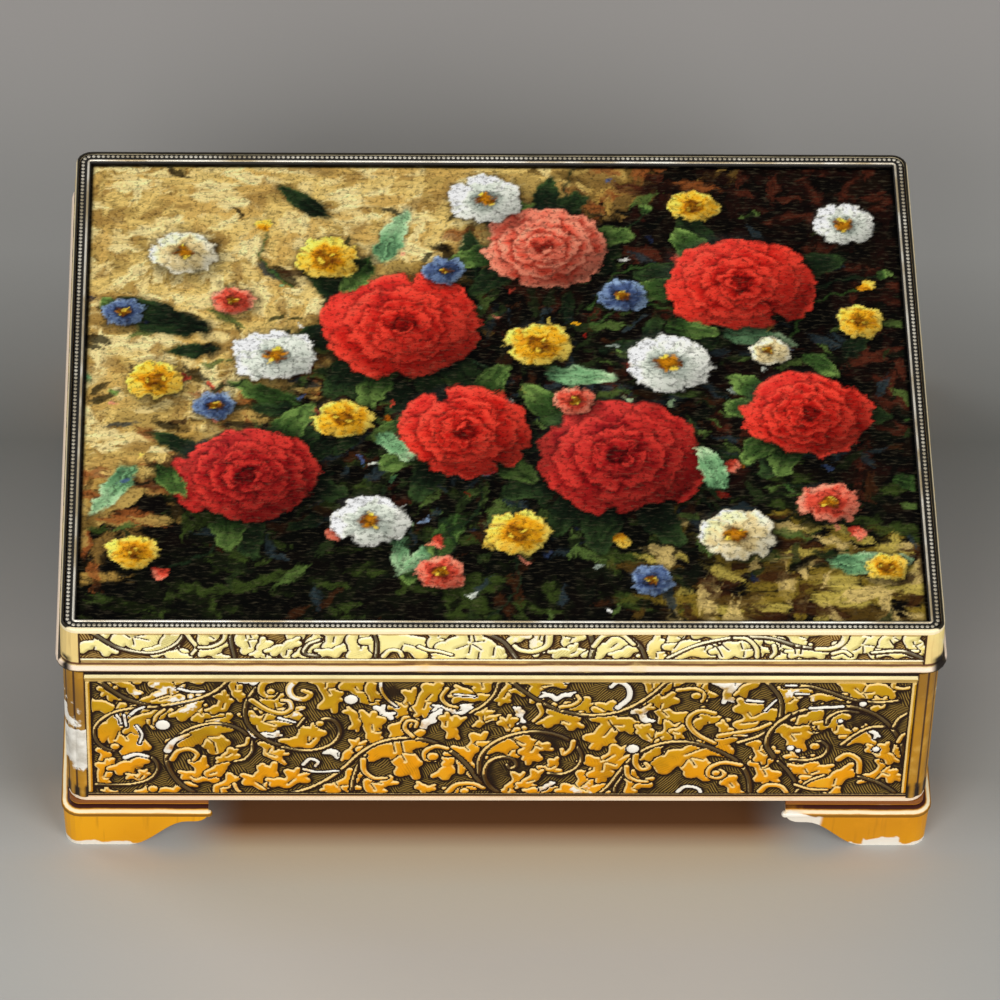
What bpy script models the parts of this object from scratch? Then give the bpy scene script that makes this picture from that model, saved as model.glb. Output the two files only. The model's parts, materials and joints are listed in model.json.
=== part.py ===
"""Musical jewelry box: a wood-cored case and lid clad in stamped gilt tin, on four bracket feet.

The hinged lid carries a framed picture outside and a mirror inside. The case is lined, and holds ring rolls,
two open wells and, under a clear window, a wind-up musical movement with its comb, pinned cylinder, face-gear
drive, worm-driven air brake and a spring plunger that the lid holds down.

Units are metres. The box stands on z = 0, with its front towards -Y.
"""

import math

import bmesh
import bpy
from mathutils import Matrix, Vector

# Driving sizes of the box
LID_WIDTH = 0.203
LID_DEPTH = 0.156
BOX_HEIGHT = 0.0755
LID_HEIGHT = 0.0138
FOOT_HEIGHT = 0.0147
LID_OVERHANG = 0.0018
LID_CORNER_RADIUS = 0.005
CASE_CORNER_RADIUS = 0.0042
CLADDING_THICKNESS = 0.0009
WALL_THICKNESS = 0.004
FLOOR_THICKNESS = 0.004
LINING_THICKNESS = 0.001

# The running and seating gap between neighbours, and how far a cutter passes the face that it cuts
CLEARANCE = 0.0003
OVERRUN = 0.002

# Counts that set how finely round shapes are faceted
CORNER_STEPS = 5
ROUND_SIDES = 24
SMALL_SIDES = 12

# Levels and half sizes that several pieces share
CASE_BOTTOM = FOOT_HEIGHT + CLEARANCE
LID_TOP = BOX_HEIGHT
LID_BOTTOM = LID_TOP - LID_HEIGHT
CASE_TOP = LID_BOTTOM - CLEARANCE
LID_HALF_X = LID_WIDTH / 2
LID_HALF_Y = LID_DEPTH / 2
CASE_HALF_X = LID_HALF_X - LID_OVERHANG
CASE_HALF_Y = LID_HALF_Y - LID_OVERHANG
BOARD_HALF_X = CASE_HALF_X - CLADDING_THICKNESS - CLEARANCE
BOARD_HALF_Y = CASE_HALF_Y - CLADDING_THICKNESS - CLEARANCE
BOARD_CORNER_RADIUS = CASE_CORNER_RADIUS - CLADDING_THICKNESS - CLEARANCE
CAVITY_HALF_X = BOARD_HALF_X - WALL_THICKNESS
CAVITY_HALF_Y = BOARD_HALF_Y - WALL_THICKNESS
FLOOR_TOP = CASE_BOTTOM + FLOOR_THICKNESS
LINED_FLOOR = FLOOR_TOP + CLEARANCE + LINING_THICKNESS
LINED_HALF_X = CAVITY_HALF_X - CLEARANCE - LINING_THICKNESS
LINED_HALF_Y = CAVITY_HALF_Y - CLEARANCE - LINING_THICKNESS


# Scene helpers


def clear_scene():
    for obj in list(bpy.data.objects):
        bpy.data.objects.remove(obj, do_unlink=True)


def new_collection(name):
    made = bpy.data.collections.new(name)
    bpy.context.scene.collection.children.link(made)
    return made


clear_scene()
PARTS = new_collection("musical_jewelry_box")
CUTTERS = new_collection("cutters")


def new_material(name, colour, roughness, metallic=0.0, alpha=1.0):
    made = bpy.data.materials.new(name)
    made.use_nodes = True
    shader = made.node_tree.nodes["Principled BSDF"]
    shader.inputs["Base Color"].default_value = (*colour, 1.0)
    shader.inputs["Roughness"].default_value = roughness
    shader.inputs["Metallic"].default_value = metallic
    shader.inputs["Alpha"].default_value = alpha
    return made


GILT = new_material("gilt_tin", (0.86, 0.58, 0.16), 0.35, 1.0)
PALE_GILT = new_material("pale_gilt_tin", (0.94, 0.80, 0.46), 0.32, 1.0)
WOOD = new_material("poplar_board", (0.62, 0.45, 0.27), 0.7)
VELVET = new_material("red_velvet", (0.34, 0.03, 0.05), 0.95)
PRINT = new_material("picture_print", (0.20, 0.14, 0.08), 0.45)
MIRROR = new_material("mirror_glass", (0.85, 0.87, 0.88), 0.03, 1.0)
WINDOW = new_material("clear_window", (0.9, 0.93, 0.95), 0.05, 0.0, 0.35)
BRASS = new_material("brass", (0.80, 0.62, 0.28), 0.3, 1.0)
STEEL = new_material("comb_steel", (0.62, 0.63, 0.65), 0.28, 1.0)
ZINC = new_material("cast_zinc", (0.55, 0.55, 0.56), 0.45, 1.0)
NYLON = new_material("white_nylon", (0.86, 0.85, 0.80), 0.5)


def new_empty(name, location, parent=None):
    made = bpy.data.objects.new(name, None)
    made.location = location
    made.parent = parent
    PARTS.objects.link(made)
    return made


def move_to(collection, obj):
    for old in list(obj.users_collection):
        old.objects.unlink(obj)
    collection.objects.link(obj)


def finish(obj, name, material, frame):
    """Names a piece, gives it its material and hangs it on the empty of the body that carries it."""
    obj.name = name
    obj.data.name = name
    obj.data.materials.clear()
    obj.data.materials.append(material)
    obj.parent = frame
    obj.matrix_parent_inverse = Matrix.Translation(-BODY_PLACES[frame.name])
    move_to(PARTS, obj)
    return obj


def helper(obj):
    """Turns an object into a cutter or a tool of a union, which no render shows."""
    obj.parent = BOX
    obj.matrix_parent_inverse = Matrix.Identity(4)
    obj.hide_render = True
    obj.display_type = "WIRE"
    move_to(CUTTERS, obj)
    return obj


def boolean(target, operation, tools):
    for tool in tools:
        modifier = target.modifiers.new(f"{operation.lower()}_{tool.name}", "BOOLEAN")
        modifier.operation = operation
        modifier.object = helper(tool)
    return target


def cut(target, *tools):
    return boolean(target, "DIFFERENCE", tools)


def fuse(target, *tools):
    return boolean(target, "UNION", tools)


def object_of(mesh, name="piece"):
    made = bpy.data.objects.new(name, mesh)
    PARTS.objects.link(made)
    return made


def evaluated_mesh(obj):
    """The mesh of an object with its modifiers applied and its placement baked in."""
    bpy.context.view_layer.update()
    graph = bpy.context.evaluated_depsgraph_get()
    mesh = bpy.data.meshes.new_from_object(obj.evaluated_get(graph))
    mesh.transform(obj.matrix_world)
    return mesh


def weld(mesh):
    grid = bmesh.new()
    grid.from_mesh(mesh)
    bmesh.ops.remove_doubles(grid, verts=grid.verts, dist=WELD_DISTANCE)
    bmesh.ops.recalc_face_normals(grid, faces=grid.faces)
    grid.to_mesh(mesh)
    grid.free()
    return mesh


WELD_DISTANCE = 0.000001


def scatter(mesh, places):
    """One mesh that holds a copy of another at each place, a list of matrices."""
    grid = bmesh.new()
    for place in places:
        copy = mesh.copy()
        copy.transform(place)
        if place.determinant() < 0:
            copy.flip_normals()
        grid.from_mesh(copy)
        bpy.data.meshes.remove(copy)
    made = bpy.data.meshes.new("group")
    grid.to_mesh(made)
    grid.free()
    return made


def consume(obj):
    """The mesh of a scratch object, which is then removed."""
    mesh = evaluated_mesh(obj)
    bpy.data.objects.remove(obj, do_unlink=True)
    return mesh


def smooth(obj, angle=35.0):
    obj.data.shade_smooth()
    obj.data.set_sharp_from_angle(angle=math.radians(angle))
    return obj


# Shape helpers


def box(low, high):
    """A rectangular block between two corners."""
    low, high = Vector(low), Vector(high)
    bpy.ops.mesh.primitive_cube_add(size=1, location=(low + high) / 2)
    made = bpy.context.object
    made.data.transform(Matrix.Diagonal((*(high - low), 1)))
    return made


AXIS_TURNS = {
    "X": (0, math.pi / 2, 0),
    "Y": (math.pi / 2, 0, 0),
    "Z": (0, 0, 0),
}


def rod(radius, low, high, centre, axis="Z", sides=ROUND_SIDES):
    """A cylinder from low to high along an axis; centre gives its other two coordinates in X, Y, Z order."""
    middle = list(centre)
    middle.insert("XYZ".index(axis), (low + high) / 2)
    bpy.ops.mesh.primitive_cylinder_add(
        vertices=sides,
        radius=radius,
        depth=high - low,
        location=middle,
        rotation=AXIS_TURNS[axis],
    )
    return smooth(bpy.context.object)


def scatter_rods(radius, low, high, places):
    """Upright rods in one object, such as the cutter for a row of holes."""
    mesh = consume(rod(radius, low, high, (0, 0), sides=SMALL_SIDES))
    spots = [Matrix.Translation((x, y, 0)) for x, y in places]
    return object_of(scatter(mesh, spots), "rods")


def turned(profile, centre=(0, 0, 0), turn=(0, 0, 0), sides=ROUND_SIDES):
    """A lathe shape. The profile is (radius, height) pairs that run down the outer side, top to bottom."""
    mesh = bpy.data.meshes.new("profile")
    points = [(radius, 0, height) for radius, height in profile]
    mesh.from_pydata(points, [(i, i + 1) for i in range(len(points) - 1)], [])
    made = object_of(mesh)
    made.location = centre
    made.rotation_euler = turn
    screw = made.modifiers.new("turn", "SCREW")
    screw.steps = sides
    screw.render_steps = sides
    screw.use_merge_vertices = True
    screw.merge_threshold = WELD_DISTANCE
    screw.use_smooth_shade = False
    return made


PLANE_TURNS = {
    "XY": (0, 0, 0),
    "XZ": (math.pi / 2, 0, 0),
    "YZ": (math.pi / 2, 0, math.pi / 2),
}
PLANE_NORMALS = {"XY": (0, 0, 1), "XZ": (0, 1, 0), "YZ": (1, 0, 0)}


def plate(outlines, low, high, plane="XY"):
    """A flat piece between low and high along the plane's normal. The first outline is its edge and the
    rest are holes, all as points of the plane's two axes."""
    curve = bpy.data.curves.new("outline", "CURVE")
    curve.dimensions = "2D"
    curve.fill_mode = "BOTH"
    curve.extrude = (high - low) / 2
    for outline in outlines:
        spline = curve.splines.new("POLY")
        spline.points.add(len(outline[1:]))
        for point, (u, v) in zip(spline.points, outline):
            point.co = (u, v, 0, 1)
        spline.use_cyclic_u = True
    flat = bpy.data.objects.new("outline", curve)
    flat.location = Vector(PLANE_NORMALS[plane]) * ((low + high) / 2)
    flat.rotation_euler = PLANE_TURNS[plane]
    PARTS.objects.link(flat)
    bpy.context.view_layer.update()
    graph = bpy.context.evaluated_depsgraph_get()
    mesh = bpy.data.meshes.new_from_object(flat.evaluated_get(graph))
    made = object_of(weld(mesh))
    made.matrix_world = flat.matrix_world
    bpy.data.objects.remove(flat)
    return made


def arc(centre, radius, start, end, steps=CORNER_STEPS):
    """Points on a circle from one angle to another, in degrees."""
    angles = [math.radians(start + (end - start) * i / steps) for i in range(steps + 1)]
    return [
        (centre[0] + radius * math.cos(a), centre[1] + radius * math.sin(a))
        for a in angles
    ]


def circle(centre, radius, sides=ROUND_SIDES):
    return arc(centre, radius, 0, 360 * (sides - 1) / sides, sides - 1)


def rounded_rectangle(low, high, radius, steps=CORNER_STEPS):
    """A rectangle with round corners, counter-clockwise from its lower left corner."""
    (x0, y0), (x1, y1) = low, high
    return [
        *arc((x0 + radius, y0 + radius), radius, 180, 270, steps),
        *arc((x1 - radius, y0 + radius), radius, 270, 360, steps),
        *arc((x1 - radius, y1 - radius), radius, 0, 90, steps),
        *arc((x0 + radius, y1 - radius), radius, 90, 180, steps),
    ]


def rectangle(low, high):
    (x0, y0), (x1, y1) = low, high
    return [(x0, y0), (x1, y0), (x1, y1), (x0, y1)]


SHARP_RADIUS = 0.0002


def moulding(half_x, half_y, radius, section):
    """A closed ring round a rounded rectangle. The section is a closed list of (offset outwards, height)."""
    grid = bmesh.new()
    rings = []
    for offset, height in section:
        corner = max(radius + offset, SHARP_RADIUS)
        reach = (half_x + offset, half_y + offset)
        outline = rounded_rectangle((-reach[0], -reach[1]), reach, corner)
        rings.append([grid.verts.new((x, y, height)) for x, y in outline])
    count = len(rings[0])
    for ring, above in zip(rings, rings[1:] + rings[:1]):
        for i in range(count):
            j = (i + 1) % count
            grid.faces.new((ring[i], ring[j], above[j], above[i]))
    bmesh.ops.recalc_face_normals(grid, faces=grid.faces)
    mesh = bpy.data.meshes.new("moulding")
    grid.to_mesh(mesh)
    grid.free()
    return smooth(object_of(mesh))


# Lid hinge line: the barrels stand behind the lid's rear edge, on the parting line
HINGE_LEAF_THICKNESS = 0.0006
HINGE_LEAF_WIDTH = 0.024
HINGE_INSET = 0.0465
HINGE_BARREL_RADIUS = 0.0015
HINGE_PIN_RADIUS = 0.0006
HINGE_GAP_BEHIND_LID = 0.0004
HINGE_OFFSET = LID_HALF_X - HINGE_INSET
HINGE_Y = LID_HALF_Y + HINGE_GAP_BEHIND_LID + HINGE_BARREL_RADIUS
HINGE_Z = (CASE_TOP + LID_BOTTOM) / 2
HINGE_REAR_Y = HINGE_Y + HINGE_BARREL_RADIUS

# Bays inside the case
DIVIDER_THICKNESS = 0.003
DIVIDER_DROP = 0.0028
MOVEMENT_BAY_WIDTH = 0.064
MOVEMENT_BAY_DEPTH = 0.052
DIVIDER_TOP = CASE_TOP - DIVIDER_DROP
BAY_LEFT = -LINED_HALF_X
BAY_RIGHT = BAY_LEFT + MOVEMENT_BAY_WIDTH
BAY_REAR = LINED_HALF_Y
BAY_FRONT = BAY_REAR - MOVEMENT_BAY_DEPTH

# Driving sizes of the musical movement. Its own z = 0 is the top of the bedplate.
BEDPLATE_THICKNESS = 0.0022
BEDPLATE_STANDOFF = 0.002
BEDPLATE_MARGIN = 0.0015
BARREL_RADIUS = 0.012
BARREL_HEIGHT = 0.0079
BARREL_EDGE = 0.001
ARBOR_RADIUS = 0.0013
FACE_GEAR_TEETH = 44
DRIVE_PINION_TEETH = 10
DRIVE_MODULE = 0.0005
DRIVE_WHEEL_THICKNESS = 0.0012
DRIVE_FACE_WIDTH = 0.0016
CYLINDER_RADIUS = 0.0065
CYLINDER_LENGTH = 0.0185
PIN_HEIGHT = 0.0006
NOTES = 18
CYLINDER_ARBOR_RADIUS = 0.001
POST_THICKNESS = 0.0012
TRAIN_MODULE = 0.0004
CYLINDER_GEAR_TEETH = 36
BRAKE_PINION_TEETH = 8
WORM_WHEEL_TEETH = 24
TRAIN_GEAR_THICKNESS = 0.0012
BRAKE_ARBOR_RADIUS = 0.0008
BRAKE_ARBOR_DIP = 30.0
MESH_SLACK = 0.00012
WORM_PITCH_RADIUS = 0.0018
FAN_RADIUS = 0.0042
ADDENDUM_SHARE = 0.7
DEDENDUM_SHARE = 1.05

BEDPLATE_TOP = FLOOR_TOP + BEDPLATE_STANDOFF + BEDPLATE_THICKNESS
MOVEMENT_X = BAY_LEFT + BEDPLATE_MARGIN + BARREL_EDGE + BARREL_RADIUS
FACE_GEAR_RADIUS = FACE_GEAR_TEETH * DRIVE_MODULE / 2
DRIVE_PINION_RADIUS = DRIVE_PINION_TEETH * DRIVE_MODULE / 2
WHEEL_BOTTOM = CLEARANCE + BARREL_HEIGHT + CLEARANCE
WHEEL_TOP = WHEEL_BOTTOM + DRIVE_WHEEL_THICKNESS
FACE_TOOTH_PITCH_LEVEL = WHEEL_TOP + DEDENDUM_SHARE * DRIVE_MODULE
CYLINDER_AXIS_Z = FACE_TOOTH_PITCH_LEVEL + DRIVE_PINION_RADIUS + MESH_SLACK
PINION_LEFT = FACE_GEAR_RADIUS - DRIVE_FACE_WIDTH / 2
PINION_RIGHT = FACE_GEAR_RADIUS + DRIVE_FACE_WIDTH / 2
LEFT_POST_X = BARREL_RADIUS + 3 * CLEARANCE
CYLINDER_LEFT = LEFT_POST_X + POST_THICKNESS + 2 * CLEARANCE
CYLINDER_RIGHT = CYLINDER_LEFT + CYLINDER_LENGTH
CYLINDER_GEAR_X = CYLINDER_RIGHT + CLEARANCE
RIGHT_POST_X = CYLINDER_GEAR_X + TRAIN_GEAR_THICKNESS + 2 * CLEARANCE
WORM_WHEEL_X = RIGHT_POST_X + POST_THICKNESS + 3 * CLEARANCE
WORM_X = WORM_WHEEL_X + TRAIN_GEAR_THICKNESS / 2
CYLINDER_GEAR_RADIUS = CYLINDER_GEAR_TEETH * TRAIN_MODULE / 2
BRAKE_PINION_RADIUS = BRAKE_PINION_TEETH * TRAIN_MODULE / 2
WORM_WHEEL_RADIUS = WORM_WHEEL_TEETH * TRAIN_MODULE / 2
BRAKE_AXIS_REACH = CYLINDER_GEAR_RADIUS + BRAKE_PINION_RADIUS + MESH_SLACK
BRAKE_Y = BRAKE_AXIS_REACH * math.cos(math.radians(BRAKE_ARBOR_DIP))
BRAKE_Z = CYLINDER_AXIS_Z - BRAKE_AXIS_REACH * math.sin(math.radians(BRAKE_ARBOR_DIP))
WORM_Y = BRAKE_Y + WORM_WHEEL_RADIUS + WORM_PITCH_RADIUS + MESH_SLACK
FRAME_PLATE_X = WORM_X + FAN_RADIUS + 2 * CLEARANCE

# The comb stands in front of the cylinder, with its tips just clear of the pins
COMB_THICKNESS = 0.001
COMB_BASE_DEPTH = 0.0055
LONGEST_TOOTH = 0.0105
SHORTEST_TOOTH = 0.0065
COMB_TIP_Y = -(CYLINDER_RADIUS + PIN_HEIGHT + CLEARANCE)
COMB_FRONT_Y = COMB_TIP_Y - LONGEST_TOOTH - COMB_BASE_DEPTH
COMB_BOTTOM_Z = CYLINDER_AXIS_Z - COMB_THICKNESS / 2
PLATE_EDGE = 0.001
MOVEMENT_Y = BAY_FRONT + BEDPLATE_MARGIN + PLATE_EDGE - COMB_FRONT_Y

# Empties: one for the box and one on the axis of each moving body
BODY_PLACES = {}


def body_frame(name, place, parent=None):
    BODY_PLACES[name] = Vector(place)
    return new_empty(name, place, parent)


BOX_SHIFT = -(HINGE_REAR_Y - LID_HALF_Y) / 2
BOX = new_empty("box_frame", (0, BOX_SHIFT, 0))
BODY_PLACES["box_frame"] = Vector((0, 0, 0))
LID_FRAME = body_frame("lid_axis", (0, HINGE_Y, HINGE_Z), BOX)
KEY_FRAME = body_frame("key_axis", (MOVEMENT_X, MOVEMENT_Y, BEDPLATE_TOP), BOX)
DRIVE_FRAME = body_frame("drive_axis", (MOVEMENT_X, MOVEMENT_Y, BEDPLATE_TOP), BOX)
CYLINDER_FRAME = body_frame(
    "cylinder_axis", (MOVEMENT_X, MOVEMENT_Y, BEDPLATE_TOP + CYLINDER_AXIS_Z), BOX
)
BRAKE_FRAME = body_frame(
    "brake_axis", (MOVEMENT_X, MOVEMENT_Y + BRAKE_Y, BEDPLATE_TOP + BRAKE_Z), BOX
)
WORM_FRAME = body_frame(
    "worm_axis", (MOVEMENT_X + WORM_X, MOVEMENT_Y + WORM_Y, BEDPLATE_TOP), BOX
)
MOVEMENT_PLACE = Matrix.Translation((MOVEMENT_X, MOVEMENT_Y, BEDPLATE_TOP))


def in_movement(obj):
    """Carries a piece from the movement's own coordinates to the box's."""
    bpy.context.view_layer.update()
    obj.matrix_world = MOVEMENT_PLACE @ obj.matrix_world
    return obj


# Case boards: a butted frame round a floor


def end_board_outline(side):
    """Plan of the front board (side -1) or the rear board (side 1), with its outer corners rounded."""
    r = BOARD_CORNER_RADIUS
    left = arc((-BOARD_HALF_X + r, -BOARD_HALF_Y + r), r, 180, 270)
    right = arc((BOARD_HALF_X - r, -BOARD_HALF_Y + r), r, 270, 360)
    plan = [
        *left,
        *right,
        (BOARD_HALF_X, -CAVITY_HALF_Y),
        (-BOARD_HALF_X, -CAVITY_HALF_Y),
    ]
    return [(x, -side * y) for x, y in plan]


def hinge_slots(low, high):
    """Cutters for the two mortises, from the inner ends of the leaves out past the hinge barrels."""
    half = HINGE_LEAF_WIDTH / 2 + CLEARANCE
    return [
        box(
            (side * HINGE_OFFSET - half, LEAF_INNER_Y - CLEARANCE, low),
            (side * HINGE_OFFSET + half, HINGE_REAR_Y + OVERRUN, high),
        )
        for side in (-1, 1)
    ]


HINGE_LEAF_REACH = 0.0036
LEAF_INNER_Y = BOARD_HALF_Y - HINGE_LEAF_REACH
LEAF_SEAT = HINGE_LEAF_THICKNESS + CLEARANCE


def make_case_boards():
    front = plate([end_board_outline(-1)], CASE_BOTTOM, CASE_TOP)
    finish(smooth(front), "front_board", WOOD, BOX)
    rear = plate([end_board_outline(1)], CASE_BOTTOM, CASE_TOP)
    cut(rear, *hinge_slots(CASE_TOP - LEAF_SEAT, CASE_TOP + OVERRUN))
    finish(smooth(rear), "rear_board", WOOD, BOX)
    end_y = CAVITY_HALF_Y - CLEARANCE
    for side, name in ((-1, "left_board"), (1, "right_board")):
        x_ends = sorted((side * CAVITY_HALF_X, side * BOARD_HALF_X))
        board = box(
            (x_ends[0], -end_y, CASE_BOTTOM),
            (x_ends[1], end_y, CASE_TOP),
        )
        finish(board, name, WOOD, BOX)


def make_floor_board():
    reach_x = CAVITY_HALF_X - CLEARANCE
    reach_y = CAVITY_HALF_Y - CLEARANCE
    floor = box((-reach_x, -reach_y, CASE_BOTTOM), (reach_x, reach_y, FLOOR_TOP))
    hole = rod(
        ARBOR_RADIUS + ARBOR_HOLE_ROOM,
        CASE_BOTTOM - OVERRUN,
        FLOOR_TOP + OVERRUN,
        (MOVEMENT_X, MOVEMENT_Y),
        sides=SMALL_SIDES,
    )
    cut(floor, hole, movement_screw_holes(FLOOR_TOP))
    finish(floor, "floor_board", WOOD, BOX)


ARBOR_HOLE_ROOM = 0.0012

# Stamped gilt cladding of the case: a band with a raised frame round a sunk panel on each face
PANEL_MARGIN = 0.0046
PANEL_TOP_MARGIN = 0.0011
PANEL_BOTTOM_MARGIN = 0.0010
PANEL_DEPTH = 0.00035


def panel_cutters(half_x, half_y, low, high, margin, depth):
    """Shallow blocks that sink a panel into each face of a band with those half sizes."""
    x, y = half_x - margin, half_y - margin
    out = OVERRUN
    return [
        box((-x, -half_y - out, low), (x, -half_y + depth, high)),
        box((-x, half_y - depth, low), (x, half_y + out, high)),
        box((-half_x - out, -y, low), (-half_x + depth, y, high)),
        box((half_x - depth, -y, low), (half_x + out, y, high)),
    ]


def make_case_cladding():
    wall = -CLADDING_THICKNESS
    section = [(wall, CASE_BOTTOM), (0, CASE_BOTTOM), (0, CASE_TOP), (wall, CASE_TOP)]
    band = moulding(CASE_HALF_X, CASE_HALF_Y, CASE_CORNER_RADIUS, section)
    cut(
        band,
        *panel_cutters(
            CASE_HALF_X,
            CASE_HALF_Y,
            CASE_BOTTOM + PANEL_BOTTOM_MARGIN,
            CASE_TOP - PANEL_TOP_MARGIN,
            PANEL_MARGIN,
            PANEL_DEPTH,
        ),
    )
    cut(band, *hinge_slots(CASE_TOP - LEAF_SEAT, CASE_TOP + OVERRUN))
    finish(band, "case_cladding", GILT, BOX)


# Bracket feet: stamped L-shaped brackets with ogee ends, a bead on top and a tab screwed to the floor
FOOT_PROJECTION = 0.001
FOOT_THICKNESS = 0.0016
FOOT_LEG_LENGTH = 0.0335
FOOT_PAD_LENGTH = 0.0150
FOOT_CORNER_RADIUS = 0.0036
FOOT_BEAD_RADIUS = 0.0008
FOOT_NECK_HEIGHT = 0.0026
FOOT_NECK_SETBACK = 0.0012
FOOT_NOSE_LENGTH = 0.0050
FOOT_NOSE_HEIGHT = 0.0088
FOOT_TAB_REACH = 0.0165
FOOT_TAB_THICKNESS = 0.001
FOOT_SCREW_INSET = 0.0110
FOOT_SCREW_SPREAD = 0.0050
FOOT_HALF_X = CASE_HALF_X + FOOT_PROJECTION
FOOT_HALF_Y = CASE_HALF_Y + FOOT_PROJECTION

WOOD_SCREW_RADIUS = 0.0008
WOOD_SCREW_HEAD_RADIUS = 0.0016
WOOD_SCREW_HEAD_HEIGHT = 0.0007


def foot_section():
    """Section of the bracket's upright plate as (distance out of its face, height), from the ground up."""
    neck = FOOT_HEIGHT - FOOT_NECK_HEIGHT
    bead = arc((0, neck - FOOT_BEAD_RADIUS), FOOT_BEAD_RADIUS, -60, 60)
    return [
        (-FOOT_THICKNESS, 0),
        (0, 0),
        *[(max(out, 0), height) for out, height in bead],
        (-FOOT_NECK_SETBACK, neck + FOOT_NECK_SETBACK / 2),
        (-FOOT_NECK_SETBACK, FOOT_HEIGHT),
        (-FOOT_NECK_SETBACK - FOOT_THICKNESS, FOOT_HEIGHT),
        (-FOOT_NECK_SETBACK - FOOT_THICKNESS, neck),
        (-FOOT_THICKNESS, neck - FOOT_NECK_SETBACK),
    ]


def foot_path(offset):
    """Plan of the front left bracket's face, moved out by offset: one leg, the round corner, the other leg."""
    reach_x, reach_y = FOOT_HALF_X + offset, FOOT_HALF_Y + offset
    radius = max(FOOT_CORNER_RADIUS + offset, SHARP_RADIUS)
    corner = arc((-reach_x + radius, -reach_y + radius), radius, 180, 270)
    return [
        (-reach_x, -FOOT_HALF_Y + FOOT_LEG_LENGTH),
        *corner,
        (-FOOT_HALF_X + FOOT_LEG_LENGTH, -reach_y),
    ]


def foot_shell():
    """The upright plate: its section carried along the plan, with closed ends."""
    grid = bmesh.new()
    rows = []
    for offset, height in foot_section():
        rows.append([grid.verts.new((x, y, height)) for x, y in foot_path(offset)])
    for row, after in zip(rows, rows[1:] + rows[:1]):
        for i in range(len(row) - 1):
            grid.faces.new((row[i], row[i + 1], after[i + 1], after[i]))
    grid.faces.new([row[0] for row in rows])
    grid.faces.new([row[-1] for row in rows])
    bmesh.ops.recalc_face_normals(grid, faces=grid.faces)
    mesh = bpy.data.meshes.new("foot")
    grid.to_mesh(mesh)
    grid.free()
    return object_of(mesh)


def ogee_outline():
    """What is sawn away under one leg: distance from the corner against height, up to the nose."""
    end = FOOT_LEG_LENGTH
    nose = end - FOOT_NOSE_LENGTH
    low = -OVERRUN
    rise = FOOT_NOSE_HEIGHT
    steps = 2 * CORNER_STEPS
    sweep = [
        (
            FOOT_PAD_LENGTH + (nose - FOOT_PAD_LENGTH) * i / steps,
            rise * (1 - math.cos(math.pi * i / steps)) / 2,
        )
        for i in range(1, steps + 1)
    ]
    radius = (FOOT_HEIGHT - FOOT_NECK_HEIGHT - rise) / 2
    toe = arc((end - 2 * radius, rise + 2 * radius), 2 * radius, 270, 350)
    return [
        (FOOT_PAD_LENGTH, low),
        (FOOT_PAD_LENGTH, 0),
        *sweep,
        *toe,
        (end + OVERRUN, rise + 2 * radius),
        (end + OVERRUN, low),
    ]


def foot_mesh():
    """The front left foot, whose outer corner is the corner of the foot plan."""
    foot = foot_shell()
    inner = FOOT_NECK_SETBACK + FOOT_THICKNESS
    tab = box(
        (
            -FOOT_HALF_X + inner - FOOT_THICKNESS / 2,
            -FOOT_HALF_Y + inner - FOOT_THICKNESS / 2,
            FOOT_HEIGHT - FOOT_TAB_THICKNESS,
        ),
        (
            -FOOT_HALF_X + FOOT_TAB_REACH,
            -FOOT_HALF_Y + FOOT_TAB_REACH,
            FOOT_HEIGHT,
        ),
    )
    fuse(foot, tab)
    reach = FOOT_THICKNESS + FOOT_NECK_SETBACK + OVERRUN
    front = plate(
        [[(-FOOT_HALF_X + u, v) for u, v in ogee_outline()]],
        -FOOT_HALF_Y - OVERRUN,
        -FOOT_HALF_Y + reach,
        "XZ",
    )
    side = plate(
        [[(-FOOT_HALF_Y + u, v) for u, v in ogee_outline()]],
        -FOOT_HALF_X - OVERRUN,
        -FOOT_HALF_X + reach,
        "YZ",
    )
    holes = scatter_rods(
        WOOD_SCREW_RADIUS + CLEARANCE,
        FOOT_HEIGHT - FOOT_TAB_THICKNESS - OVERRUN,
        FOOT_HEIGHT + OVERRUN,
        foot_screw_places(),
    )
    cut(foot, front, side, holes)
    foot.parent = BOX
    return consume(foot)


def foot_screw_places():
    """The two screw holes in the tab of the front left foot."""
    half = FOOT_SCREW_SPREAD / 2
    return [
        (FOOT_SCREW_INSET + shift - FOOT_HALF_X, FOOT_SCREW_INSET - shift - FOOT_HALF_Y)
        for shift in (-half, half)
    ]


def wood_screw_mesh(length):
    """A small pan-head screw that points up, with the seat of its head at z = 0."""
    dome = WOOD_SCREW_HEAD_HEIGHT
    profile = [
        (0, length),
        (WOOD_SCREW_RADIUS / 2, length),
        (WOOD_SCREW_RADIUS, length - WOOD_SCREW_RADIUS),
        (WOOD_SCREW_RADIUS, 0),
        (WOOD_SCREW_HEAD_RADIUS, 0),
        (WOOD_SCREW_HEAD_RADIUS, -dome / 2),
        (WOOD_SCREW_HEAD_RADIUS / 2, -dome),
        (0, -dome),
    ]
    return weld(consume(turned(profile, sides=SMALL_SIDES)))


def make_feet():
    mesh = foot_mesh()
    shift = Matrix.Translation((0, -BOX_SHIFT, 0))
    mesh.transform(shift)
    for sx, sy, name in (
        (1, 1, "front_left_foot"),
        (-1, 1, "front_right_foot"),
        (1, -1, "rear_left_foot"),
        (-1, -1, "rear_right_foot"),
    ):
        foot = object_of(scatter(mesh, [Matrix.Diagonal((sx, sy, 1, 1))]))
        finish(foot, name, GILT, BOX)


# Velvet lining, dividers and ring rolls
LINING_DROP = 0.0006
RING_BAY_DEPTH = 0.048
RING_ROLLS = 4
RING_ROLL_HEIGHT = 0.015
RING_STOP_HEIGHT = 0.017
ROLL_ROOM = 0.0005
INSERT_CARD_THICKNESS = 0.001


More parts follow.
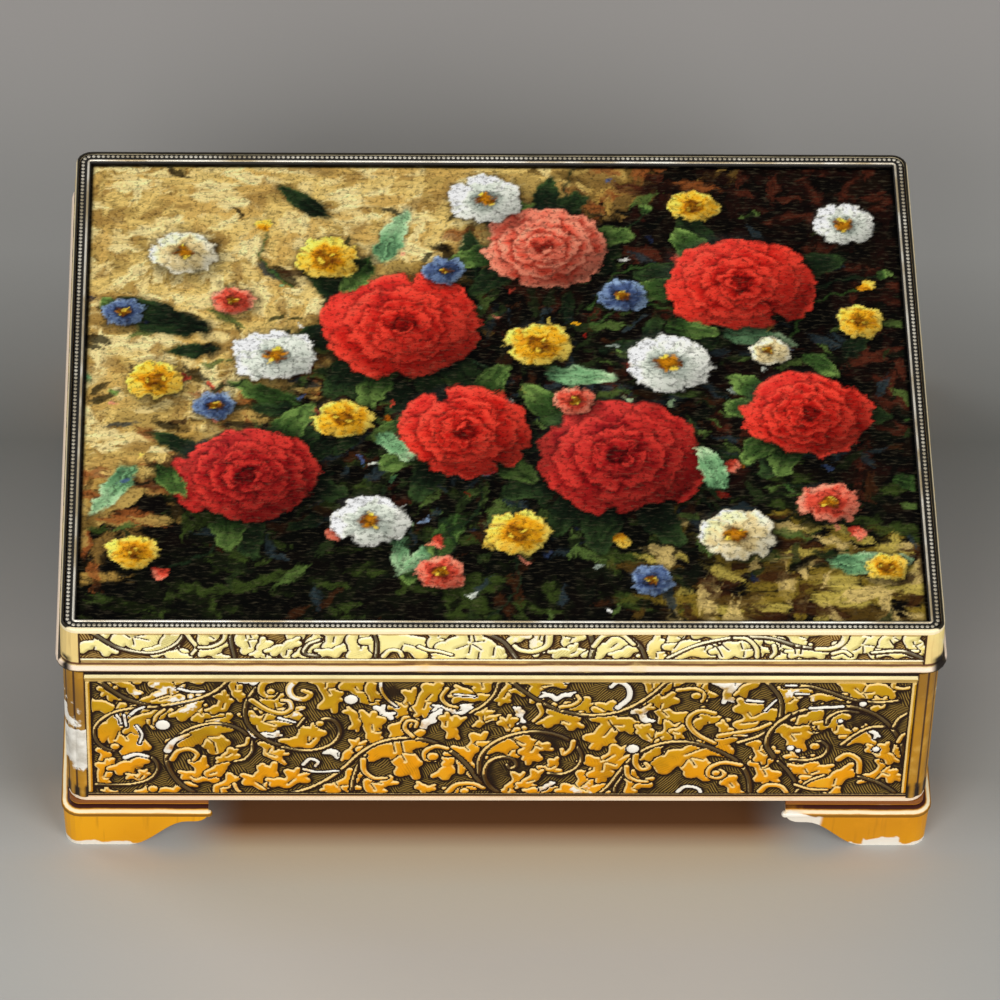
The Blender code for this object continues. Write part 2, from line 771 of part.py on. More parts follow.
def make_linings():
    reach_x = CAVITY_HALF_X - CLEARANCE
    reach_y = CAVITY_HALF_Y - CLEARANCE
    corner_x = BAY_RIGHT
    corner_y = BAY_FRONT
    plan = [
        (-reach_x, -reach_y),
        (reach_x, -reach_y),
        (reach_x, reach_y),
        (corner_x, reach_y),
        (corner_x, corner_y),
        (-reach_x, corner_y),
    ]
    low = FLOOR_TOP + CLEARANCE
    finish(plate([plan], low, LINED_FLOOR), "floor_lining", VELVET, BOX)
    outer = rectangle((-reach_x, -reach_y), (reach_x, reach_y))
    inner = rectangle((-LINED_HALF_X, -LINED_HALF_Y), (LINED_HALF_X, LINED_HALF_Y))
    walls = plate([outer, inner], LINED_FLOOR + CLEARANCE, CASE_TOP - LINING_DROP)
    finish(walls, "wall_lining", VELVET, BOX)


def make_dividers():
    low = LINED_FLOOR + CLEARANCE
    reach_y = LINED_HALF_Y - CLEARANCE
    right = BAY_RIGHT + DIVIDER_THICKNESS
    long_one = box((BAY_RIGHT, -reach_y, low), (right, reach_y, DIVIDER_TOP))
    finish(long_one, "long_divider", VELVET, BOX)
    cross = box(
        (BAY_LEFT + CLEARANCE, BAY_FRONT - DIVIDER_THICKNESS, low),
        (BAY_RIGHT - CLEARANCE, BAY_FRONT, DIVIDER_TOP),
    )
    finish(cross, "cross_divider", VELVET, BOX)
    stop_y = RING_STOP_Y
    stop = box(
        (right + CLEARANCE, stop_y, low),
        (LINED_HALF_X - CLEARANCE, stop_y + DIVIDER_THICKNESS, low + RING_STOP_HEIGHT),
    )
    finish(stop, "ring_bay_divider", VELVET, BOX)


RING_STOP_Y = -LINED_HALF_Y + RING_BAY_DEPTH
ROLL_EDGE_SHARE = 0.62
ROLL_CAGE_SHARES = [
    (-0.5, 0.0),
    (0.5, 0.0),
    (0.5, ROLL_EDGE_SHARE),
    (0.26, 1.0),
    (-0.26, 1.0),
    (-0.5, ROLL_EDGE_SHARE),
]
ROLL_END_SHARES = [(-0.5, 0.80), (-0.47, 1.0), (0.0, 1.06), (0.47, 1.0), (0.5, 0.80)]


def ring_roll_mesh(length, width, height):
    """A stuffed roll: crowned on top, flat below and drawn in at its ends, from a coarse cage."""
    grid = bmesh.new()
    rows = []
    for along, swell in ROLL_END_SHARES:
        row = []
        for across, up in ROLL_CAGE_SHARES:
            lift = up * height * (swell if up else 1)
            row.append(grid.verts.new((along * length, across * width, lift)))
        rows.append(row)
    for row, after in zip(rows, rows[1:]):
        for i in range(len(row)):
            j = (i + 1) % len(row)
            grid.faces.new((row[i], row[j], after[j], after[i]))
    grid.faces.new(rows[0])
    grid.faces.new(rows[-1])
    bmesh.ops.recalc_face_normals(grid, faces=grid.faces)
    mesh = bpy.data.meshes.new("roll")
    grid.to_mesh(mesh)
    grid.free()
    roll = object_of(mesh)
    rounding = roll.modifiers.new("rounding", "SUBSURF")
    rounding.levels = 1
    rounding.render_levels = 1
    return consume(roll)


def make_ring_insert():
    left = BAY_RIGHT + DIVIDER_THICKNESS + CLEARANCE
    right = LINED_HALF_X - CLEARANCE
    front = -LINED_HALF_Y + CLEARANCE
    rear = RING_STOP_Y - CLEARANCE
    base = LINED_FLOOR + CLEARANCE
    card = box((left, front, base), (right, rear, base + INSERT_CARD_THICKNESS))
    pitch = (rear - front) / RING_ROLLS
    mesh = ring_roll_mesh(right - left - ROLL_ROOM, pitch - ROLL_ROOM, RING_ROLL_HEIGHT)
    level = base + INSERT_CARD_THICKNESS / 2
    spots = [
        Matrix.Translation(((left + right) / 2, front + pitch * (i + 0.5), level))
        for i in range(RING_ROLLS)
    ]
    rolls = object_of(scatter(mesh, spots), "rolls")
    fuse(card, rolls)
    finish(smooth(card, 60), "ring_insert", VELVET, BOX)


# Window over the movement, on a ledge frame that runs round its bay
WINDOW_THICKNESS = 0.0015
LEDGE_WIDTH = 0.0016
LEDGE_HEIGHT = 0.003


def make_movement_window():
    gap = CLEARANCE
    low = (BAY_LEFT + gap, BAY_FRONT + gap)
    high = (BAY_RIGHT - gap, BAY_REAR - gap)
    top = DIVIDER_TOP - gap
    bottom = top - WINDOW_THICKNESS
    hole = circle(PLUNGER_PLACE, PLUNGER_RADIUS + 2 * CLEARANCE, SMALL_SIDES)
    pane = plate([rectangle(low, high), hole], bottom, top)
    finish(pane, "movement_window", WINDOW, BOX)
    ledge_top = bottom - gap
    inner_low = (low[0] + LEDGE_WIDTH, low[1] + LEDGE_WIDTH)
    inner_high = (high[0] - LEDGE_WIDTH, high[1] - LEDGE_WIDTH)
    ledge = plate(
        [rectangle(low, high), rectangle(inner_low, inner_high)],
        ledge_top - LEDGE_HEIGHT,
        ledge_top,
    )
    finish(ledge, "window_ledge", WOOD, BOX)


# Lid: a board on four rails, a stamped skirt round both, and a beaded bezel over the picture
LID_BOARD_THICKNESS = 0.004
LID_RAIL_THICKNESS = 0.005
PICTURE_DROP = 0.0014
PICTURE_THICKNESS = 0.0012
SKIRT_THICKNESS = 0.0008
SKIRT_BEAD_RADIUS = 0.0012
SKIRT_TOP_INSET = 0.0013
SKIRT_FOOT_INSET = 0.0009
SKIRT_EDGE_RADIUS = 0.0007
SKIRT_PANEL_MARGIN = 0.0058
SKIRT_PANEL_DEPTH = 0.0003
BEZEL_WIDTH = 0.0022
BEZEL_BEAD_RADIUS = 0.00045
BEZEL_LIP_WIDTH = 0.0005
BEZEL_GROOVE_DEPTH = 0.0004

SKIRT_INNER = SKIRT_TOP_INSET + SKIRT_THICKNESS
CORE_INSET = SKIRT_INNER + CLEARANCE
LID_BOARD_TOP = LID_TOP - PICTURE_DROP - PICTURE_THICKNESS - CLEARANCE
LID_BOARD_BOTTOM = LID_BOARD_TOP - LID_BOARD_THICKNESS
RAIL_TOP = LID_BOARD_BOTTOM - CLEARANCE


def core_plan():
    """Plan of the lid's board and picture panel, inside the skirt."""
    x, y = LID_HALF_X - CORE_INSET, LID_HALF_Y - CORE_INSET
    return rounded_rectangle((-x, -y), (x, y), LID_CORNER_RADIUS - CORE_INSET)


def make_lid_core():
    board = plate([core_plan()], LID_BOARD_BOTTOM, LID_BOARD_TOP)
    finish(smooth(board), "lid_board", WOOD, LID_FRAME)
    x = LID_HALF_X - CORE_INSET
    y = LID_HALF_Y - CORE_INSET
    inner_x, inner_y = x - LID_RAIL_THICKNESS, y - LID_RAIL_THICKNESS
    corner = LID_CORNER_RADIUS - CORE_INSET
    front_plan = [
        *arc((-x + corner, -y + corner), corner, 180, 270),
        *arc((x - corner, -y + corner), corner, 270, 360),
        (x, -inner_y),
        (-x, -inner_y),
    ]
    front = plate([front_plan], LID_BOTTOM, RAIL_TOP)
    finish(smooth(front), "lid_front_rail", WOOD, LID_FRAME)
    rear_plan = [(u, -v) for u, v in front_plan]
    rear = plate([rear_plan], LID_BOTTOM, RAIL_TOP)
    cut(rear, *hinge_slots(LID_BOTTOM - OVERRUN, LID_BOTTOM + LEAF_SEAT))
    finish(smooth(rear), "lid_rear_rail", WOOD, LID_FRAME)
    end = inner_y - CLEARANCE
    left = box((-x, -end, LID_BOTTOM), (-inner_x, end, RAIL_TOP))
    finish(left, "lid_left_rail", WOOD, LID_FRAME)
    right = box((inner_x, -end, LID_BOTTOM), (x, end, RAIL_TOP))
    finish(right, "lid_right_rail", WOOD, LID_FRAME)


def make_lid_skirt():
    """Stamped skirt: a rolled bead at its foot, a wall that leans in and a rounded top edge."""
    bead = arc(
        (-SKIRT_BEAD_RADIUS, LID_BOTTOM + SKIRT_BEAD_RADIUS), SKIRT_BEAD_RADIUS, -90, 75
    )
    edge = arc(
        (-SKIRT_TOP_INSET - SKIRT_EDGE_RADIUS, LID_TOP - SKIRT_EDGE_RADIUS),
        SKIRT_EDGE_RADIUS,
        0,
        90,
    )
    section = [
        *bead,
        (-SKIRT_FOOT_INSET, LID_BOTTOM + 2 * SKIRT_BEAD_RADIUS + CLEARANCE),
        *edge,
        (-SKIRT_INNER, LID_TOP - CLEARANCE),
        (-SKIRT_INNER, LID_BOTTOM),
    ]
    skirt = moulding(LID_HALF_X, LID_HALF_Y, LID_CORNER_RADIUS, section)
    low = LID_BOTTOM + 2 * SKIRT_BEAD_RADIUS + 2 * CLEARANCE
    high = LID_TOP - SKIRT_EDGE_RADIUS - 2 * CLEARANCE
    cut(
        skirt,
        *panel_cutters(
            LID_HALF_X - SKIRT_TOP_INSET,
            LID_HALF_Y - SKIRT_TOP_INSET,
            low,
            high,
            SKIRT_PANEL_MARGIN - SKIRT_TOP_INSET,
            SKIRT_PANEL_DEPTH,
        ),
    )
    cut(skirt, *hinge_slots(LID_BOTTOM - OVERRUN, LID_BOTTOM + LEAF_SEAT))
    cut(skirt, *barrel_notches())
    finish(skirt, "lid_skirt", PALE_GILT, LID_FRAME)


def barrel_notches():
    """Cutters that clear the hinge barrels where the skirt's bead passes them."""
    half = HINGE_LEAF_WIDTH / 2 + CLEARANCE
    return [
        rod(
            HINGE_BARREL_RADIUS + HINGE_GAP_BEHIND_LID + CLEARANCE,
            side * HINGE_OFFSET - half,
            side * HINGE_OFFSET + half,
            (HINGE_Y, HINGE_Z),
            "X",
        )
        for side in (-1, 1)
    ]


def make_picture():
    low = LID_BOARD_TOP + CLEARANCE
    panel = plate([core_plan()], low, low + PICTURE_THICKNESS)
    finish(smooth(panel), "picture_panel", PRINT, LID_FRAME)
    outer = -CORE_INSET
    inner = outer - BEZEL_WIDTH
    bottom = LID_TOP - PICTURE_DROP + CLEARANCE
    groove = LID_TOP - BEZEL_GROOVE_DEPTH
    bead_middle = outer - BEZEL_BEAD_RADIUS - CLEARANCE / 2
    bead = arc((bead_middle, groove), BEZEL_BEAD_RADIUS, 0, 180)
    lip = inner + BEZEL_LIP_WIDTH
    section = [
        (outer, bottom),
        (outer, groove),
        *bead,
        (lip + CLEARANCE / 2, groove),
        (lip, LID_TOP - CLEARANCE / 2),
        (inner, LID_TOP - CLEARANCE / 2),
        (inner - CLEARANCE / 2, groove),
        (inner - CLEARANCE, bottom),
    ]
    bezel = moulding(LID_HALF_X, LID_HALF_Y, LID_CORNER_RADIUS, section)
    finish(bezel, "beaded_bezel", PALE_GILT, LID_FRAME)


# Inside of the lid: a padded lining round a framed mirror
LID_LINING_THICKNESS = 0.003
MIRROR_SIDE_MARGIN = 0.0375
MIRROR_END_MARGIN = 0.034
MIRROR_THICKNESS = 0.002
MIRROR_BEVEL = 0.0009
MIRROR_CORNER_RADIUS = 0.003
MIRROR_FRAME_WIDTH = 0.0016
MIRROR_FRAME_LIP = 0.0012
MIRROR_FRAME_LIP_THICKNESS = 0.0006
MIRROR_HALF_X = LID_HALF_X - MIRROR_SIDE_MARGIN
MIRROR_HALF_Y = LID_HALF_Y - MIRROR_END_MARGIN
LINING_UNDERSIDE = RAIL_TOP - LID_LINING_THICKNESS


def make_lid_lining():
    x = LID_HALF_X - CORE_INSET - LID_RAIL_THICKNESS - CLEARANCE
    y = LID_HALF_Y - CORE_INSET - LID_RAIL_THICKNESS - CLEARANCE
    around = 2 * CLEARANCE + MIRROR_FRAME_WIDTH
    hole_x, hole_y = MIRROR_HALF_X + around, MIRROR_HALF_Y + around
    hole = rounded_rectangle(
        (-hole_x, -hole_y), (hole_x, hole_y), MIRROR_CORNER_RADIUS + around
    )
    pad = plate([rectangle((-x, -y), (x, y)), hole], LINING_UNDERSIDE, RAIL_TOP)
    finish(pad, "lid_lining", VELVET, LID_FRAME)


def make_mirror():
    half_x, half_y = MIRROR_HALF_X, MIRROR_HALF_Y
    plan = rounded_rectangle((-half_x, -half_y), (half_x, half_y), MIRROR_CORNER_RADIUS)
    bottom = RAIL_TOP - MIRROR_THICKNESS
    glass = plate([plan], bottom, RAIL_TOP)
    edge = glass.modifiers.new("polished_edge", "BEVEL")
    edge.width = MIRROR_BEVEL
    edge.segments = 1
    edge.limit_method = "ANGLE"
    edge.angle_limit = math.radians(60)
    finish(glass, "lid_mirror", MIRROR, LID_FRAME)
    lip_top = bottom - CLEARANCE
    lip_bottom = lip_top - MIRROR_FRAME_LIP_THICKNESS
    wall = CLEARANCE + MIRROR_FRAME_WIDTH
    section = [
        (CLEARANCE, RAIL_TOP),
        (CLEARANCE, lip_top),
        (-MIRROR_FRAME_LIP, lip_top),
        (-MIRROR_FRAME_LIP, lip_bottom + MIRROR_FRAME_LIP_THICKNESS / 2),
        (-MIRROR_FRAME_LIP / 2, lip_bottom),
        (wall - CLEARANCE, lip_bottom),
        (wall, lip_bottom + CLEARANCE),
        (wall, RAIL_TOP),
    ]
    frame = moulding(half_x, half_y, MIRROR_CORNER_RADIUS, section)
    finish(frame, "mirror_frame", BRASS, LID_FRAME)


# Butt hinges: each has a leaf let into the case, a leaf let into the lid and a pin through three knuckles
HINGE_KNUCKLES = 3
HINGE_SCREWS = 3
HINGE_SCREW_SPACING = 0.008
HINGE_SCREW_RADIUS = 0.0006


def hinge_screw_places():
    middle = (HINGE_SCREWS - 1) / 2
    y = BOARD_HALF_Y - WALL_THICKNESS / 2
    return [
        (side * HINGE_OFFSET + (i - middle) * HINGE_SCREW_SPACING, y)
        for side in (-1, 1)
        for i in range(HINGE_SCREWS)
    ]


def make_hinge_leaf(side, direction):
    """The leaf of one hinge that belongs to the case (direction -1) or to the lid (1)."""
    middle = side * HINGE_OFFSET
    half = HINGE_LEAF_WIDTH / 2
    face = CASE_TOP if direction < 0 else LID_BOTTOM
    low, high = sorted((face, face + direction * HINGE_LEAF_THICKNESS))
    clear_y = HINGE_Y - HINGE_BARREL_RADIUS - CLEARANCE
    leaf = box((middle - half, LEAF_INNER_Y, low), (middle + half, clear_y, high))
    knuckle = HINGE_LEAF_WIDTH / HINGE_KNUCKLES
    wall_middle = (HINGE_BARREL_RADIUS + HINGE_PIN_RADIUS + CLEARANCE) / 2
    for i in range(HINGE_KNUCKLES):
        if (i % 2 == 1) != (direction > 0):
            continue
        left = middle - half + i * knuckle + CLEARANCE / 2
        right = left + knuckle - CLEARANCE
        tongue = box(
            (left, clear_y - HINGE_LEAF_THICKNESS, low),
            (right, HINGE_Y - wall_middle, high),
        )
        tube = rod(
            HINGE_BARREL_RADIUS,
            left,
            right,
            (HINGE_Y, HINGE_Z),
            "X",
            SMALL_SIDES,
        )
        fuse(leaf, tongue, tube)
    bore = rod(
        HINGE_PIN_RADIUS + CLEARANCE,
        middle - half - OVERRUN,
        middle + half + OVERRUN,
        (HINGE_Y, HINGE_Z),
        "X",
        SMALL_SIDES,
    )
    places = [p for p in hinge_screw_places() if p[0] * side > 0]
    holes = scatter_rods(
        HINGE_SCREW_RADIUS + CLEARANCE, low - OVERRUN, high + OVERRUN, places
    )
    return cut(leaf, bore, holes)


def make_hinges():
    for side, name in ((-1, "left"), (1, "right")):
        finish(make_hinge_leaf(side, -1), f"{name}_hinge_case_leaf", BRASS, BOX)
        finish(make_hinge_leaf(side, 1), f"{name}_hinge_lid_leaf", BRASS, LID_FRAME)
        half = HINGE_LEAF_WIDTH / 2
        middle = side * HINGE_OFFSET
        pin = rod(
            HINGE_PIN_RADIUS,
            middle - half,
            middle + half,
            (HINGE_Y, HINGE_Z),
            "X",
            SMALL_SIDES,
        )
        finish(pin, f"{name}_hinge_pin", STEEL, BOX)


# Gear shapes
TOOTH_TIP_SHARE = 0.16
TOOTH_ROOT_SHARE = 0.46


def gear_outline(teeth, module, centre=(0, 0), phase=0.0):
    """Outline of a spur gear with straight-flanked teeth, thinner than its gaps so that it runs with
    backlash. Phase turns it, in tooth pitches."""
    radius = teeth * module / 2
    root = radius - DEDENDUM_SHARE * module
    tip = radius + ADDENDUM_SHARE * module
    pitch = 2 * math.pi / teeth
    points = []
    for i in range(teeth):
        middle = (i + phase) * pitch
        for reach, half in (
            (root, -TOOTH_ROOT_SHARE),
            (tip, -TOOTH_TIP_SHARE),
            (tip, TOOTH_TIP_SHARE),
            (root, TOOTH_ROOT_SHARE),
        ):
            angle = middle + half * pitch / 2
            points.append(
                (
                    centre[0] + reach * math.cos(angle),
                    centre[1] + reach * math.sin(angle),
                )
            )
    return points


def face_tooth_mesh():
    """One tooth of the face gear, at +X: a bar with leaning flanks that stands on the wheel's rim."""
    pitch = math.pi * DRIVE_MODULE
    base = WHEEL_TOP - DRIVE_WHEEL_THICKNESS / 2
    top = FACE_TOOTH_PITCH_LEVEL + ADDENDUM_SHARE * DRIVE_MODULE
    root_half = TOOTH_ROOT_SHARE * pitch / 2
    tip_half = TOOTH_TIP_SHARE * pitch / 2
    outline = [
        (-root_half, base),
        (root_half, base),
        (root_half, WHEEL_TOP),
        (tip_half, top),
        (-tip_half, top),
        (-root_half, WHEEL_TOP),
    ]
    half = DRIVE_FACE_WIDTH / 2
    bar = plate([outline], FACE_GEAR_RADIUS - half, FACE_GEAR_RADIUS + half, "YZ")
    return consume(bar)


# Drive: the wheel turns on the winding arbor and carries a ring of face teeth
DRIVE_HUB_RADIUS = 0.0032
DRIVE_HUB_HEIGHT = 0.0012
DRIVE_RIM_WIDTH = 0.0004


def make_drive_wheel():
    rim = FACE_GEAR_RADIUS + DRIVE_FACE_WIDTH / 2 + DRIVE_RIM_WIDTH
    bore = ARBOR_RADIUS + CLEARANCE
    profile = [
        (bore, WHEEL_TOP + DRIVE_HUB_HEIGHT),
        (DRIVE_HUB_RADIUS, WHEEL_TOP + DRIVE_HUB_HEIGHT),
        (DRIVE_HUB_RADIUS, WHEEL_TOP),
        (rim, WHEEL_TOP),
        (rim, WHEEL_BOTTOM),
        (bore, WHEEL_BOTTOM),
        (bore, WHEEL_TOP + DRIVE_HUB_HEIGHT),
    ]
    wheel = object_of(weld(consume(turned(profile, sides=FACE_GEAR_TEETH))))
    step = 2 * math.pi / FACE_GEAR_TEETH
    turns = [
        Matrix.Rotation((i + 0.5) * step, 4, "Z") for i in range(FACE_GEAR_TEETH)
    ]
    teeth = object_of(scatter(face_tooth_mesh(), turns), "face_teeth")
    in_movement(teeth)
    in_movement(wheel)
    fuse(wheel, teeth)
    finish(wheel, "drive_wheel", NYLON, DRIVE_FRAME)


def make_spring_barrel():
    """Drum of the mainspring, screwed down on the bedplate, with a rolled shoulder and a raised boss."""
    shoulder = 3 * CLEARANCE
    boss = DRIVE_HUB_RADIUS + shoulder
    bore = ARBOR_RADIUS + CLEARANCE
    top = CLEARANCE + BARREL_HEIGHT
    profile = [
        (bore, top),
        (boss, top),
        (boss, top - CLEARANCE),
        (BARREL_RADIUS - shoulder, top - CLEARANCE),
        (BARREL_RADIUS, top - CLEARANCE - shoulder),
        (BARREL_RADIUS, CLEARANCE),
        (bore, CLEARANCE),
        (bore, top),
    ]
    drum = object_of(weld(consume(turned(profile))))
    in_movement(drum)
    finish(smooth(drum), "spring_barrel", BRASS, BOX)


# Winding arbor and key: the key hangs under the floor, within the height of the feet
KEY_HUB_RADIUS = 0.003
KEY_HUB_HEIGHT = 0.006
KEY_SOCKET_DEPTH = 0.0045
KEY_LOBE_RADIUS = 0.0044
KEY_LOBE_HOLE_RADIUS = 0.0018
KEY_LOBE_OFFSET = 0.0064
KEY_LOBE_DROP = 0.0064
KEY_THICKNESS = 0.0016
ESCUTCHEON_RADIUS = 0.0055
ESCUTCHEON_THICKNESS = 0.0006
ARBOR_NUT_ROOM = 0.0006
ESCUTCHEON_BOTTOM = CASE_BOTTOM - CLEARANCE - ESCUTCHEON_THICKNESS
KEY_TOP = ESCUTCHEON_BOTTOM - CLEARANCE


def make_winding_key():
    place = (MOVEMENT_X, MOVEMENT_Y, 0)
    socket = ARBOR_RADIUS + CLEARANCE
    socket_end = KEY_TOP - KEY_SOCKET_DEPTH
    bottom = KEY_TOP - KEY_HUB_HEIGHT
    profile = [
        (socket, KEY_TOP),
        (KEY_HUB_RADIUS, KEY_TOP),
        (KEY_HUB_RADIUS, bottom + CLEARANCE),
        (KEY_HUB_RADIUS - CLEARANCE, bottom),
        (0, bottom),
        (0, socket_end),
        (socket, socket_end),
        (socket, KEY_TOP),
    ]
    key = object_of(weld(consume(turned(profile, place, sides=SMALL_SIDES))))
    level = KEY_TOP - KEY_LOBE_DROP
    low = MOVEMENT_Y - KEY_THICKNESS / 2
    high = MOVEMENT_Y + KEY_THICKNESS / 2
    for side in (-1, 1):
        centre = (MOVEMENT_X + side * KEY_LOBE_OFFSET, level)
        lobe = plate(
            [
                circle(centre, KEY_LOBE_RADIUS),
                circle(centre, KEY_LOBE_HOLE_RADIUS, SMALL_SIDES),
            ],
            low,
            high,
            "XZ",
        )
        fuse(key, lobe)
    finish(key, "winding_key", BRASS, KEY_FRAME)
    top = BEDPLATE_TOP + WHEEL_TOP + DRIVE_HUB_HEIGHT + ARBOR_NUT_ROOM
    arbor = rod(
        ARBOR_RADIUS,
        socket_end + CLEARANCE,
        top,
        (MOVEMENT_X, MOVEMENT_Y),
        sides=SMALL_SIDES,
    )
    finish(arbor, "winding_arbor", STEEL, KEY_FRAME)
    hole = ARBOR_RADIUS + CLEARANCE
    ring = turned(
        [
            (hole, ESCUTCHEON_BOTTOM + ESCUTCHEON_THICKNESS),
            (ESCUTCHEON_RADIUS, ESCUTCHEON_BOTTOM + ESCUTCHEON_THICKNESS),
            (ESCUTCHEON_RADIUS, ESCUTCHEON_BOTTOM + ESCUTCHEON_THICKNESS / 2),
            (ESCUTCHEON_RADIUS - ESCUTCHEON_THICKNESS, ESCUTCHEON_BOTTOM),
            (hole, ESCUTCHEON_BOTTOM),
            (hole, ESCUTCHEON_BOTTOM + ESCUTCHEON_THICKNESS),
        ],
        place,
        sides=SMALL_SIDES,
    )
    finish(object_of(weld(consume(ring))), "key_escutcheon", BRASS, BOX)


# Pinned cylinder with its arbor, driving pinion and great gear
PIN_WIDTH = 0.00042
PINS_PER_NOTE = 4
PIN_STRIDE = 7
PIN_SLOTS = 36


def make_pin_cylinder():
    """The drum: each note has a track, and its pins stand at slots worked out by a fixed stride."""
    bore = CYLINDER_ARBOR_RADIUS + CLEARANCE
    profile = [
        (bore, CYLINDER_RIGHT),
        (CYLINDER_RADIUS, CYLINDER_RIGHT),
        (CYLINDER_RADIUS, CYLINDER_LEFT),
        (bore, CYLINDER_LEFT),
        (bore, CYLINDER_RIGHT),
    ]
    turn = (0, math.pi / 2, 0)
    centre = (0, 0, CYLINDER_AXIS_Z)
    drum = object_of(weld(consume(turned(profile, centre, turn, PIN_SLOTS))))
    half = PIN_WIDTH / 2
    foot = CYLINDER_RADIUS - PIN_HEIGHT
    tip = CYLINDER_RADIUS + PIN_HEIGHT
    pin = consume(box((-half, -half, foot), (half, half, tip)))
    places = []
    for note in range(NOTES):
        x = note_x(note)
        for k in range(PINS_PER_NOTE):
            slot = (note * PIN_STRIDE + k * (PIN_SLOTS // PINS_PER_NOTE) + k * k) % PIN_SLOTS
            angle = 2 * math.pi * (slot + 0.5) / PIN_SLOTS
            spin = Matrix.Rotation(angle, 4, "X")
            places.append(Matrix.Translation((x, 0, CYLINDER_AXIS_Z)) @ spin)
    pins = object_of(scatter(pin, places), "pins")
    in_movement(pins)
    in_movement(drum)
    fuse(drum, pins)
    finish(drum, "pin_cylinder", BRASS, CYLINDER_FRAME)


def note_x(note):
    """Middle of a note's track and of its comb tooth."""
    pitch = CYLINDER_LENGTH / NOTES
    return CYLINDER_LEFT + (note + 0.5) * pitch


def make_cylinder_arbor():
    end = RIGHT_POST_X + POST_THICKNESS + CLEARANCE
    arbor = rod(
        CYLINDER_ARBOR_RADIUS,
        PINION_LEFT - CLEARANCE,
        end,
        (0, CYLINDER_AXIS_Z),
        "X",
        SMALL_SIDES,
    )
    teeth = gear_outline(
        DRIVE_PINION_TEETH, DRIVE_MODULE, (0, CYLINDER_AXIS_Z), -DRIVE_PINION_TEETH / 4
    )
    pinion = plate([teeth], PINION_LEFT, PINION_RIGHT, "YZ")
    in_movement(arbor)
    in_movement(pinion)
    fuse(arbor, pinion)
    finish(arbor, "cylinder_arbor", STEEL, CYLINDER_FRAME)
    hole = circle(
        (0, CYLINDER_AXIS_Z), CYLINDER_ARBOR_RADIUS + CLEARANCE, SMALL_SIDES
    )
    outline = gear_outline(
        CYLINDER_GEAR_TEETH,
        TRAIN_MODULE,
        (0, CYLINDER_AXIS_Z),
        -BRAKE_ARBOR_DIP / 360 * CYLINDER_GEAR_TEETH,
    )
    gear = plate([outline, hole], CYLINDER_GEAR_X, CYLINDER_GEAR_X + TRAIN_GEAR_THICKNESS, "YZ")
    in_movement(gear)
    finish(gear, "cylinder_gear", BRASS, CYLINDER_FRAME)


# Air brake: the cylinder gear turns a pinion and worm wheel, which spin the worm and its fan
BRAKE_ARBOR_END = 0.0004
WORM_TURNS = 5.5
WORM_ROOT_SHARE = 1.0
WORM_SIDES = 12
WORM_PIVOT_RADIUS = 0.0006
WORM_PIVOT_DEPTH = 0.0014
FAN_BOTTOM_GAP = 0.0018
FAN_HEIGHT = 0.004
FAN_VANE_THICKNESS = 0.0005
FAN_HUB_RADIUS = 0.0014
FRAME_ARM_GAP = 0.0013
FRAME_ARM_THICKNESS = 0.0012
FRAME_ARM_WIDTH = 0.004
WORM_PITCH = math.pi * TRAIN_MODULE
WORM_LENGTH = WORM_TURNS * WORM_PITCH
WORM_BOTTOM = BRAKE_Z - WORM_LENGTH / 2
FAN_BOTTOM = BRAKE_Z + WORM_LENGTH / 2 + FAN_BOTTOM_GAP
FAN_TOP = FAN_BOTTOM + FAN_HEIGHT
FRAME_ARM_BOTTOM = FAN_TOP + FRAME_ARM_GAP
FRAME_TOP = FRAME_ARM_BOTTOM + FRAME_ARM_THICKNESS


def make_brake_wheel():
    start = CYLINDER_GEAR_X - CLEARANCE
    end = FRAME_PLATE_X + FRAME_PLATE_THICKNESS + BRAKE_ARBOR_END
    centre = (BRAKE_Y, BRAKE_Z)
    arbor = rod(BRAKE_ARBOR_RADIUS, start, end, centre, "X", SMALL_SIDES)
    towards = 0.5 - BRAKE_ARBOR_DIP / 360
    pinion_phase = towards * BRAKE_PINION_TEETH + 0.5
    pinion = plate(
        [gear_outline(BRAKE_PINION_TEETH, TRAIN_MODULE, centre, pinion_phase)],
        CYLINDER_GEAR_X,
        CYLINDER_GEAR_X + TRAIN_GEAR_THICKNESS,
        "YZ",
    )
    wheel = plate(
        [gear_outline(WORM_WHEEL_TEETH, TRAIN_MODULE, centre)],
        WORM_WHEEL_X,
        WORM_WHEEL_X + TRAIN_GEAR_THICKNESS,
        "YZ",
    )
    for piece in (arbor, pinion, wheel):
        in_movement(piece)
    fuse(arbor, pinion, wheel)
    finish(arbor, "brake_wheel", BRASS, BRAKE_FRAME)


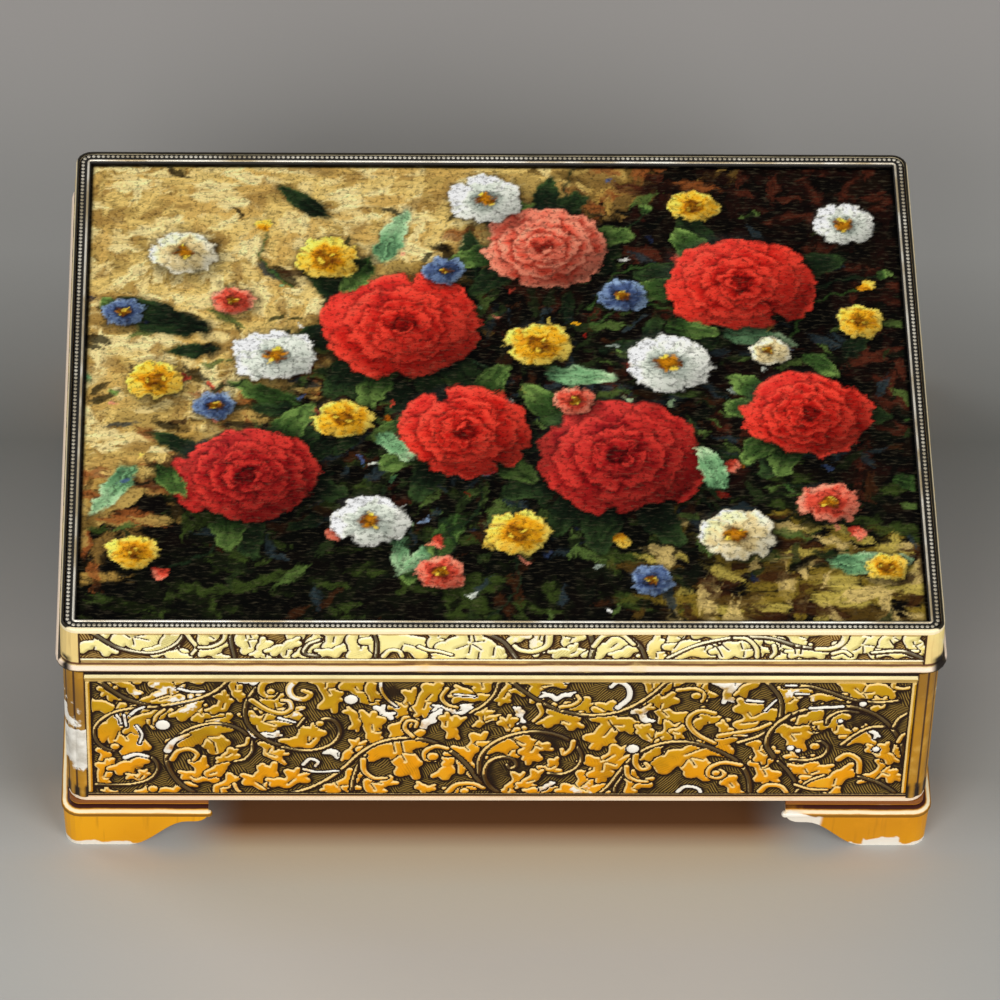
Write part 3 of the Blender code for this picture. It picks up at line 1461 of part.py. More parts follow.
def worm_thread():
    """A single-start right-hand worm: a thread section carried up a helix, trimmed flat at both ends."""
    root = WORM_PITCH_RADIUS - WORM_ROOT_SHARE * TRAIN_MODULE
    crest = WORM_PITCH_RADIUS + ADDENDUM_SHARE * TRAIN_MODULE
    section = (
        (-TOOTH_ROOT_SHARE / 2, root),
        (-TOOTH_TIP_SHARE / 2, crest),
        (TOOTH_TIP_SHARE / 2, crest),
        (TOOTH_ROOT_SHARE / 2, root),
    )
    low, high = WORM_BOTTOM, WORM_BOTTOM + WORM_LENGTH
    grid = bmesh.new()
    columns = []
    for side in range(WORM_SIDES + 1):
        share = side / WORM_SIDES
        angle = 2 * math.pi * share
        column = []
        for turn in range(-2, math.ceil(WORM_TURNS) + 2):
            for along, radius in section:
                height = BRAKE_Z + (turn - WORM_CENTRE_TURN + along + share) * WORM_PITCH
                if not low < height < high:
                    radius = root
                height = min(max(height, low), high)
                column.append(
                    grid.verts.new(
                        (
                            WORM_X + radius * math.cos(angle + WORM_FACING),
                            WORM_Y + radius * math.sin(angle + WORM_FACING),
                            height,
                        )
                    )
                )
        columns.append(column)
    for left, right in zip(columns, columns[1:]):
        for i in range(len(left) - 1):
            grid.faces.new((left[i], right[i], right[i + 1], left[i + 1]))
    bmesh.ops.remove_doubles(grid, verts=grid.verts, dist=WELD_DISTANCE)
    bmesh.ops.dissolve_degenerate(grid, edges=grid.edges, dist=WELD_DISTANCE)
    bmesh.ops.holes_fill(grid, edges=[e for e in grid.edges if e.is_boundary], sides=0)
    bmesh.ops.recalc_face_normals(grid, faces=grid.faces)
    mesh = bpy.data.meshes.new("worm")
    grid.to_mesh(mesh)
    grid.free()
    return object_of(mesh)


# At rest a gap of the thread faces the worm wheel's nearest tooth
WORM_FACING = math.pi / 2
WORM_CENTRE_TURN = math.ceil(WORM_TURNS / 2)


def make_worm_and_fan():
    worm = worm_thread()
    centre = (WORM_X, WORM_Y)
    bottom = -WORM_PIVOT_DEPTH + CLEARANCE
    shaft = rod(WORM_PIVOT_RADIUS, bottom, FRAME_TOP, centre, sides=SMALL_SIDES)
    in_movement(worm)
    in_movement(shaft)
    fuse(worm, shaft)
    finish(worm, "brake_worm", STEEL, WORM_FRAME)
    hub = rod(FAN_HUB_RADIUS, FAN_BOTTOM, FAN_TOP, centre, sides=SMALL_SIDES)
    half = FAN_VANE_THICKNESS / 2
    vanes = box(
        (WORM_X - FAN_RADIUS, WORM_Y - half, FAN_BOTTOM),
        (WORM_X + FAN_RADIUS, WORM_Y + half, FAN_TOP - CLEARANCE),
    )
    bore = rod(
        WORM_PIVOT_RADIUS + CLEARANCE,
        FAN_BOTTOM - OVERRUN,
        FAN_TOP + OVERRUN,
        centre,
        sides=SMALL_SIDES,
    )
    for piece in (hub, vanes, bore):
        in_movement(piece)
    fuse(hub, vanes)
    cut(hub, bore)
    finish(hub, "brake_fan", NYLON, WORM_FRAME)


# Frame that carries the outer end of the brake arbor and the top pivot of the worm
FRAME_PLATE_THICKNESS = 0.001
FRAME_SIDE_MARGIN = 0.0025
FRAME_FLANGE_REACH = 0.0036


def make_brake_frame():
    left = FRAME_PLATE_X
    right = left + FRAME_PLATE_THICKNESS
    front = BRAKE_Y - FRAME_SIDE_MARGIN
    rear = WORM_Y + FRAME_ARM_WIDTH / 2
    upright = box((left, front, CLEARANCE), (right, rear, FRAME_TOP))
    arm = box(
        (
            WORM_X - FRAME_ARM_WIDTH / 2,
            WORM_Y - FRAME_ARM_WIDTH / 2,
            FRAME_ARM_BOTTOM,
        ),
        (left + FRAME_PLATE_THICKNESS / 2, rear, FRAME_TOP),
    )
    flange = box(
        (left + FRAME_PLATE_THICKNESS / 2, front, CLEARANCE),
        (right + FRAME_FLANGE_REACH, rear, CLEARANCE + FRAME_PLATE_THICKNESS),
    )
    pivot = rod(
        WORM_PIVOT_RADIUS + CLEARANCE,
        FRAME_ARM_BOTTOM - OVERRUN,
        FRAME_TOP + OVERRUN,
        (WORM_X, WORM_Y),
        sides=SMALL_SIDES,
    )
    bearing = rod(
        BRAKE_ARBOR_RADIUS + CLEARANCE,
        left - OVERRUN,
        right + OVERRUN,
        (BRAKE_Y, BRAKE_Z),
        "X",
        SMALL_SIDES,
    )
    hole = rod(
        MACHINE_SCREW_RADIUS + CLEARANCE,
        -OVERRUN,
        CLEARANCE + FRAME_PLATE_THICKNESS + OVERRUN,
        frame_screw_place(),
        sides=SMALL_SIDES,
    )
    for piece in (upright, arm, flange, pivot, bearing, hole):
        in_movement(piece)
    fuse(upright, arm, flange)
    cut(upright, pivot, bearing, hole)
    finish(upright, "brake_frame", BRASS, BOX)


def frame_screw_place():
    x = FRAME_PLATE_X + FRAME_PLATE_THICKNESS + FRAME_FLANGE_REACH / 2
    return (x, (BRAKE_Y + WORM_Y) / 2)


# Comb and its screws
TOOTH_WIDTH_SHARE = 0.7
COMB_SCREWS = 2
MACHINE_SCREW_RADIUS = 0.0008
MACHINE_SCREW_HEAD_RADIUS = 0.0015
MACHINE_SCREW_HEAD_HEIGHT = 0.0009
MACHINE_SCREW_LENGTH = 0.004


def comb_screw_places():
    y = COMB_FRONT_Y + COMB_BASE_DEPTH / 2
    step = CYLINDER_LENGTH / COMB_SCREWS
    return [(CYLINDER_LEFT + (i + 0.5) * step, y) for i in range(COMB_SCREWS)]


def make_comb():
    """Steel comb: one tooth for each note, longest for the lowest note, cut from one plate."""
    half = CYLINDER_LENGTH / NOTES * TOOTH_WIDTH_SHARE / 2
    outline = [(CYLINDER_LEFT, COMB_FRONT_Y), (CYLINDER_RIGHT, COMB_FRONT_Y)]
    for note in reversed(range(NOTES)):
        share = note / (NOTES - 1)
        length = LONGEST_TOOTH + (SHORTEST_TOOTH - LONGEST_TOOTH) * share
        x, root = note_x(note), COMB_TIP_Y - length
        outline += [
            (x + half, root),
            (x + half, COMB_TIP_Y),
            (x - half, COMB_TIP_Y),
            (x - half, root),
        ]
    holes = [
        circle(p, MACHINE_SCREW_RADIUS + CLEARANCE, SMALL_SIDES)
        for p in comb_screw_places()
    ]
    comb = plate([outline, *holes], COMB_BOTTOM_Z, COMB_BOTTOM_Z + COMB_THICKNESS)
    in_movement(comb)
    finish(comb, "comb", STEEL, BOX)
    seat = COMB_BOTTOM_Z + COMB_THICKNESS + CLEARANCE
    for (x, y), side in zip(comb_screw_places(), ("left", "right")):
        screw = object_of(machine_screw_mesh(MACHINE_SCREW_LENGTH))
        screw.location = (x, y, seat)
        in_movement(screw)
        finish(screw, f"{side}_comb_screw", STEEL, BOX)


def machine_screw_mesh(length):
    """A cheese-head screw that points down, with the seat of its head at z = 0."""
    profile = [
        (0, MACHINE_SCREW_HEAD_HEIGHT),
        (MACHINE_SCREW_HEAD_RADIUS - CLEARANCE, MACHINE_SCREW_HEAD_HEIGHT),
        (MACHINE_SCREW_HEAD_RADIUS, MACHINE_SCREW_HEAD_HEIGHT - CLEARANCE),
        (MACHINE_SCREW_HEAD_RADIUS, 0),
        (MACHINE_SCREW_RADIUS, 0),
        (MACHINE_SCREW_RADIUS, -length),
        (0, -length),
    ]
    return weld(consume(turned(profile, sides=SMALL_SIDES)))


# Bedplate: a cast plate on three bosses, with the comb block, two bearing posts and the plunger guide
BEDPLATE_CORNER_RADIUS = 0.003
POST_HALF_WIDTH = 0.003
BRAKE_BOSS_RADIUS = 0.0023
GUIDE_HEIGHT = 0.0045
GUIDE_WALL = 0.0009
BEDPLATE_SCREW_INSET = 0.0035

BEDPLATE_LEFT = -BARREL_RADIUS - BARREL_EDGE
BEDPLATE_RIGHT = BAY_RIGHT - BEDPLATE_MARGIN - MOVEMENT_X
BEDPLATE_FRONT = COMB_FRONT_Y - PLATE_EDGE
BEDPLATE_REAR = WORM_Y + FAN_RADIUS


def movement_screw_places():
    """Three fixing screws of the bedplate, in the movement's own coordinates."""
    left = BEDPLATE_LEFT + BEDPLATE_SCREW_INSET
    right = BEDPLATE_RIGHT - BEDPLATE_SCREW_INSET
    front = BEDPLATE_FRONT + BEDPLATE_SCREW_INSET
    rear = BEDPLATE_REAR - BEDPLATE_SCREW_INSET
    return [(left, front), (right, front), (left, rear)]


def movement_screw_holes(top):
    """Cutter for the fixing screws, in the box's coordinates, from under the floor up past a level."""
    places = [(MOVEMENT_X + x, MOVEMENT_Y + y) for x, y in movement_screw_places()]
    radius = WOOD_SCREW_RADIUS + CLEARANCE
    return scatter_rods(radius, CASE_BOTTOM - OVERRUN, top + OVERRUN, places)


def bearing_hole(x, y, z, radius):
    return rod(
        radius + CLEARANCE,
        x - OVERRUN / 4,
        x + POST_THICKNESS + OVERRUN / 4,
        (y, z),
        "X",
        SMALL_SIDES,
    )


def make_bedplate():
    bottom = -BEDPLATE_THICKNESS
    plan = rounded_rectangle(
        (BEDPLATE_LEFT, BEDPLATE_FRONT),
        (BEDPLATE_RIGHT, BEDPLATE_REAR),
        BEDPLATE_CORNER_RADIUS,
    )
    bed = plate([plan], bottom, 0)
    sink = -BEDPLATE_THICKNESS / 2
    block = box(
        (CYLINDER_LEFT, COMB_FRONT_Y, sink),
        (CYLINDER_RIGHT, COMB_FRONT_Y + COMB_BASE_DEPTH, COMB_BOTTOM_Z - CLEARANCE),
    )
    half = POST_HALF_WIDTH
    left_outline = [
        (-half, sink),
        (half, sink),
        *arc((0, CYLINDER_AXIS_Z), half, 0, 180, 2 * CORNER_STEPS),
    ]
    left_post = plate([left_outline], LEFT_POST_X, LEFT_POST_X + POST_THICKNESS, "YZ")
    right_outline = [
        (-half, sink),
        (BRAKE_Y + BRAKE_BOSS_RADIUS, sink),
        *arc((BRAKE_Y, BRAKE_Z), BRAKE_BOSS_RADIUS, 0, 75),
        *arc((0, CYLINDER_AXIS_Z), half, 30, 180, 2 * CORNER_STEPS),
    ]
    right_post = plate(
        [right_outline], RIGHT_POST_X, RIGHT_POST_X + POST_THICKNESS, "YZ"
    )
    bosses = scatter_rods(
        BEDPLATE_SCREW_INSET - CLEARANCE,
        CLEARANCE - BEDPLATE_STANDOFF - BEDPLATE_THICKNESS,
        sink,
        movement_screw_places(),
    )
    guide_radius = PLUNGER_RADIUS + CLEARANCE + GUIDE_WALL
    guide = rod(guide_radius, sink, GUIDE_HEIGHT, PLUNGER_IN_MOVEMENT, sides=SMALL_SIDES)
    holes = [
        rod(
            ARBOR_RADIUS + CLEARANCE, bottom - OVERRUN, OVERRUN, (0, 0), sides=SMALL_SIDES
        ),
        rod(
            PLUNGER_RADIUS + CLEARANCE,
            bottom - OVERRUN,
            GUIDE_HEIGHT + OVERRUN,
            PLUNGER_IN_MOVEMENT,
            sides=SMALL_SIDES,
        ),
        rod(
            WORM_PIVOT_RADIUS + CLEARANCE,
            -WORM_PIVOT_DEPTH,
            OVERRUN,
            (WORM_X, WORM_Y),
            sides=SMALL_SIDES,
        ),
        bearing_hole(LEFT_POST_X, 0, CYLINDER_AXIS_Z, CYLINDER_ARBOR_RADIUS),
        bearing_hole(RIGHT_POST_X, 0, CYLINDER_AXIS_Z, CYLINDER_ARBOR_RADIUS),
        bearing_hole(RIGHT_POST_X, BRAKE_Y, BRAKE_Z, BRAKE_ARBOR_RADIUS),
        scatter_rods(
            MACHINE_SCREW_RADIUS + CLEARANCE,
            COMB_BOTTOM_Z - MACHINE_SCREW_LENGTH,
            COMB_BOTTOM_Z + OVERRUN,
            comb_screw_places(),
        ),
        scatter_rods(
            WOOD_SCREW_RADIUS + CLEARANCE,
            bottom - BEDPLATE_STANDOFF - OVERRUN,
            -BEDPLATE_THICKNESS / 4,
            movement_screw_places(),
        ),
        rod(
            MACHINE_SCREW_RADIUS + CLEARANCE,
            bottom - OVERRUN,
            OVERRUN,
            frame_screw_place(),
            sides=SMALL_SIDES,
        ),
    ]
    solids = (block, left_post, right_post, guide, bosses)
    for piece in (bed, *solids, *holes):
        in_movement(piece)
    fuse(bed, *solids)
    cut(bed, *holes)
    finish(bed, "bedplate", ZINC, BOX)


FRAME_SCREW_LENGTH = 0.0028


def make_movement_screws():
    """The screws that hold the bedplate down from below, and the brake frame's own screw."""
    head_seat = CASE_BOTTOM - BEDPLATE_TOP - CLEARANCE
    length = -BEDPLATE_THICKNESS / 4 - CLEARANCE - head_seat
    corners = ("front_left", "front_right", "rear_left")
    for (x, y), corner in zip(movement_screw_places(), corners):
        screw = object_of(wood_screw_mesh(length))
        screw.location = (x, y, head_seat)
        in_movement(screw)
        finish(screw, f"{corner}_movement_screw", STEEL, BOX)
    screw = object_of(machine_screw_mesh(FRAME_SCREW_LENGTH))
    screw.location = (*frame_screw_place(), FRAME_PLATE_THICKNESS + 2 * CLEARANCE)
    in_movement(screw)
    finish(screw, "brake_frame_screw", STEEL, BOX)


# Start and stop plunger: the closed lid holds it down, with its flag beside the fan
PLUNGER_RADIUS = 0.0009
PLUNGER_COLLAR_RADIUS = 0.0019
PLUNGER_COLLAR_HEIGHT = 0.0016
PLUNGER_FLAG_WIDTH = 0.0018
PLUNGER_FLAG_THICKNESS = 0.0008
PLUNGER_SETBACK = 0.0016
PLUNGER_Y = 0.0028
SPRING_RADIUS = 0.00165
SPRING_WIRE_RADIUS = 0.00022
SPRING_TURNS = 6
SPRING_POINTS_PER_TURN = 10
FLAG_GAP = 0.0004
PLUNGER_IN_MOVEMENT = (FRAME_PLATE_X - PLUNGER_SETBACK, PLUNGER_Y)
PLUNGER_PLACE = (
    MOVEMENT_X + PLUNGER_IN_MOVEMENT[0],
    MOVEMENT_Y + PLUNGER_IN_MOVEMENT[1],
)
PLUNGER_COLLAR_BOTTOM = FAN_BOTTOM + FAN_HEIGHT / 4
PLUNGER_FRAME = body_frame("plunger_axis", (*PLUNGER_PLACE, BEDPLATE_TOP), BOX)


def make_plunger():
    x, y = PLUNGER_IN_MOVEMENT
    top = LINING_UNDERSIDE - CLEARANCE - BEDPLATE_TOP
    stem = rod(PLUNGER_RADIUS, CLEARANCE, top, (x, y), sides=SMALL_SIDES)
    collar_top = PLUNGER_COLLAR_BOTTOM + PLUNGER_COLLAR_HEIGHT
    collar = rod(
        PLUNGER_COLLAR_RADIUS,
        PLUNGER_COLLAR_BOTTOM,
        collar_top,
        (x, y),
        sides=SMALL_SIDES,
    )
    along = Vector((WORM_X - x, WORM_Y - y))
    reach = along.length - FAN_RADIUS - FLAG_GAP
    along.normalize()
    across = Vector((-along.y, along.x)) * (PLUNGER_FLAG_WIDTH / 2)
    start, end = Vector((x, y)), Vector((x, y)) + along * reach
    outline = [start - across, end - across, end + across, start + across]
    middle = (PLUNGER_COLLAR_BOTTOM + collar_top) / 2
    half = PLUNGER_FLAG_THICKNESS / 2
    flag = plate([outline], middle - half, middle + half)
    for piece in (stem, collar, flag):
        in_movement(piece)
    fuse(stem, collar, flag)
    finish(stem, "stop_plunger", BRASS, PLUNGER_FRAME)


def make_plunger_spring():
    """Open coil between the guide and the plunger's collar: one wire along a helix."""
    low = GUIDE_HEIGHT + CLEARANCE + SPRING_WIRE_RADIUS
    high = PLUNGER_COLLAR_BOTTOM - CLEARANCE - SPRING_WIRE_RADIUS
    count = SPRING_TURNS * SPRING_POINTS_PER_TURN
    curve = bpy.data.curves.new("spring", "CURVE")
    curve.dimensions = "3D"
    curve.bevel_depth = SPRING_WIRE_RADIUS
    curve.bevel_resolution = 1
    curve.use_fill_caps = True
    spline = curve.splines.new("POLY")
    spline.points.add(count)
    for i, point in enumerate(spline.points):
        angle = 2 * math.pi * i / SPRING_POINTS_PER_TURN
        point.co = (
            SPRING_RADIUS * math.cos(angle),
            SPRING_RADIUS * math.sin(angle),
            low + (high - low) * i / count,
            1,
        )
    gap = (high - low) / SPRING_TURNS - 2 * SPRING_WIRE_RADIUS
    print(f"plunger spring: least gap between its turns {gap * 1000:.2f} mm")
    coil = bpy.data.objects.new("spring", curve)
    PARTS.objects.link(coil)
    coil.location = (*PLUNGER_IN_MOVEMENT, 0)
    wire = object_of(weld(consume(coil)))
    in_movement(wire)
    finish(smooth(wire, 60), "plunger_spring", STEEL, BOX)


def main():
    make_case_boards()
    make_floor_board()
    make_case_cladding()
    make_feet()
    make_linings()
    make_dividers()
    make_ring_insert()
    make_movement_window()
    make_lid_core()
    make_lid_skirt()
    make_picture()
    make_lid_lining()
    make_mirror()
    make_hinges()
    make_bedplate()
    make_movement_screws()
    make_spring_barrel()
    make_drive_wheel()
    make_winding_key()
    make_pin_cylinder()
    make_cylinder_arbor()
    make_comb()
    make_brake_wheel()
    make_worm_and_fan()
    make_brake_frame()
    make_plunger()
    make_plunger_spring()


main()
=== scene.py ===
"""A musical jewelry box with a hinged lid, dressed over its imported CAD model.

The file follows the box as it is put together: the boards, the stamped tin round them, the feet, the velvet
inside, the musical movement, the hinges, and last the lid with its bezel, picture and mirror.
Lengths are in metres unless a name ends in MM; the pressed patterns are drawn in millimetres.
"""

import json
import math
import random

import bmesh
import bpy
import numpy as np
from mathutils import Matrix, Vector, noise


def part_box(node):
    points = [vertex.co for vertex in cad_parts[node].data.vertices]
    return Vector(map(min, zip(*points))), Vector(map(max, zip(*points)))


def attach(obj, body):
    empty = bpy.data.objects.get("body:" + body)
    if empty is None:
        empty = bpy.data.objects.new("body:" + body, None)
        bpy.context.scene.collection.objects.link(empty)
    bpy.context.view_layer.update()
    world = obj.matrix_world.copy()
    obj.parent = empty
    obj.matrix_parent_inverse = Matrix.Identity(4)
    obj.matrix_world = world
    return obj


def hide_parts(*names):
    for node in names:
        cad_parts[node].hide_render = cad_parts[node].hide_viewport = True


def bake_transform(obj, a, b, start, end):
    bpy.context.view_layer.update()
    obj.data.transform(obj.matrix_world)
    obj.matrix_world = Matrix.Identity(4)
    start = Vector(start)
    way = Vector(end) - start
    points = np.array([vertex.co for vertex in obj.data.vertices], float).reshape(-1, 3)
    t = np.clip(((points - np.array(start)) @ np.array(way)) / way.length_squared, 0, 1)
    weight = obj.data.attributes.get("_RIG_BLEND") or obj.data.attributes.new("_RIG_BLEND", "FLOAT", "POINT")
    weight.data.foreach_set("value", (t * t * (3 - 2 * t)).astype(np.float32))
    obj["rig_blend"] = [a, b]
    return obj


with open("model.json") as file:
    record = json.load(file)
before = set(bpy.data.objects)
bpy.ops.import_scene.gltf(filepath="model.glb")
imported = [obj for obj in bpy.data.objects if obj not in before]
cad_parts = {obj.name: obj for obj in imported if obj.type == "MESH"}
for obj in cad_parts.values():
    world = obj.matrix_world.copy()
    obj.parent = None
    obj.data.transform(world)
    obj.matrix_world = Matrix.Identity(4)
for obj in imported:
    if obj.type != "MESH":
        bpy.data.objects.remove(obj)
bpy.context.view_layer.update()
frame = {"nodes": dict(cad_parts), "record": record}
nodes = frame["nodes"]
MM = 0.001


# Studio: a pale paper floor with painted shade that darkens it beside and behind the box and a painted
# shadow under it, three soft lamps, and a camera above the front edge, a little left of the middle and looking
# down at the lid.


class Socket:
    """One output of a node tree. Arithmetic on it adds Math nodes."""

    def __init__(self, tree, output):
        self.tree = tree
        self.output = output

    def node(self, kind, values=None, pick=0, **settings):
        """Adds a node of that kind, sets it up, feeds its inputs and gives back one of its outputs."""
        made = self.tree.nodes.new(kind)
        stops = settings.pop("stops", None)
        for name, value in settings.items():
            setattr(made, name, value)
        if stops:
            ramp = made.color_ramp
            while len(ramp.elements) < len(stops):
                ramp.elements.new(0.5)
            for element, (place, colour) in zip(ramp.elements, stops):
                element.position = place
                element.color = (*colour, 1.0)
        for name, value in (values or {}).items():
            socket = made.inputs[name]
            if isinstance(value, Socket):
                self.tree.links.new(value.output, socket)
            elif hasattr(socket.default_value, "__len__") and not hasattr(value, "__len__"):
                socket.default_value = [value] * len(socket.default_value)
            elif hasattr(value, "__len__") and len(socket.default_value) > len(value):
                socket.default_value = (*value, 1.0)
            else:
                socket.default_value = value
        return Socket(self.tree, made.outputs[pick])

    def maths(self, operation, *values):
        return self.node("ShaderNodeMath", dict(enumerate(values)), operation=operation)

    def __add__(self, other):
        return self.maths("ADD", self, other)

    def __radd__(self, other):
        return self.maths("ADD", other, self)

    def __sub__(self, other):
        return self.maths("SUBTRACT", self, other)

    def __rsub__(self, other):
        return self.maths("SUBTRACT", other, self)

    def __mul__(self, other):
        return self.maths("MULTIPLY", self, other)

    def __rmul__(self, other):
        return self.maths("MULTIPLY", other, self)

    def rise(self, low, high):
        """From 0 where the value is low or less, smoothly to 1 where it is high or more."""
        limits = {"Value": self, "From Min": low, "From Max": high}
        return self.node("ShaderNodeMapRange", limits, interpolation_type="SMOOTHSTEP")

    def within(self, low, high, fade=0.0001):
        """1 where the value lies between low and high, fading to 0 over so much on either side of each."""
        return self.rise(low - fade, low + fade) * self.rise(high + fade, high - fade)

    def mix(self, colour, other):
        """This colour where the mask is 0 and the other where it is 1; the mask is the socket itself."""
        return self.node("ShaderNodeMix", {0: self, 6: colour, 7: other}, pick=2, data_type="RGBA")

    def blend(self, value, other):
        """As mix, for two plain numbers or values."""
        return self.node("ShaderNodeMix", {0: self, 2: value, 3: other}, data_type="FLOAT")

    def axis(self, number):
        """One coordinate of a place, or one channel of a colour: 0, 1 or 2."""
        return self.node("ShaderNodeSeparateXYZ", {"Vector": self}, pick=number)

    def stretched(self, *sizes):
        """These coordinates with each axis multiplied."""
        return self.node("ShaderNodeVectorMath", {0: self, 1: sizes}, operation="MULTIPLY")

    def noise(self, scale, detail=3.0, roughness=0.55, distortion=0.0):
        """Clouds of 0 to 1 at these coordinates, so many of them to a metre."""
        settings = {"Scale": scale, "Detail": detail, "Roughness": roughness, "Distortion": distortion}
        return self.node("ShaderNodeTexNoise", {"Vector": self, **settings})

    def attribute(self, name, pick=2):
        """A value that the mesh carries at its points: 0 picks its colour, 2 its number."""
        return self.node("ShaderNodeAttribute", pick=pick, attribute_name=name)


def srgb(red, green, blue):
    """A colour as it is read off a screen, 0 to 255, in the linear values that shaders take."""

    def linear(value):
        share = value / 255
        return share / 12.92 if share <= 0.04045 else ((share + 0.055) / 1.055) ** 2.4

    return linear(red), linear(green), linear(blue)


def new_material(name):
    """An empty Principled material. Gives the material, a socket to build from and its shader node."""
    made = bpy.data.materials.new(name)
    made.use_nodes = True
    tree = made.node_tree
    shader = tree.nodes["Principled BSDF"]
    place = tree.nodes.new("ShaderNodeTexCoord")
    return made, Socket(tree, place.outputs["Object"]), shader


def feed(place, shader, bump=None, depth=0.0001, **inputs):
    """Joins colours, values and a bump height to a shader. Names use _ for spaces."""
    for name, value in inputs.items():
        socket = shader.inputs[name.replace("_", " ")]
        if isinstance(value, Socket):
            place.tree.links.new(value.output, socket)
        elif hasattr(value, "__len__"):
            socket.default_value = (*value, 1.0)
        else:
            socket.default_value = value
    if bump is not None:
        bent = place.node("ShaderNodeBump", {"Height": bump, "Distance": depth, "Strength": 1.0})
        place.tree.links.new(bent.output, shader.inputs["Normal"])


def new_piece(mesh, name, material, body=None):
    """Turns a bmesh into a named object at the origin that wears a material and rides on a body."""
    data = bpy.data.meshes.new(name)
    mesh.to_mesh(data)
    mesh.free()
    made = bpy.data.objects.new(name, data)
    bpy.context.scene.collection.objects.link(made)
    data.materials.append(material)
    if body:
        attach(made, body)
    return made


FLOOR_START, FLOOR_END = -0.12, 0.22

# Rows: place along Y, colour there
# Paper colour with painted shade beside and behind the box
FLOOR_PAPER_AND_SHADE = [
    (-0.112, srgb(174, 173, 169)),
    (-0.080, srgb(170, 169, 165)),
    (-0.058, srgb(147, 146, 142)),
    (-0.020, srgb(157, 155, 152)),
    (0.050, srgb(121, 122, 119)),
    (0.115, srgb(162, 161, 158)),
    (0.200, srgb(168, 164, 161)),
]
# Painted shadow under the box, fading through a painted warm reflection of the gilt to pale paper in front
FLOOR_PAPER_AND_SHADOW = [
    (-0.112, srgb(188, 182, 174)),
    (-0.092, srgb(190, 182, 166)),
    (-0.0805, srgb(193, 174, 146)),
    (-0.0750, srgb(155, 117, 83)),
    (-0.0725, srgb(98, 62, 34)),
    (-0.0400, srgb(90, 60, 36)),
]


def make_floor():
    """The paper's colour carries a painted shadow, warm and dark, under the box and in front of it, and painted
    shade that goes through grey to pale behind.
    """
    paper, place, shader = new_material("floor_paper_painted_shade")
    length = FLOOR_END - FLOOR_START
    along = (place.axis(1) - FLOOR_START) * (1 / length)
    tones = []
    for rows in (FLOOR_PAPER_AND_SHADE, FLOOR_PAPER_AND_SHADOW):
        stops = [((level - FLOOR_START) / length, colour) for level, colour in rows]
        tones.append(along.node("ShaderNodeValToRGB", {"Fac": along}, stops=stops))
    aside = place.axis(0).maths("ABSOLUTE", place.axis(0))
    front = place.axis(1).rise(-0.079, -0.086)
    beside = front.blend(aside.rise(0.058, 0.078), aside.rise(0.04, 0.13))
    beside = beside.maths("MAXIMUM", beside, place.axis(1).rise(-0.02, 0.02))
    colour = beside.mix(tones[1], tones[0])
    fibre = place.noise(900.0, 2.0)
    feed(place, shader, fibre, 0.00002, Base_Color=colour, Roughness=0.85, Specular_IOR_Level=0.15)
    mesh = bmesh.new()
    bmesh.ops.create_grid(mesh, x_segments=1, y_segments=1, size=3.0)
    new_piece(mesh, "floor", paper)


make_floor()

world = bpy.context.scene.world or bpy.data.worlds.new("studio")
bpy.context.scene.world = world
world.use_nodes = True
world.node_tree.nodes["Background"].inputs["Color"].default_value = (*srgb(205, 205, 203), 1)
world.node_tree.nodes["Background"].inputs["Strength"].default_value = 0.5


def area_lamp(name, place, aim, size, power):
    """A soft lamp with a flat face, so many metres across and high, that looks at a point."""
    data = bpy.data.lights.new(name, "AREA")
    data.shape = "RECTANGLE"
    data.size, data.size_y = size
    data.energy = power
    lamp = bpy.data.objects.new(name, data)
    lamp.location = place
    lamp.rotation_euler = (Vector(aim) - Vector(place)).to_track_quat("-Z", "Y").to_euler()
    bpy.context.scene.collection.objects.link(lamp)


area_lamp("key_lamp", (-0.6, -1.35, 1.05), (0, 0, 0.03), (0.9, 0.7), 15)
area_lamp("fill_lamp", (0.9, -1.2, 0.9), (0, 0, 0.03), (0.9, 0.9), 16)
area_lamp("side_lamp", (-1.3, 0.7, 1.0), (0, 0, 0.05), (0.6, 0.6), 5)

CAMERA_PLACE = (-0.04403, -1.06257, 1.20068)
CAMERA_TURNS = ((-2.4545, "Z"), (42.3325, "X"), (1.9646, "Z"))
camera_data = bpy.data.cameras.new("camera")
camera_data.sensor_width = 36.0
camera_data.lens = 238.4
camera = bpy.data.objects.new("camera", camera_data)
camera_turn = Matrix.Identity(4)
for angle, axis in CAMERA_TURNS:
    camera_turn = camera_turn @ Matrix.Rotation(math.radians(angle), 4, axis)
camera.matrix_world = Matrix.Translation(CAMERA_PLACE) @ camera_turn
bpy.context.scene.collection.objects.link(camera)
bpy.context.scene.camera = camera
bpy.context.scene.view_settings.view_transform = "Standard"


# Boards: the case is five plain poplar boards, butted and glued, and the lid a board on four rails.
# The wood shows underneath, inside the movement bay and under the hinges.


def dress(material, *names):
    """Puts a material on CAD nodes whose shape is right as it is."""
    for name in names:
        for held in nodes[name].material_slots:
            held.material = material


def board_material(name, fibres):
    """Plain sawn poplar with its grain drawn out along one axis."""
    wood, place, shader = new_material(name)
    drawn = place.stretched(*fibres)
    fibre = drawn.noise(1.0, 6.0, 0.6, 0.5)
    ring = drawn.noise(0.22, 2.0, 0.5, 1.2)
    pore = drawn.noise(4.5, 2.0)
    colour = fibre.rise(0.34, 0.66).mix(srgb(176, 136, 90), srgb(208, 172, 122))
    colour = (ring.rise(0.45, 0.6) * 0.55).mix(colour, srgb(150, 108, 66))
    colour = (pore.rise(0.6, 0.72) * 0.6).mix(colour, srgb(110, 76, 44))
    feed(place, shader, fibre + pore * 0.4, 0.00004, Base_Color=colour, Roughness=pore.blend(0.6, 0.78))
    return wood


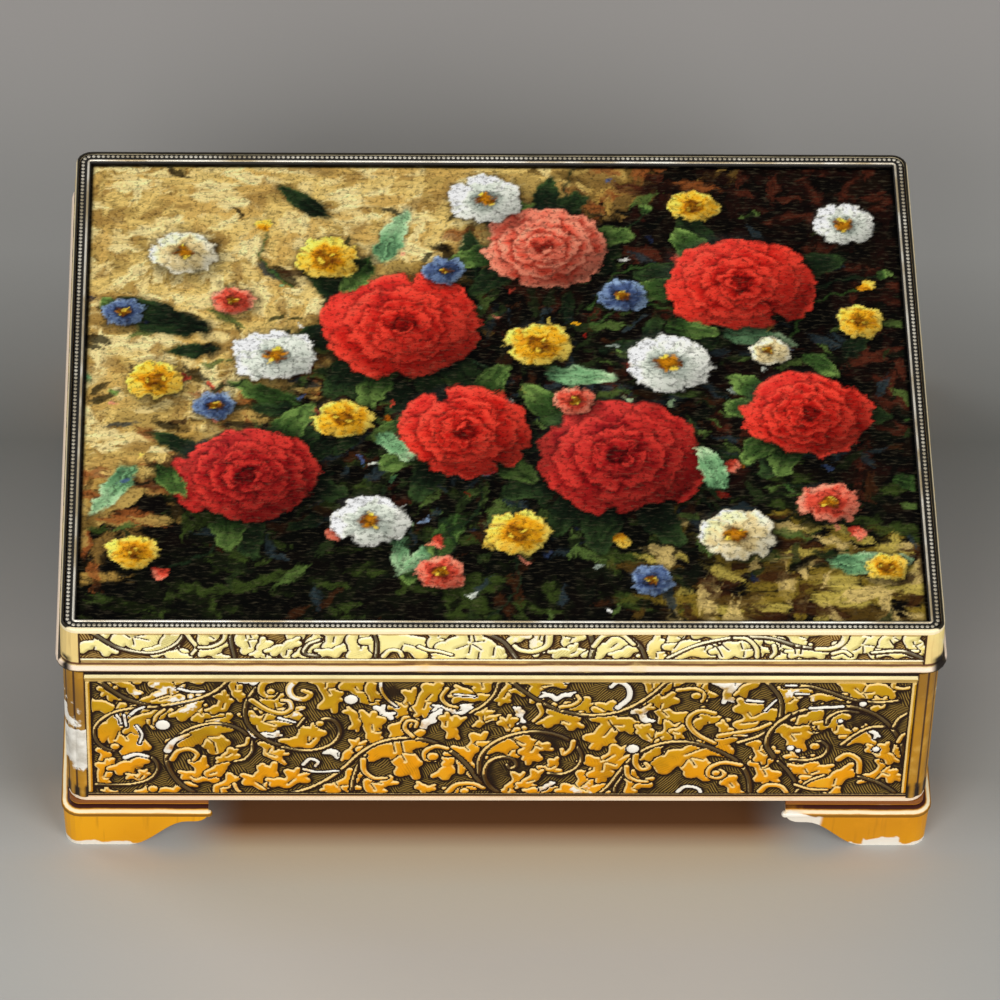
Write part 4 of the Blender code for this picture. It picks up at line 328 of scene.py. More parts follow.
wood_along_x = board_material("poplar_along_x", (24, 420, 420))
wood_along_y = board_material("poplar_along_y", (420, 24, 420))
dress(wood_along_x, "front_board", "rear_board", "floor_board", "lid_board")
dress(wood_along_x, "lid_front_rail", "lid_rear_rail")
dress(wood_along_y, "left_board", "right_board", "lid_left_rail", "lid_right_rail")


# Case cladding: one band of tin stamped with acanthus scrolls on all four sides, bent round the boards.
# Gilt lacquer covers it. Brown wash lies in the hollows, and the crests are rubbed pale. Each form has a
# painted highlight on its lit side and painted shade on its other side and on the ground beside it.

OUTLINE_MM = 0.5
TOOTH_TURN = 0.6
TOOTH_ROOT = 4  # Of the nine points along a lobe


def smooth_line(points, steps=8):
    """A smooth curve through the points, as an array (Catmull-Rom)."""
    nodes_on_line = np.array(points, float)
    if len(nodes_on_line) < 3:
        shares = np.linspace(0, 1, steps + 1)[:, None]
        return nodes_on_line[0] * (1 - shares) + nodes_on_line[-1] * shares
    ends = (2 * nodes_on_line[0] - nodes_on_line[1], 2 * nodes_on_line[-1] - nodes_on_line[-2])
    held = np.vstack([ends[0], nodes_on_line, ends[1]])
    shares = np.linspace(0, 1, steps, endpoint=False)[:, None]
    spans = []
    for before, start, end, after in zip(held, held[1:], held[2:], held[3:]):
        spans.append(
            0.5
            * (
                2 * start
                + (end - before) * shares
                + (2 * before - 5 * start + 4 * end - after) * shares**2
                + (3 * start - before - 3 * end + after) * shares**3
            )
        )
    return np.vstack([*spans, nodes_on_line[-1:]])


class Stamping:
    """A pressed sheet as a grid in millimetres. At each point it keeps how far inside the topmost form the
    point lies, how high it is pressed, and how worn the gilding is there."""

    def __init__(self, left, right, low, high, step):
        columns, rows = round((right - left) / step) + 1, round((high - low) / step) + 1
        self.left, self.low = left, low
        self.step = ((right - left) / (columns - 1), (high - low) / (rows - 1))
        self.across, self.up = np.meshgrid(np.linspace(left, right, columns), np.linspace(low, high, rows))
        self.edge = np.full((rows, columns), -3.0)
        self.height = np.zeros((rows, columns))
        self.worn = np.zeros((rows, columns))

    def near(self, points, reach):
        """The rows and columns of the grid that lie within reach of some points."""
        (x0, y0), (x1, y1) = points.min(0) - reach, points.max(0) + reach
        rows, columns = self.edge.shape
        wide, high = self.step
        first = max(0, int((x0 - self.left) / wide)), max(0, int((y0 - self.low) / high))
        last = min(columns, int((x1 - self.left) / wide) + 2), min(rows, int((y1 - self.low) / high) + 2)
        return slice(first[1], max(last[1], first[1])), slice(first[0], max(last[0], first[0]))

    def inside(self, window, points, radii):
        """How deep each point of the window lies in a form swept by a disc of changing size along a line."""
        x, y = self.across[window], self.up[window]
        deepest = radii[0] - np.hypot(x - points[0][0], y - points[0][1])
        for start, end, first, last in zip(points, points[1:], radii, radii[1:]):
            span = end - start
            share = ((x - start[0]) * span[0] + (y - start[1]) * span[1]) / (span @ span + 1e-9)
            share = np.clip(share, 0, 1)
            away = np.hypot(x - start[0] - share * span[0], y - start[1] - share * span[1])
            np.maximum(deepest, first + share * (last - first) - away, out=deepest)
        return deepest

    def press(self, forms, lift, worn):
        """Presses a form made of swept lines over what is there, with a flat outline round it."""
        window = self.near(np.vstack([line for line, _ in forms]), max(max(r) for _, r in forms) + 1.6)
        if self.edge[window].size == 0:
            return
        depth = np.full(self.edge[window].shape, -9.0)
        for line, radii in forms:
            np.maximum(depth, self.inside(window, line, radii), out=depth)
        covered = depth > -OUTLINE_MM
        held = self.edge[window]
        beside = np.where(held < -OUTLINE_MM, np.maximum(held, depth), held)
        self.edge[window] = np.where(covered, depth, beside)
        crown = np.clip(depth / 0.9, 0, 1)
        raised = lift * (0.45 + 0.55 * np.sin(crown * math.pi / 2))
        self.height[window] = np.where(covered, np.where(depth > 0, raised, 0.0), self.height[window])
        self.worn[window] = np.where(covered, worn, self.worn[window])

    def stem(self, points, start, end, lift, worn=0.0):
        """A round line through the points that goes from one radius to another."""
        line = smooth_line(points)
        self.press([(line, np.linspace(start, end, len(line)))], lift, worn)

    def leaf(self, base, width, tips, lift, worn):
        """Bent lobes that spread from one body, a blunt tooth on each, with cut folds between them."""
        base = np.array(base, float)
        shares = np.linspace(0, 1, 9)
        forms = [(np.array([base, base + 0.01]), np.array([0.8 * width, 0.8 * width]))]
        ways = []
        for number, tip in enumerate(tips):
            side = 1 if number % 2 else -1
            along = (np.array(tip, float) - base) * 1.2
            reach = math.hypot(*along)
            ways.append((math.atan2(along[1], along[0]), reach))
            across = np.array([-along[1], along[0]]) * (0.32 * side)
            line = base + np.outer(shares, along) + np.outer(np.sin(shares * math.pi), across)
            swelling = (1 - shares) ** 0.5 * (0.72 + 0.85 * shares)
            radii = np.maximum(1.08 * min(width, 0.5 * reach) * swelling, 0.2)
            forms.append((line, radii))
            cosine, sine = math.cos(side * TOOTH_TURN), math.sin(side * TOOTH_TURN)
            way = np.array([along[0] * cosine - along[1] * sine, along[0] * sine + along[1] * cosine])
            root, thick = line[TOOTH_ROOT], radii[TOOTH_ROOT]
            tooth = way / reach * (1.1 * thick + 0.12 * reach)
            curve = root + np.outer(shares[::2], tooth) + np.outer(shares[::2] ** 2, 0.16 * along)
            forms.append((curve, thick * np.linspace(0.7, 0.4, 5)))
        self.press(forms, lift, worn)
        ways.sort()
        for (start, first), (end, second) in zip(ways, ways[1:]):
            if 0.35 < end - start < 2.2:
                reach = 0.55 * min(first, second)
                middle = (start + end) / 2
                fold = [
                    base + share * reach * np.array([math.cos(middle + turn), math.sin(middle + turn)])
                    for share, turn in ((0.2, 0.25), (0.65, 0.06), (1.0, 0.0))
                ]
                self.slit(fold, 0.2)

    def berry(self, place, radius, lift, worn):
        self.press([(np.array([place], float), np.array([radius]))], lift, worn)

    def slit(self, points, width=0.22):
        """A narrow cut line through a form."""
        line = smooth_line(points, 5)
        window = self.near(line, width + 1.2)
        depth = self.inside(window, line, np.full(len(line), width))
        self.edge[window] = np.minimum(self.edge[window], -depth)
        self.height[window] = np.where(depth > 0, self.height[window] * 0.4, self.height[window])

    def light(self):
        """How far the nearest edge of a form faces the upper left, from -1 to 1, for painted highlight and shade.
        """
        up, across = np.gradient(self.edge)
        up, across = (
            sum(np.roll(field, step, axis) for step in (-1, 0, 1) for axis in (0, 1))
            for field in (up, across)
        )
        return (0.6 * across - 0.8 * up) / (np.hypot(up, across) + 0.0001)


# Rows: start radius, end radius, worn, points along the stem
FRONT_STEMS = [
    (0.55, 0.5, 0, [(-92.5, 58), (-89, 54), (-85, 50.5), (-79, 48.4), (-73, 49.6), (-68, 51.5),
        (-64.3, 54.5), (-62, 58)]),
    (0.5, 0.35, 0, [(-78.5, 48), (-83, 47.6), (-88, 46.3), (-91.6, 43.3), (-93.2, 39.5), (-92.6, 35.8),
        (-90.8, 33.3), (-88.6, 32.6), (-87.4, 33.9), (-88.4, 35)]),
    (0.4, 0.4, 0, [(-93.5, 20.4), (-89, 20.2), (-84.5, 20.6), (-80.6, 22.4), (-78.8, 26), (-79.6, 29.4),
        (-82, 31), (-85.4, 30.6)]),
    (0.55, 0.4, 0, [(-69.5, 16.5), (-73.5, 20.5), (-75.8, 25), (-76.7, 30), (-75.3, 35.5), (-71.5, 40),
        (-66, 42.2), (-61, 41), (-57.8, 37.5), (-56.9, 33), (-58.6, 29.6), (-61, 28.7)]),
    (0.5, 0.45, 0, [(-52.5, 58.5), (-56.3, 54), (-58.4, 48.5), (-58.2, 43), (-56, 38.7), (-52.6, 35.6),
        (-49, 34)]),
    (0.4, 0.6, 0, [(-50, 33.8), (-45, 32.6), (-40.5, 33.6), (-37.6, 36.4), (-36.8, 40), (-38.2, 43.3),
        (-40.6, 43.8), (-41, 42)]),
    (0.5, 0.55, 0, [(-57, 16.4), (-50, 16.8), (-44, 19), (-39, 22.8), (-35.3, 27.2), (-32, 31.8),
        (-27.5, 35.6), (-21.5, 37.2), (-15.5, 35.8), (-10.5, 31.8), (-7, 27), (-4.6, 22), (-1.5, 18.5),
        (1.5, 16.2)]),
    (0.45, 0.4, 0, [(-34, 18.5), (-33.6, 22.5), (-32.6, 27), (-30.8, 31)]),
    (0.6, 0.4, 0, [(-4.4, 24.5), (-4.5, 29.5), (-2.6, 34), (1.5, 37.6), (7, 39.4), (12.5, 38.6),
        (16.8, 35.6), (19, 31), (18.2, 27), (15, 24.4), (11.5, 24.6)]),
    (0.6, 0.4, 0, [(0.5, 17), (-2.3, 20.5), (-3.3, 24.5), (-2.3, 28.5), (0.4, 30.4), (3.2, 29.6), (4, 27.3),
        (2.6, 26.3), (1.9, 27.6)]),
    (0.4, 0.5, 0, [(-7, 46), (-3.6, 49.2), (-1.4, 53), (-0.4, 58)]),
    (0.45, 0.55, 0, [(1.2, 58.4), (4, 55), (8, 51), (12.5, 47.6), (18, 45.6), (23.5, 45.5), (28.3, 47.2),
        (32.4, 50.4), (35.8, 54.4), (38.4, 58.4)]),
    (0.5, 0.55, 0, [(22.6, 16.3), (25.6, 20), (28, 25), (31, 30.4), (35.4, 34.4), (41, 36), (47, 34.7),
        (52, 31.8), (55.6, 28.4), (57.8, 23.8), (58.6, 18.5), (58.4, 16)]),
    (0.4, 0.3, 0, [(27.2, 16.2), (27.2, 19.6), (28.6, 23.2)]),
    (0.5, 0.5, 0, [(55, 35.6), (60, 38.2), (63.4, 42), (64.4, 46.8), (63.8, 51.5), (61.6, 55.5),
        (59.4, 58.4)]),
    (0.6, 0.45, 0, [(63.5, 30.5), (61.6, 35), (62.4, 40), (65.4, 44.4), (70.5, 47.6), (76.5, 48.8),
        (82.5, 47.8), (87.5, 44.4), (91, 39.4), (93.2, 33.5), (94, 27)]),
    (0.45, 0.35, 0, [(75, 42.4), (75.6, 45), (78.6, 46.9), (82.2, 46.4)]),
    (0.5, 0.35, 0, [(67.5, 29.6), (71.4, 29.4), (74.8, 31), (75.8, 34), (74, 36.2), (72.2, 35)]),
    (0.55, 0.45, 0, [(79, 35), (81.8, 38.4), (85, 41), (88.4, 41.4)]),
    (0.45, 0.4, 0, [(64.6, 55.4), (70, 55.6), (75, 53.6), (80, 51.2), (86, 50), (91, 50.6)]),
    (0.45, 0.45, 0, [(83.6, 23.6), (88, 21.6), (91.4, 18.8), (93.4, 16.4)]),
    (0.4, 0.45, 0, [(64.6, 29), (67, 25.6), (69, 21.6), (70, 17.4)]),
    (0.5, 0.3, 0, [(75.6, 24), (72, 21.8), (69.4, 18), (69.2, 16)]),
    (0.5, 0.4, 0, [(90.6, 41.4), (91.8, 44.6), (94.4, 46.8)]),
    (0.4, 0.35, 0, [(-45, 44), (-46.5, 41)]),
]

# Rows: body centre, body radius, worn, lobe tips
FRONT_LEAVES = [
    ((-88, 57), 1.5, 0, [(-86.2, 51.6), (-91.5, 55)]),
    ((-75.5, 51.8), 2.1, 0, [(-79.6, 55.2), (-82.2, 50.8), (-78.5, 49), (-73, 55), (-69.5, 52.4)]),
    ((-69, 57), 1.3, 0, [(-73.4, 56), (-64.6, 57.2)]),
    ((-91.2, 48.6), 2.0, 0, [(-83.8, 48.8), (-94.2, 51), (-94.2, 45.8)]),
    ((-87.6, 40.4), 2.7, 0, [(-91.4, 36), (-86, 34.2), (-82.6, 34.6), (-84.4, 44.6)]),
    ((-81.5, 44), 1.9, 0, [(-78.8, 47.6), (-79.6, 41), (-82.6, 39.6)]),
    ((-90.6, 30.6), 1.5, 0, [(-88.4, 26.6), (-93, 27.4), (-92.4, 32.4)]),
    ((-91.4, 23), 1.7, 0, [(-92.8, 27), (-87.8, 26.2), (-90, 21)]),
    ((-84, 26.8), 2.1, 0, [(-87, 24.6), (-81.4, 28.4), (-82, 24.6)]),
    ((-83, 22.2), 0.9, 0, [(-83.2, 25), (-80.9, 23.8), (-85.6, 22.4)]),
    ((-88.5, 17.4), 0.8, 0, [(-86, 16.4), (-90.4, 19.2)]),
    ((-83.5, 17.4), 1.2, 0, [(-81.6, 19.4), (-85.2, 16.4)]),
    ((-75, 17.9), 0.9, 0, [(-78.6, 16.6), (-70.6, 19.4)]),
    ((-69.6, 22.6), 1.8, 0, [(-71.4, 28), (-66, 21.5), (-72.5, 22.6)]),
    ((-66.8, 24.4), 1.6, 0, [(-65.4, 28.8), (-64.8, 23.6)]),
    ((-64.8, 19.4), 1.5, 0, [(-63, 23.8), (-66.4, 16.6), (-62.4, 17.2)]),
    ((-67.8, 37.6), 2.9, 0, [(-71.6, 34), (-66.4, 32.8), (-63.4, 36), (-62.4, 40)]),
    ((-63, 30.6), 1.3, 0, [(-62.4, 33), (-64.8, 30), (-60.6, 31)]),
    ((-69.6, 46.6), 1.9, 0, [(-72.4, 43.8), (-68.6, 50), (-66, 47.6), (-70.4, 44)]),
    ((-63.6, 47.6), 1.4, 0, [(-65.6, 51.6), (-61.6, 49.8), (-65.4, 46)]),
    ((-60.4, 54), 1.5, 0, [(-62, 56), (-59, 57), (-58.8, 52.2)]),
    ((-57.4, 57.2), 0.9, 1, [(-55.6, 56.8), (-59, 57.8)]),
    ((-40, 54.6), 2.0, 0, [(-43.4, 57), (-41.6, 48.8), (-37, 53.4), (-36.4, 57.4)]),
    ((-51.4, 47.4), 1.5, 0, [(-55, 49), (-49, 49.8), (-54, 46)]),
    ((-54.6, 43), 1.7, 0, [(-50.2, 45), (-46.2, 42.8), (-51, 40), (-56.8, 46)]),
    ((-53.8, 38.4), 1.2, 1, [(-51.2, 36), (-57, 39.8), (-51.4, 39.4)]),
    ((-53.4, 31.6), 1.3, 0, [(-55.2, 34.6), (-52.2, 27.8), (-50.6, 33)]),
    ((-44, 35), 1.9, 0, [(-45.6, 39.6), (-40.6, 38.2), (-48, 33.6), (-43, 39)]),
    ((-37, 30.4), 1.4, 1, [(-40, 31.4), (-34.4, 29), (-35.2, 32)]),
    ((-54.4, 20), 2.0, 0, [(-55.6, 26), (-52, 24.6), (-58.2, 20.6)]),
    ((-49, 20.4), 1.6, 0, [(-49.4, 24.8), (-44.6, 21.2), (-52, 20)]),
    ((-37, 20), 1.9, 0, [(-35.2, 25.2), (-39.6, 20.4), (-37, 16.6), (-34.6, 18)]),
    ((-32.4, 53.6), 2.0, 0, [(-36, 54.6), (-31.6, 56.6), (-28.2, 52)]),
    ((-29.4, 57), 1.3, 0, [(-27, 52.4), (-24.6, 57.8), (-33, 58)]),
    ((-21.6, 48.6), 1.5, 0, [(-22.6, 53), (-24.2, 49.6), (-21.6, 45.6)]),
    ((-17.4, 50.2), 2.2, 0, [(-17.8, 55), (-13.6, 52.4), (-15, 47), (-20, 48)]),
    ((-10.6, 46.4), 1.2, 1, [(-15, 46.2), (-6.6, 47), (-8.4, 48)]),
    ((-15.6, 43.4), 1.6, 1, [(-17, 40.2), (-13.2, 45)]),
    ((-28.6, 44.2), 1.6, 1, [(-29, 47.6), (-25.4, 43.8), (-30.6, 42.4)]),
    ((-29, 39.4), 2.2, 0, [(-33, 42.6), (-27, 43), (-27, 36.6)]),
    ((-24.4, 40.8), 1.7, 0, [(-22.2, 44.2), (-25, 37.6)]),
    ((-12.4, 41.4), 1.4, 0, [(-10.8, 44.6), (-12.2, 37.8), (-13.8, 44)]),
    ((-34, 32.6), 1.1, 0, [(-34.6, 35.8), (-30.8, 33.6), (-34.2, 29.8)]),
    ((-23, 32), 2.7, 0, [(-28.8, 29.6), (-23.6, 25.4), (-19, 29), (-17.8, 34.6)]),
    ((-30, 21.4), 1.6, 0, [(-25.8, 23.4), (-29.6, 16.8), (-26.4, 18.6)]),
    ((-9.6, 26.4), 1.9, 0, [(-12.4, 27.4), (-9.2, 29.4), (-11.8, 23), (-6.4, 23.6)]),
    ((-6.8, 32.8), 1.9, 0, [(-6.8, 37.8), (-10.2, 33.8), (-5.2, 27)]),
    ((-3.8, 34.8), 0.8, 0, [(-1.8, 36.4), (-5, 31)]),
    ((-16.8, 18), 1.3, 0, [(-18.8, 19.2), (-15, 18.6), (-16.2, 16)]),
    ((-8.6, 18), 1.3, 0, [(-11.2, 17.4), (-5.4, 18.8)]),
    ((-3.8, 43), 1.0, 0, [(-6.2, 45.6), (-1.8, 46), (-4.6, 41.4), (-0.6, 43.2)]),
    ((-4, 54.6), 1.9, 0, [(-8, 56.4), (-1.6, 57.8), (-5, 51)]),
    ((-6.6, 51), 1.3, 0, [(-10.8, 52.6), (-3.6, 50.2), (-10.2, 49.8)]),
    ((1.2, 54), 1.3, 0, [(2, 50.6), (-1.4, 51.4), (0.8, 57.4), (4.6, 52.2)]),
    ((4.8, 46.3), 1.3, 1, [(5.6, 43.4), (4.4, 47.8)]),
    ((8.6, 55.6), 1.7, 0, [(4.8, 56.6), (13.6, 55), (9.6, 51.8), (12.4, 57.6)]),
    ((15, 57), 0.9, 1, [(10.5, 57.8), (19.6, 57.8)]),
    ((12.6, 50.8), 0.9, 1, [(9.4, 51.4), (16.8, 51)]),
    ((20.4, 47.4), 1.8, 0, [(16.6, 46.8), (20, 50.8), (24.8, 50), (24, 46.4)]),
    ((13.8, 43.8), 1.8, 0, [(11.2, 46.2), (17.2, 43.6), (11.4, 41.6), (15.8, 40.8)]),
    ((25.6, 42), 2.3, 0, [(21.6, 43.8), (20.2, 38.4), (26.6, 35.8), (30, 39.4), (29, 43.8)]),
    ((2.3, 40.4), 1.3, 0, [(-0.2, 42), (3.8, 43.4), (5.2, 41)]),
    ((2.6, 33.2), 2.2, 0, [(-2.4, 32), (5.6, 36.8), (4.2, 31.2)]),
    ((8, 35), 1.9, 0, [(10.8, 35.2), (6.2, 38), (9.6, 30.4), (5.2, 32.8)]),
    ((11.8, 26.6), 1.5, 0, [(11.6, 29), (9.6, 27), (14, 25.8)]),
    ((2.5, 19.5), 1.3, 0, [(2.8, 24.2), (0.8, 18.4), (4.2, 17.4)]),
    ((6.5, 21.6), 1.3, 0, [(7.4, 25.4), (4.6, 21), (8.8, 20)]),
    ((9.8, 18), 1.2, 0, [(7.4, 17), (14, 17)]),
    ((11.2, 20.2), 0.8, 1, [(12, 21.4), (9.8, 19.6)]),
    ((19, 19.4), 2.1, 0, [(18.4, 24.2), (15.8, 20.4), (24, 20.6), (20, 16.8)]),
    ((24, 29), 1.9, 0, [(25.6, 34), (21, 30.6), (29.4, 30.8), (21, 24.8), (26.6, 25)]),
    ((34.6, 54.6), 1.9, 0, [(31.4, 57.6), (33, 50), (36.8, 57.6)]),
    ((46, 57.2), 1.4, 0, [(40.6, 55.8), (51, 57.8), (49, 53)]),
    ((53.4, 55.6), 1.9, 1, [(53.9, 51), (50.8, 58), (56, 58)]),
    ((57.6, 56), 1.3, 0, [(56.2, 52.4), (60, 57.6)]),
    ((36.6, 47.4), 1.9, 0, [(34.2, 50), (40, 49.8), (42.2, 46.4), (36.6, 43.4)]),
    ((32.6, 45.8), 1.2, 1, [(30.4, 46), (35, 47.4), (35, 43.8)]),
    ((35.6, 36.8), 1.5, 0, [(32, 38.8), (34.6, 41.4), (37.4, 42.6), (38.8, 36.8)]),
    ((47.4, 43.6), 1.5, 0, [(45.4, 45.8), (50.4, 42), (46, 41)]),
    ((51.4, 39.8), 1.2, 0, [(50, 41.8), (54.2, 37.4)]),
    ((58, 44.8), 2.3, 0, [(54.4, 47), (62.8, 43.6), (57.2, 48.2), (54.6, 42.8)]),
    ((43.6, 30.6), 3.2, 0, [(39.2, 25.8), (43.8, 25), (48.4, 27.8), (52, 31.2)]),
    ((36.2, 32), 1.3, 0, [(35, 29.6), (37.8, 34.6)]),
    ((54.8, 20), 1.6, 0, [(52.2, 20.8), (55, 23), (57.4, 17.4)]),
    ((31, 19.4), 1.7, 0, [(29, 23), (34.8, 19.8), (33, 16.6)]),
    ((61, 26.4), 1.9, 0, [(58.4, 27.8), (62.8, 29), (64.6, 25), (59.8, 23)]),
    ((60, 33), 1.5, 0, [(57.4, 35), (59.2, 30), (62.6, 34)]),
    ((66.6, 39), 2.2, 0, [(63.4, 39.8), (66.8, 34.8), (70.2, 42), (70, 37.6)]),
    ((71, 44), 2.0, 0, [(71, 47.6), (72.6, 41), (68.8, 42.6)]),
    ((77.4, 42.2), 1.6, 0, [(74.4, 40.8), (79.8, 44.4), (81, 40)]),
    ((68.6, 27.4), 1.2, 0, [(66.2, 30.2), (72.6, 28.4), (69, 25.4)]),
    ((72, 24.6), 1.7, 0, [(68.2, 24.8), (73.6, 27.6), (71.4, 21.8), (76, 24.6)]),
    ((78, 20.4), 2.1, 0, [(72.4, 19.6), (82.8, 23.8), (80.2, 16.6), (75, 23)]),
    ((85.2, 36.4), 1.7, 0, [(80.6, 35), (84.6, 39.8), (89.6, 34)]),
    ((85.4, 39.8), 0.8, 1, [(83.6, 41), (86.2, 37.6)]),
    ((88.6, 25.4), 1.5, 0, [(87.4, 29), (84.2, 24.6), (91.6, 26), (90.4, 22)]),
    ((67, 51.8), 1.9, 0, [(64.4, 51), (70.2, 52.8), (67.6, 48), (66, 54.6)]),
    ((82.6, 53.4), 2.2, 0, [(79.2, 55), (80.6, 57.8), (85.6, 55.6), (88.4, 51.4), (82, 50.8)]),
    ((87.3, 48.6), 1.0, 0, [(85.2, 50.2), (88.8, 50.2), (86, 46)]),
    ((92.4, 31), 0.9, 0, [(90.6, 28.6), (93.2, 34)]),
    ((88, 31.6), 1.4, 0, [(85.2, 32.6), (89.8, 28.6), (87.6, 34.4)]),
    ((-33.6, 44), 1.1, 0, [(-35.8, 46), (-34.6, 41)]),
    ((39.6, 39.8), 1.0, 0, [(41.6, 41.6), (40.4, 37.4)]),
    ((74.6, 51.4), 1.2, 0, [(71.8, 50.6), (77.8, 50.8)]),
    ((-84.6, 55.6), 1.1, 0, [(-82.2, 53.4), (-86.6, 57.8)]),
]

# Rows: start radius, end radius, worn, points of a curled leaf edge
FRONT_CURLS = [
    (0.5, 0.35, 1, [(-73.6, 54.4), (-70.8, 53.4), (-67.8, 53.4)]),
    (0.4, 0.3, 1, [(-87.9, 45), (-87.2, 43.6), (-86.9, 42)]),
    (0.4, 0.3, 1, [(-86.2, 45.2), (-86, 43), (-85.8, 41.2)]),
    (0.5, 0.4, 1, [(-84.6, 45.4), (-83.2, 47), (-81.6, 47.9)]),
    (0.4, 0.5, 0, [(-77, 47), (-78.9, 44.6), (-79.2, 42)]),
    (0.35, 0.3, 1, [(-83.4, 41.4), (-82.2, 38.4), (-82.8, 35.2)]),
    (0.8, 0.5, 1, [(-86.2, 30), (-83.6, 31.2), (-81, 30.4)]),
    (1.2, 0.6, 1, [(-76.4, 32.6), (-75, 35.8), (-71.6, 38.2)]),
    (0.7, 0.5, 0, [(-75.4, 29.4), (-74, 32.2), (-71.4, 33), (-69.6, 31.2), (-70.4, 29.2)]),
    (0.45, 0.35, 0, [(-57.9, 37), (-58.4, 34.8), (-60.4, 34)]),
    (0.45, 0.35, 0, [(-61.2, 20.6), (-60.2, 18), (-57.8, 16.4)]),
    (0.9, 0.6, 0, [(-50.6, 58), (-54, 56.6), (-54.8, 53.4), (-52.8, 51.6), (-51.6, 53)]),
    (0.9, 0.6, 0, [(-46.6, 58), (-48.4, 54.6), (-47.6, 51.6), (-44.9, 50.8), (-43.6, 52.6), (-45.2, 53.8)]),
    (0.7, 0.5, 0, [(-57, 50.4), (-53.4, 47), (-50, 45.8), (-48, 47.4), (-48.4, 50), (-50, 50.4)]),
    (0.5, 0.3, 1, [(-50.8, 44.2), (-47, 42.6)]),
    (0.55, 0.4, 1, [(-45.2, 27.6), (-43.6, 29.6), (-41.8, 28.6), (-42.4, 27)]),
    (0.5, 0.3, 1, [(-45, 25.9), (-42, 25), (-37, 25.4)]),
    (0.45, 0.35, 1, [(-27.6, 57.6), (-27.4, 54), (-26, 50.8), (-23.8, 48.2)]),
    (0.5, 0.4, 0, [(-12.4, 54.6), (-13.6, 51.6), (-12.2, 48.9), (-10, 48)]),
    (0.5, 0.4, 0, [(-20, 37.6), (-21.9, 40.6), (-21.2, 43.2), (-19.2, 42.8), (-19.4, 41)]),
    (0.7, 0.4, 0, [(-31.4, 29.4), (-31.1, 25.4), (-28.8, 22.8), (-26, 22.8)]),
    (0.5, 0.8, 0, [(-12, 33.4), (-14.6, 34.2), (-17, 32.4), (-16.8, 29.8), (-15, 29.4)]),
    (0.8, 0.5, 0, [(-11.6, 17.6), (-9.6, 20.4), (-6, 20.8), (-3.4, 19.2)]),
    (0.4, 0.3, 1, [(-10.6, 52.6), (-6, 52)]),
    (0.6, 0.4, 0, [(8.7, 49), (9.4, 46), (7.6, 43.2)]),
    (0.6, 0.4, 0, [(13.8, 48.2), (16.4, 48.8), (18, 50.6), (17.4, 52.2)]),
    (0.6, 0.9, 1, [(25, 55.3), (26.8, 57), (29, 55), (29.2, 51.4), (26.8, 48)]),
    (0.6, 0.5, 0, [(17, 36), (16.6, 33.4), (15, 31.4), (14.4, 33.2)]),
    (0.6, 0.4, 0, [(40.4, 54.2), (44.4, 54.6), (46.4, 52.6), (46, 50.2)]),
    (0.7, 0.55, 0, [(49, 46), (46, 46.9), (43.6, 45), (43.4, 42), (45.6, 38.4), (49.6, 35.4)]),
    (0.8, 0.5, 0, [(50.6, 38), (55, 39.2), (59, 40.4), (62, 42.4)]),
    (0.4, 0.3, 1, [(54, 38.2), (57, 38.1)]),
    (0.5, 0.4, 1, [(56.4, 50.6), (60, 50.2)]),
    (0.35, 0.3, 1, [(60.6, 47), (63, 50.8)]),
    (0.7, 0.5, 0, [(31.6, 31.4), (31.6, 28.2), (33, 26), (34.8, 26.6), (34, 28.2)]),
    (0.6, 0.4, 0, [(29.6, 27), (30, 23.8), (32, 22), (34.6, 21.6)]),
    (0.6, 0.5, 0, [(56, 27.6), (52, 28.5), (49, 26.6), (48.8, 24), (51, 23), (52.4, 24.4), (51.2, 25.8)]),
    (0.6, 0.5, 1, [(41.8, 18), (43.6, 19.9), (46.4, 19.2), (47.4, 17)]),
    (0.8, 0.5, 0, [(61, 18.2), (62.6, 20.3), (65.6, 20), (67.6, 17)]),
    (0.55, 0.5, 1, [(71, 47.9), (78.4, 48.5)]),
    (0.8, 0.6, 0, [(78.6, 29.8), (80.6, 31.5), (83.2, 29.4), (83.6, 25)]),
    (0.4, 0.3, 1, [(67.4, 53), (70.4, 52.9)]),
    (0.4, 0.35, 1, [(60.8, 57.8), (65, 57.7)]),
    (0.35, 0.3, 1, [(65, 55.9), (67.4, 55.8)]),
    (0.6, 0.4, 0, [(90, 58), (89.6, 55.6), (92, 54.8), (95, 56)]),
    (0.5, 0.4, 0, [(92, 36), (92.9, 38.4), (94.4, 39.2)]),
    (0.35, 0.3, 0, [(69, 20.6), (72.6, 19), (76.6, 18.8)]),
]

# Rows: centre, radius, worn
FRONT_BERRIES = [
    ((-83, 57), 1.1, 0), ((-77.4, 41.6), 1.6, 1), ((-88.5, 34), 1.0, 0), ((-80, 18.8), 1.1, 0),
    ((-34.3, 50.7), 1.5, 1), ((-15.3, 30.6), 1.3, 0), ((-7.8, 18.2), 1.0, 0), ((44.6, 52.2), 1.1, 0),
    ((72.8, 34.4), 1.1, 0), ((78.2, 43.4), 0.6, 1), ((67.2, 33.8), 0.8, 1), ((69, 32.8), 0.6, 1),
    ((83, 49.4), 0.8, 1), ((-52.6, 53.4), 0.9, 0), ((87, 33.4), 0.8, 1), ((30.8, 33.4), 1.4, 1),
    ((-41.4, 42.2), 0.9, 0), ((50.4, 24.8), 0.9, 0),
]

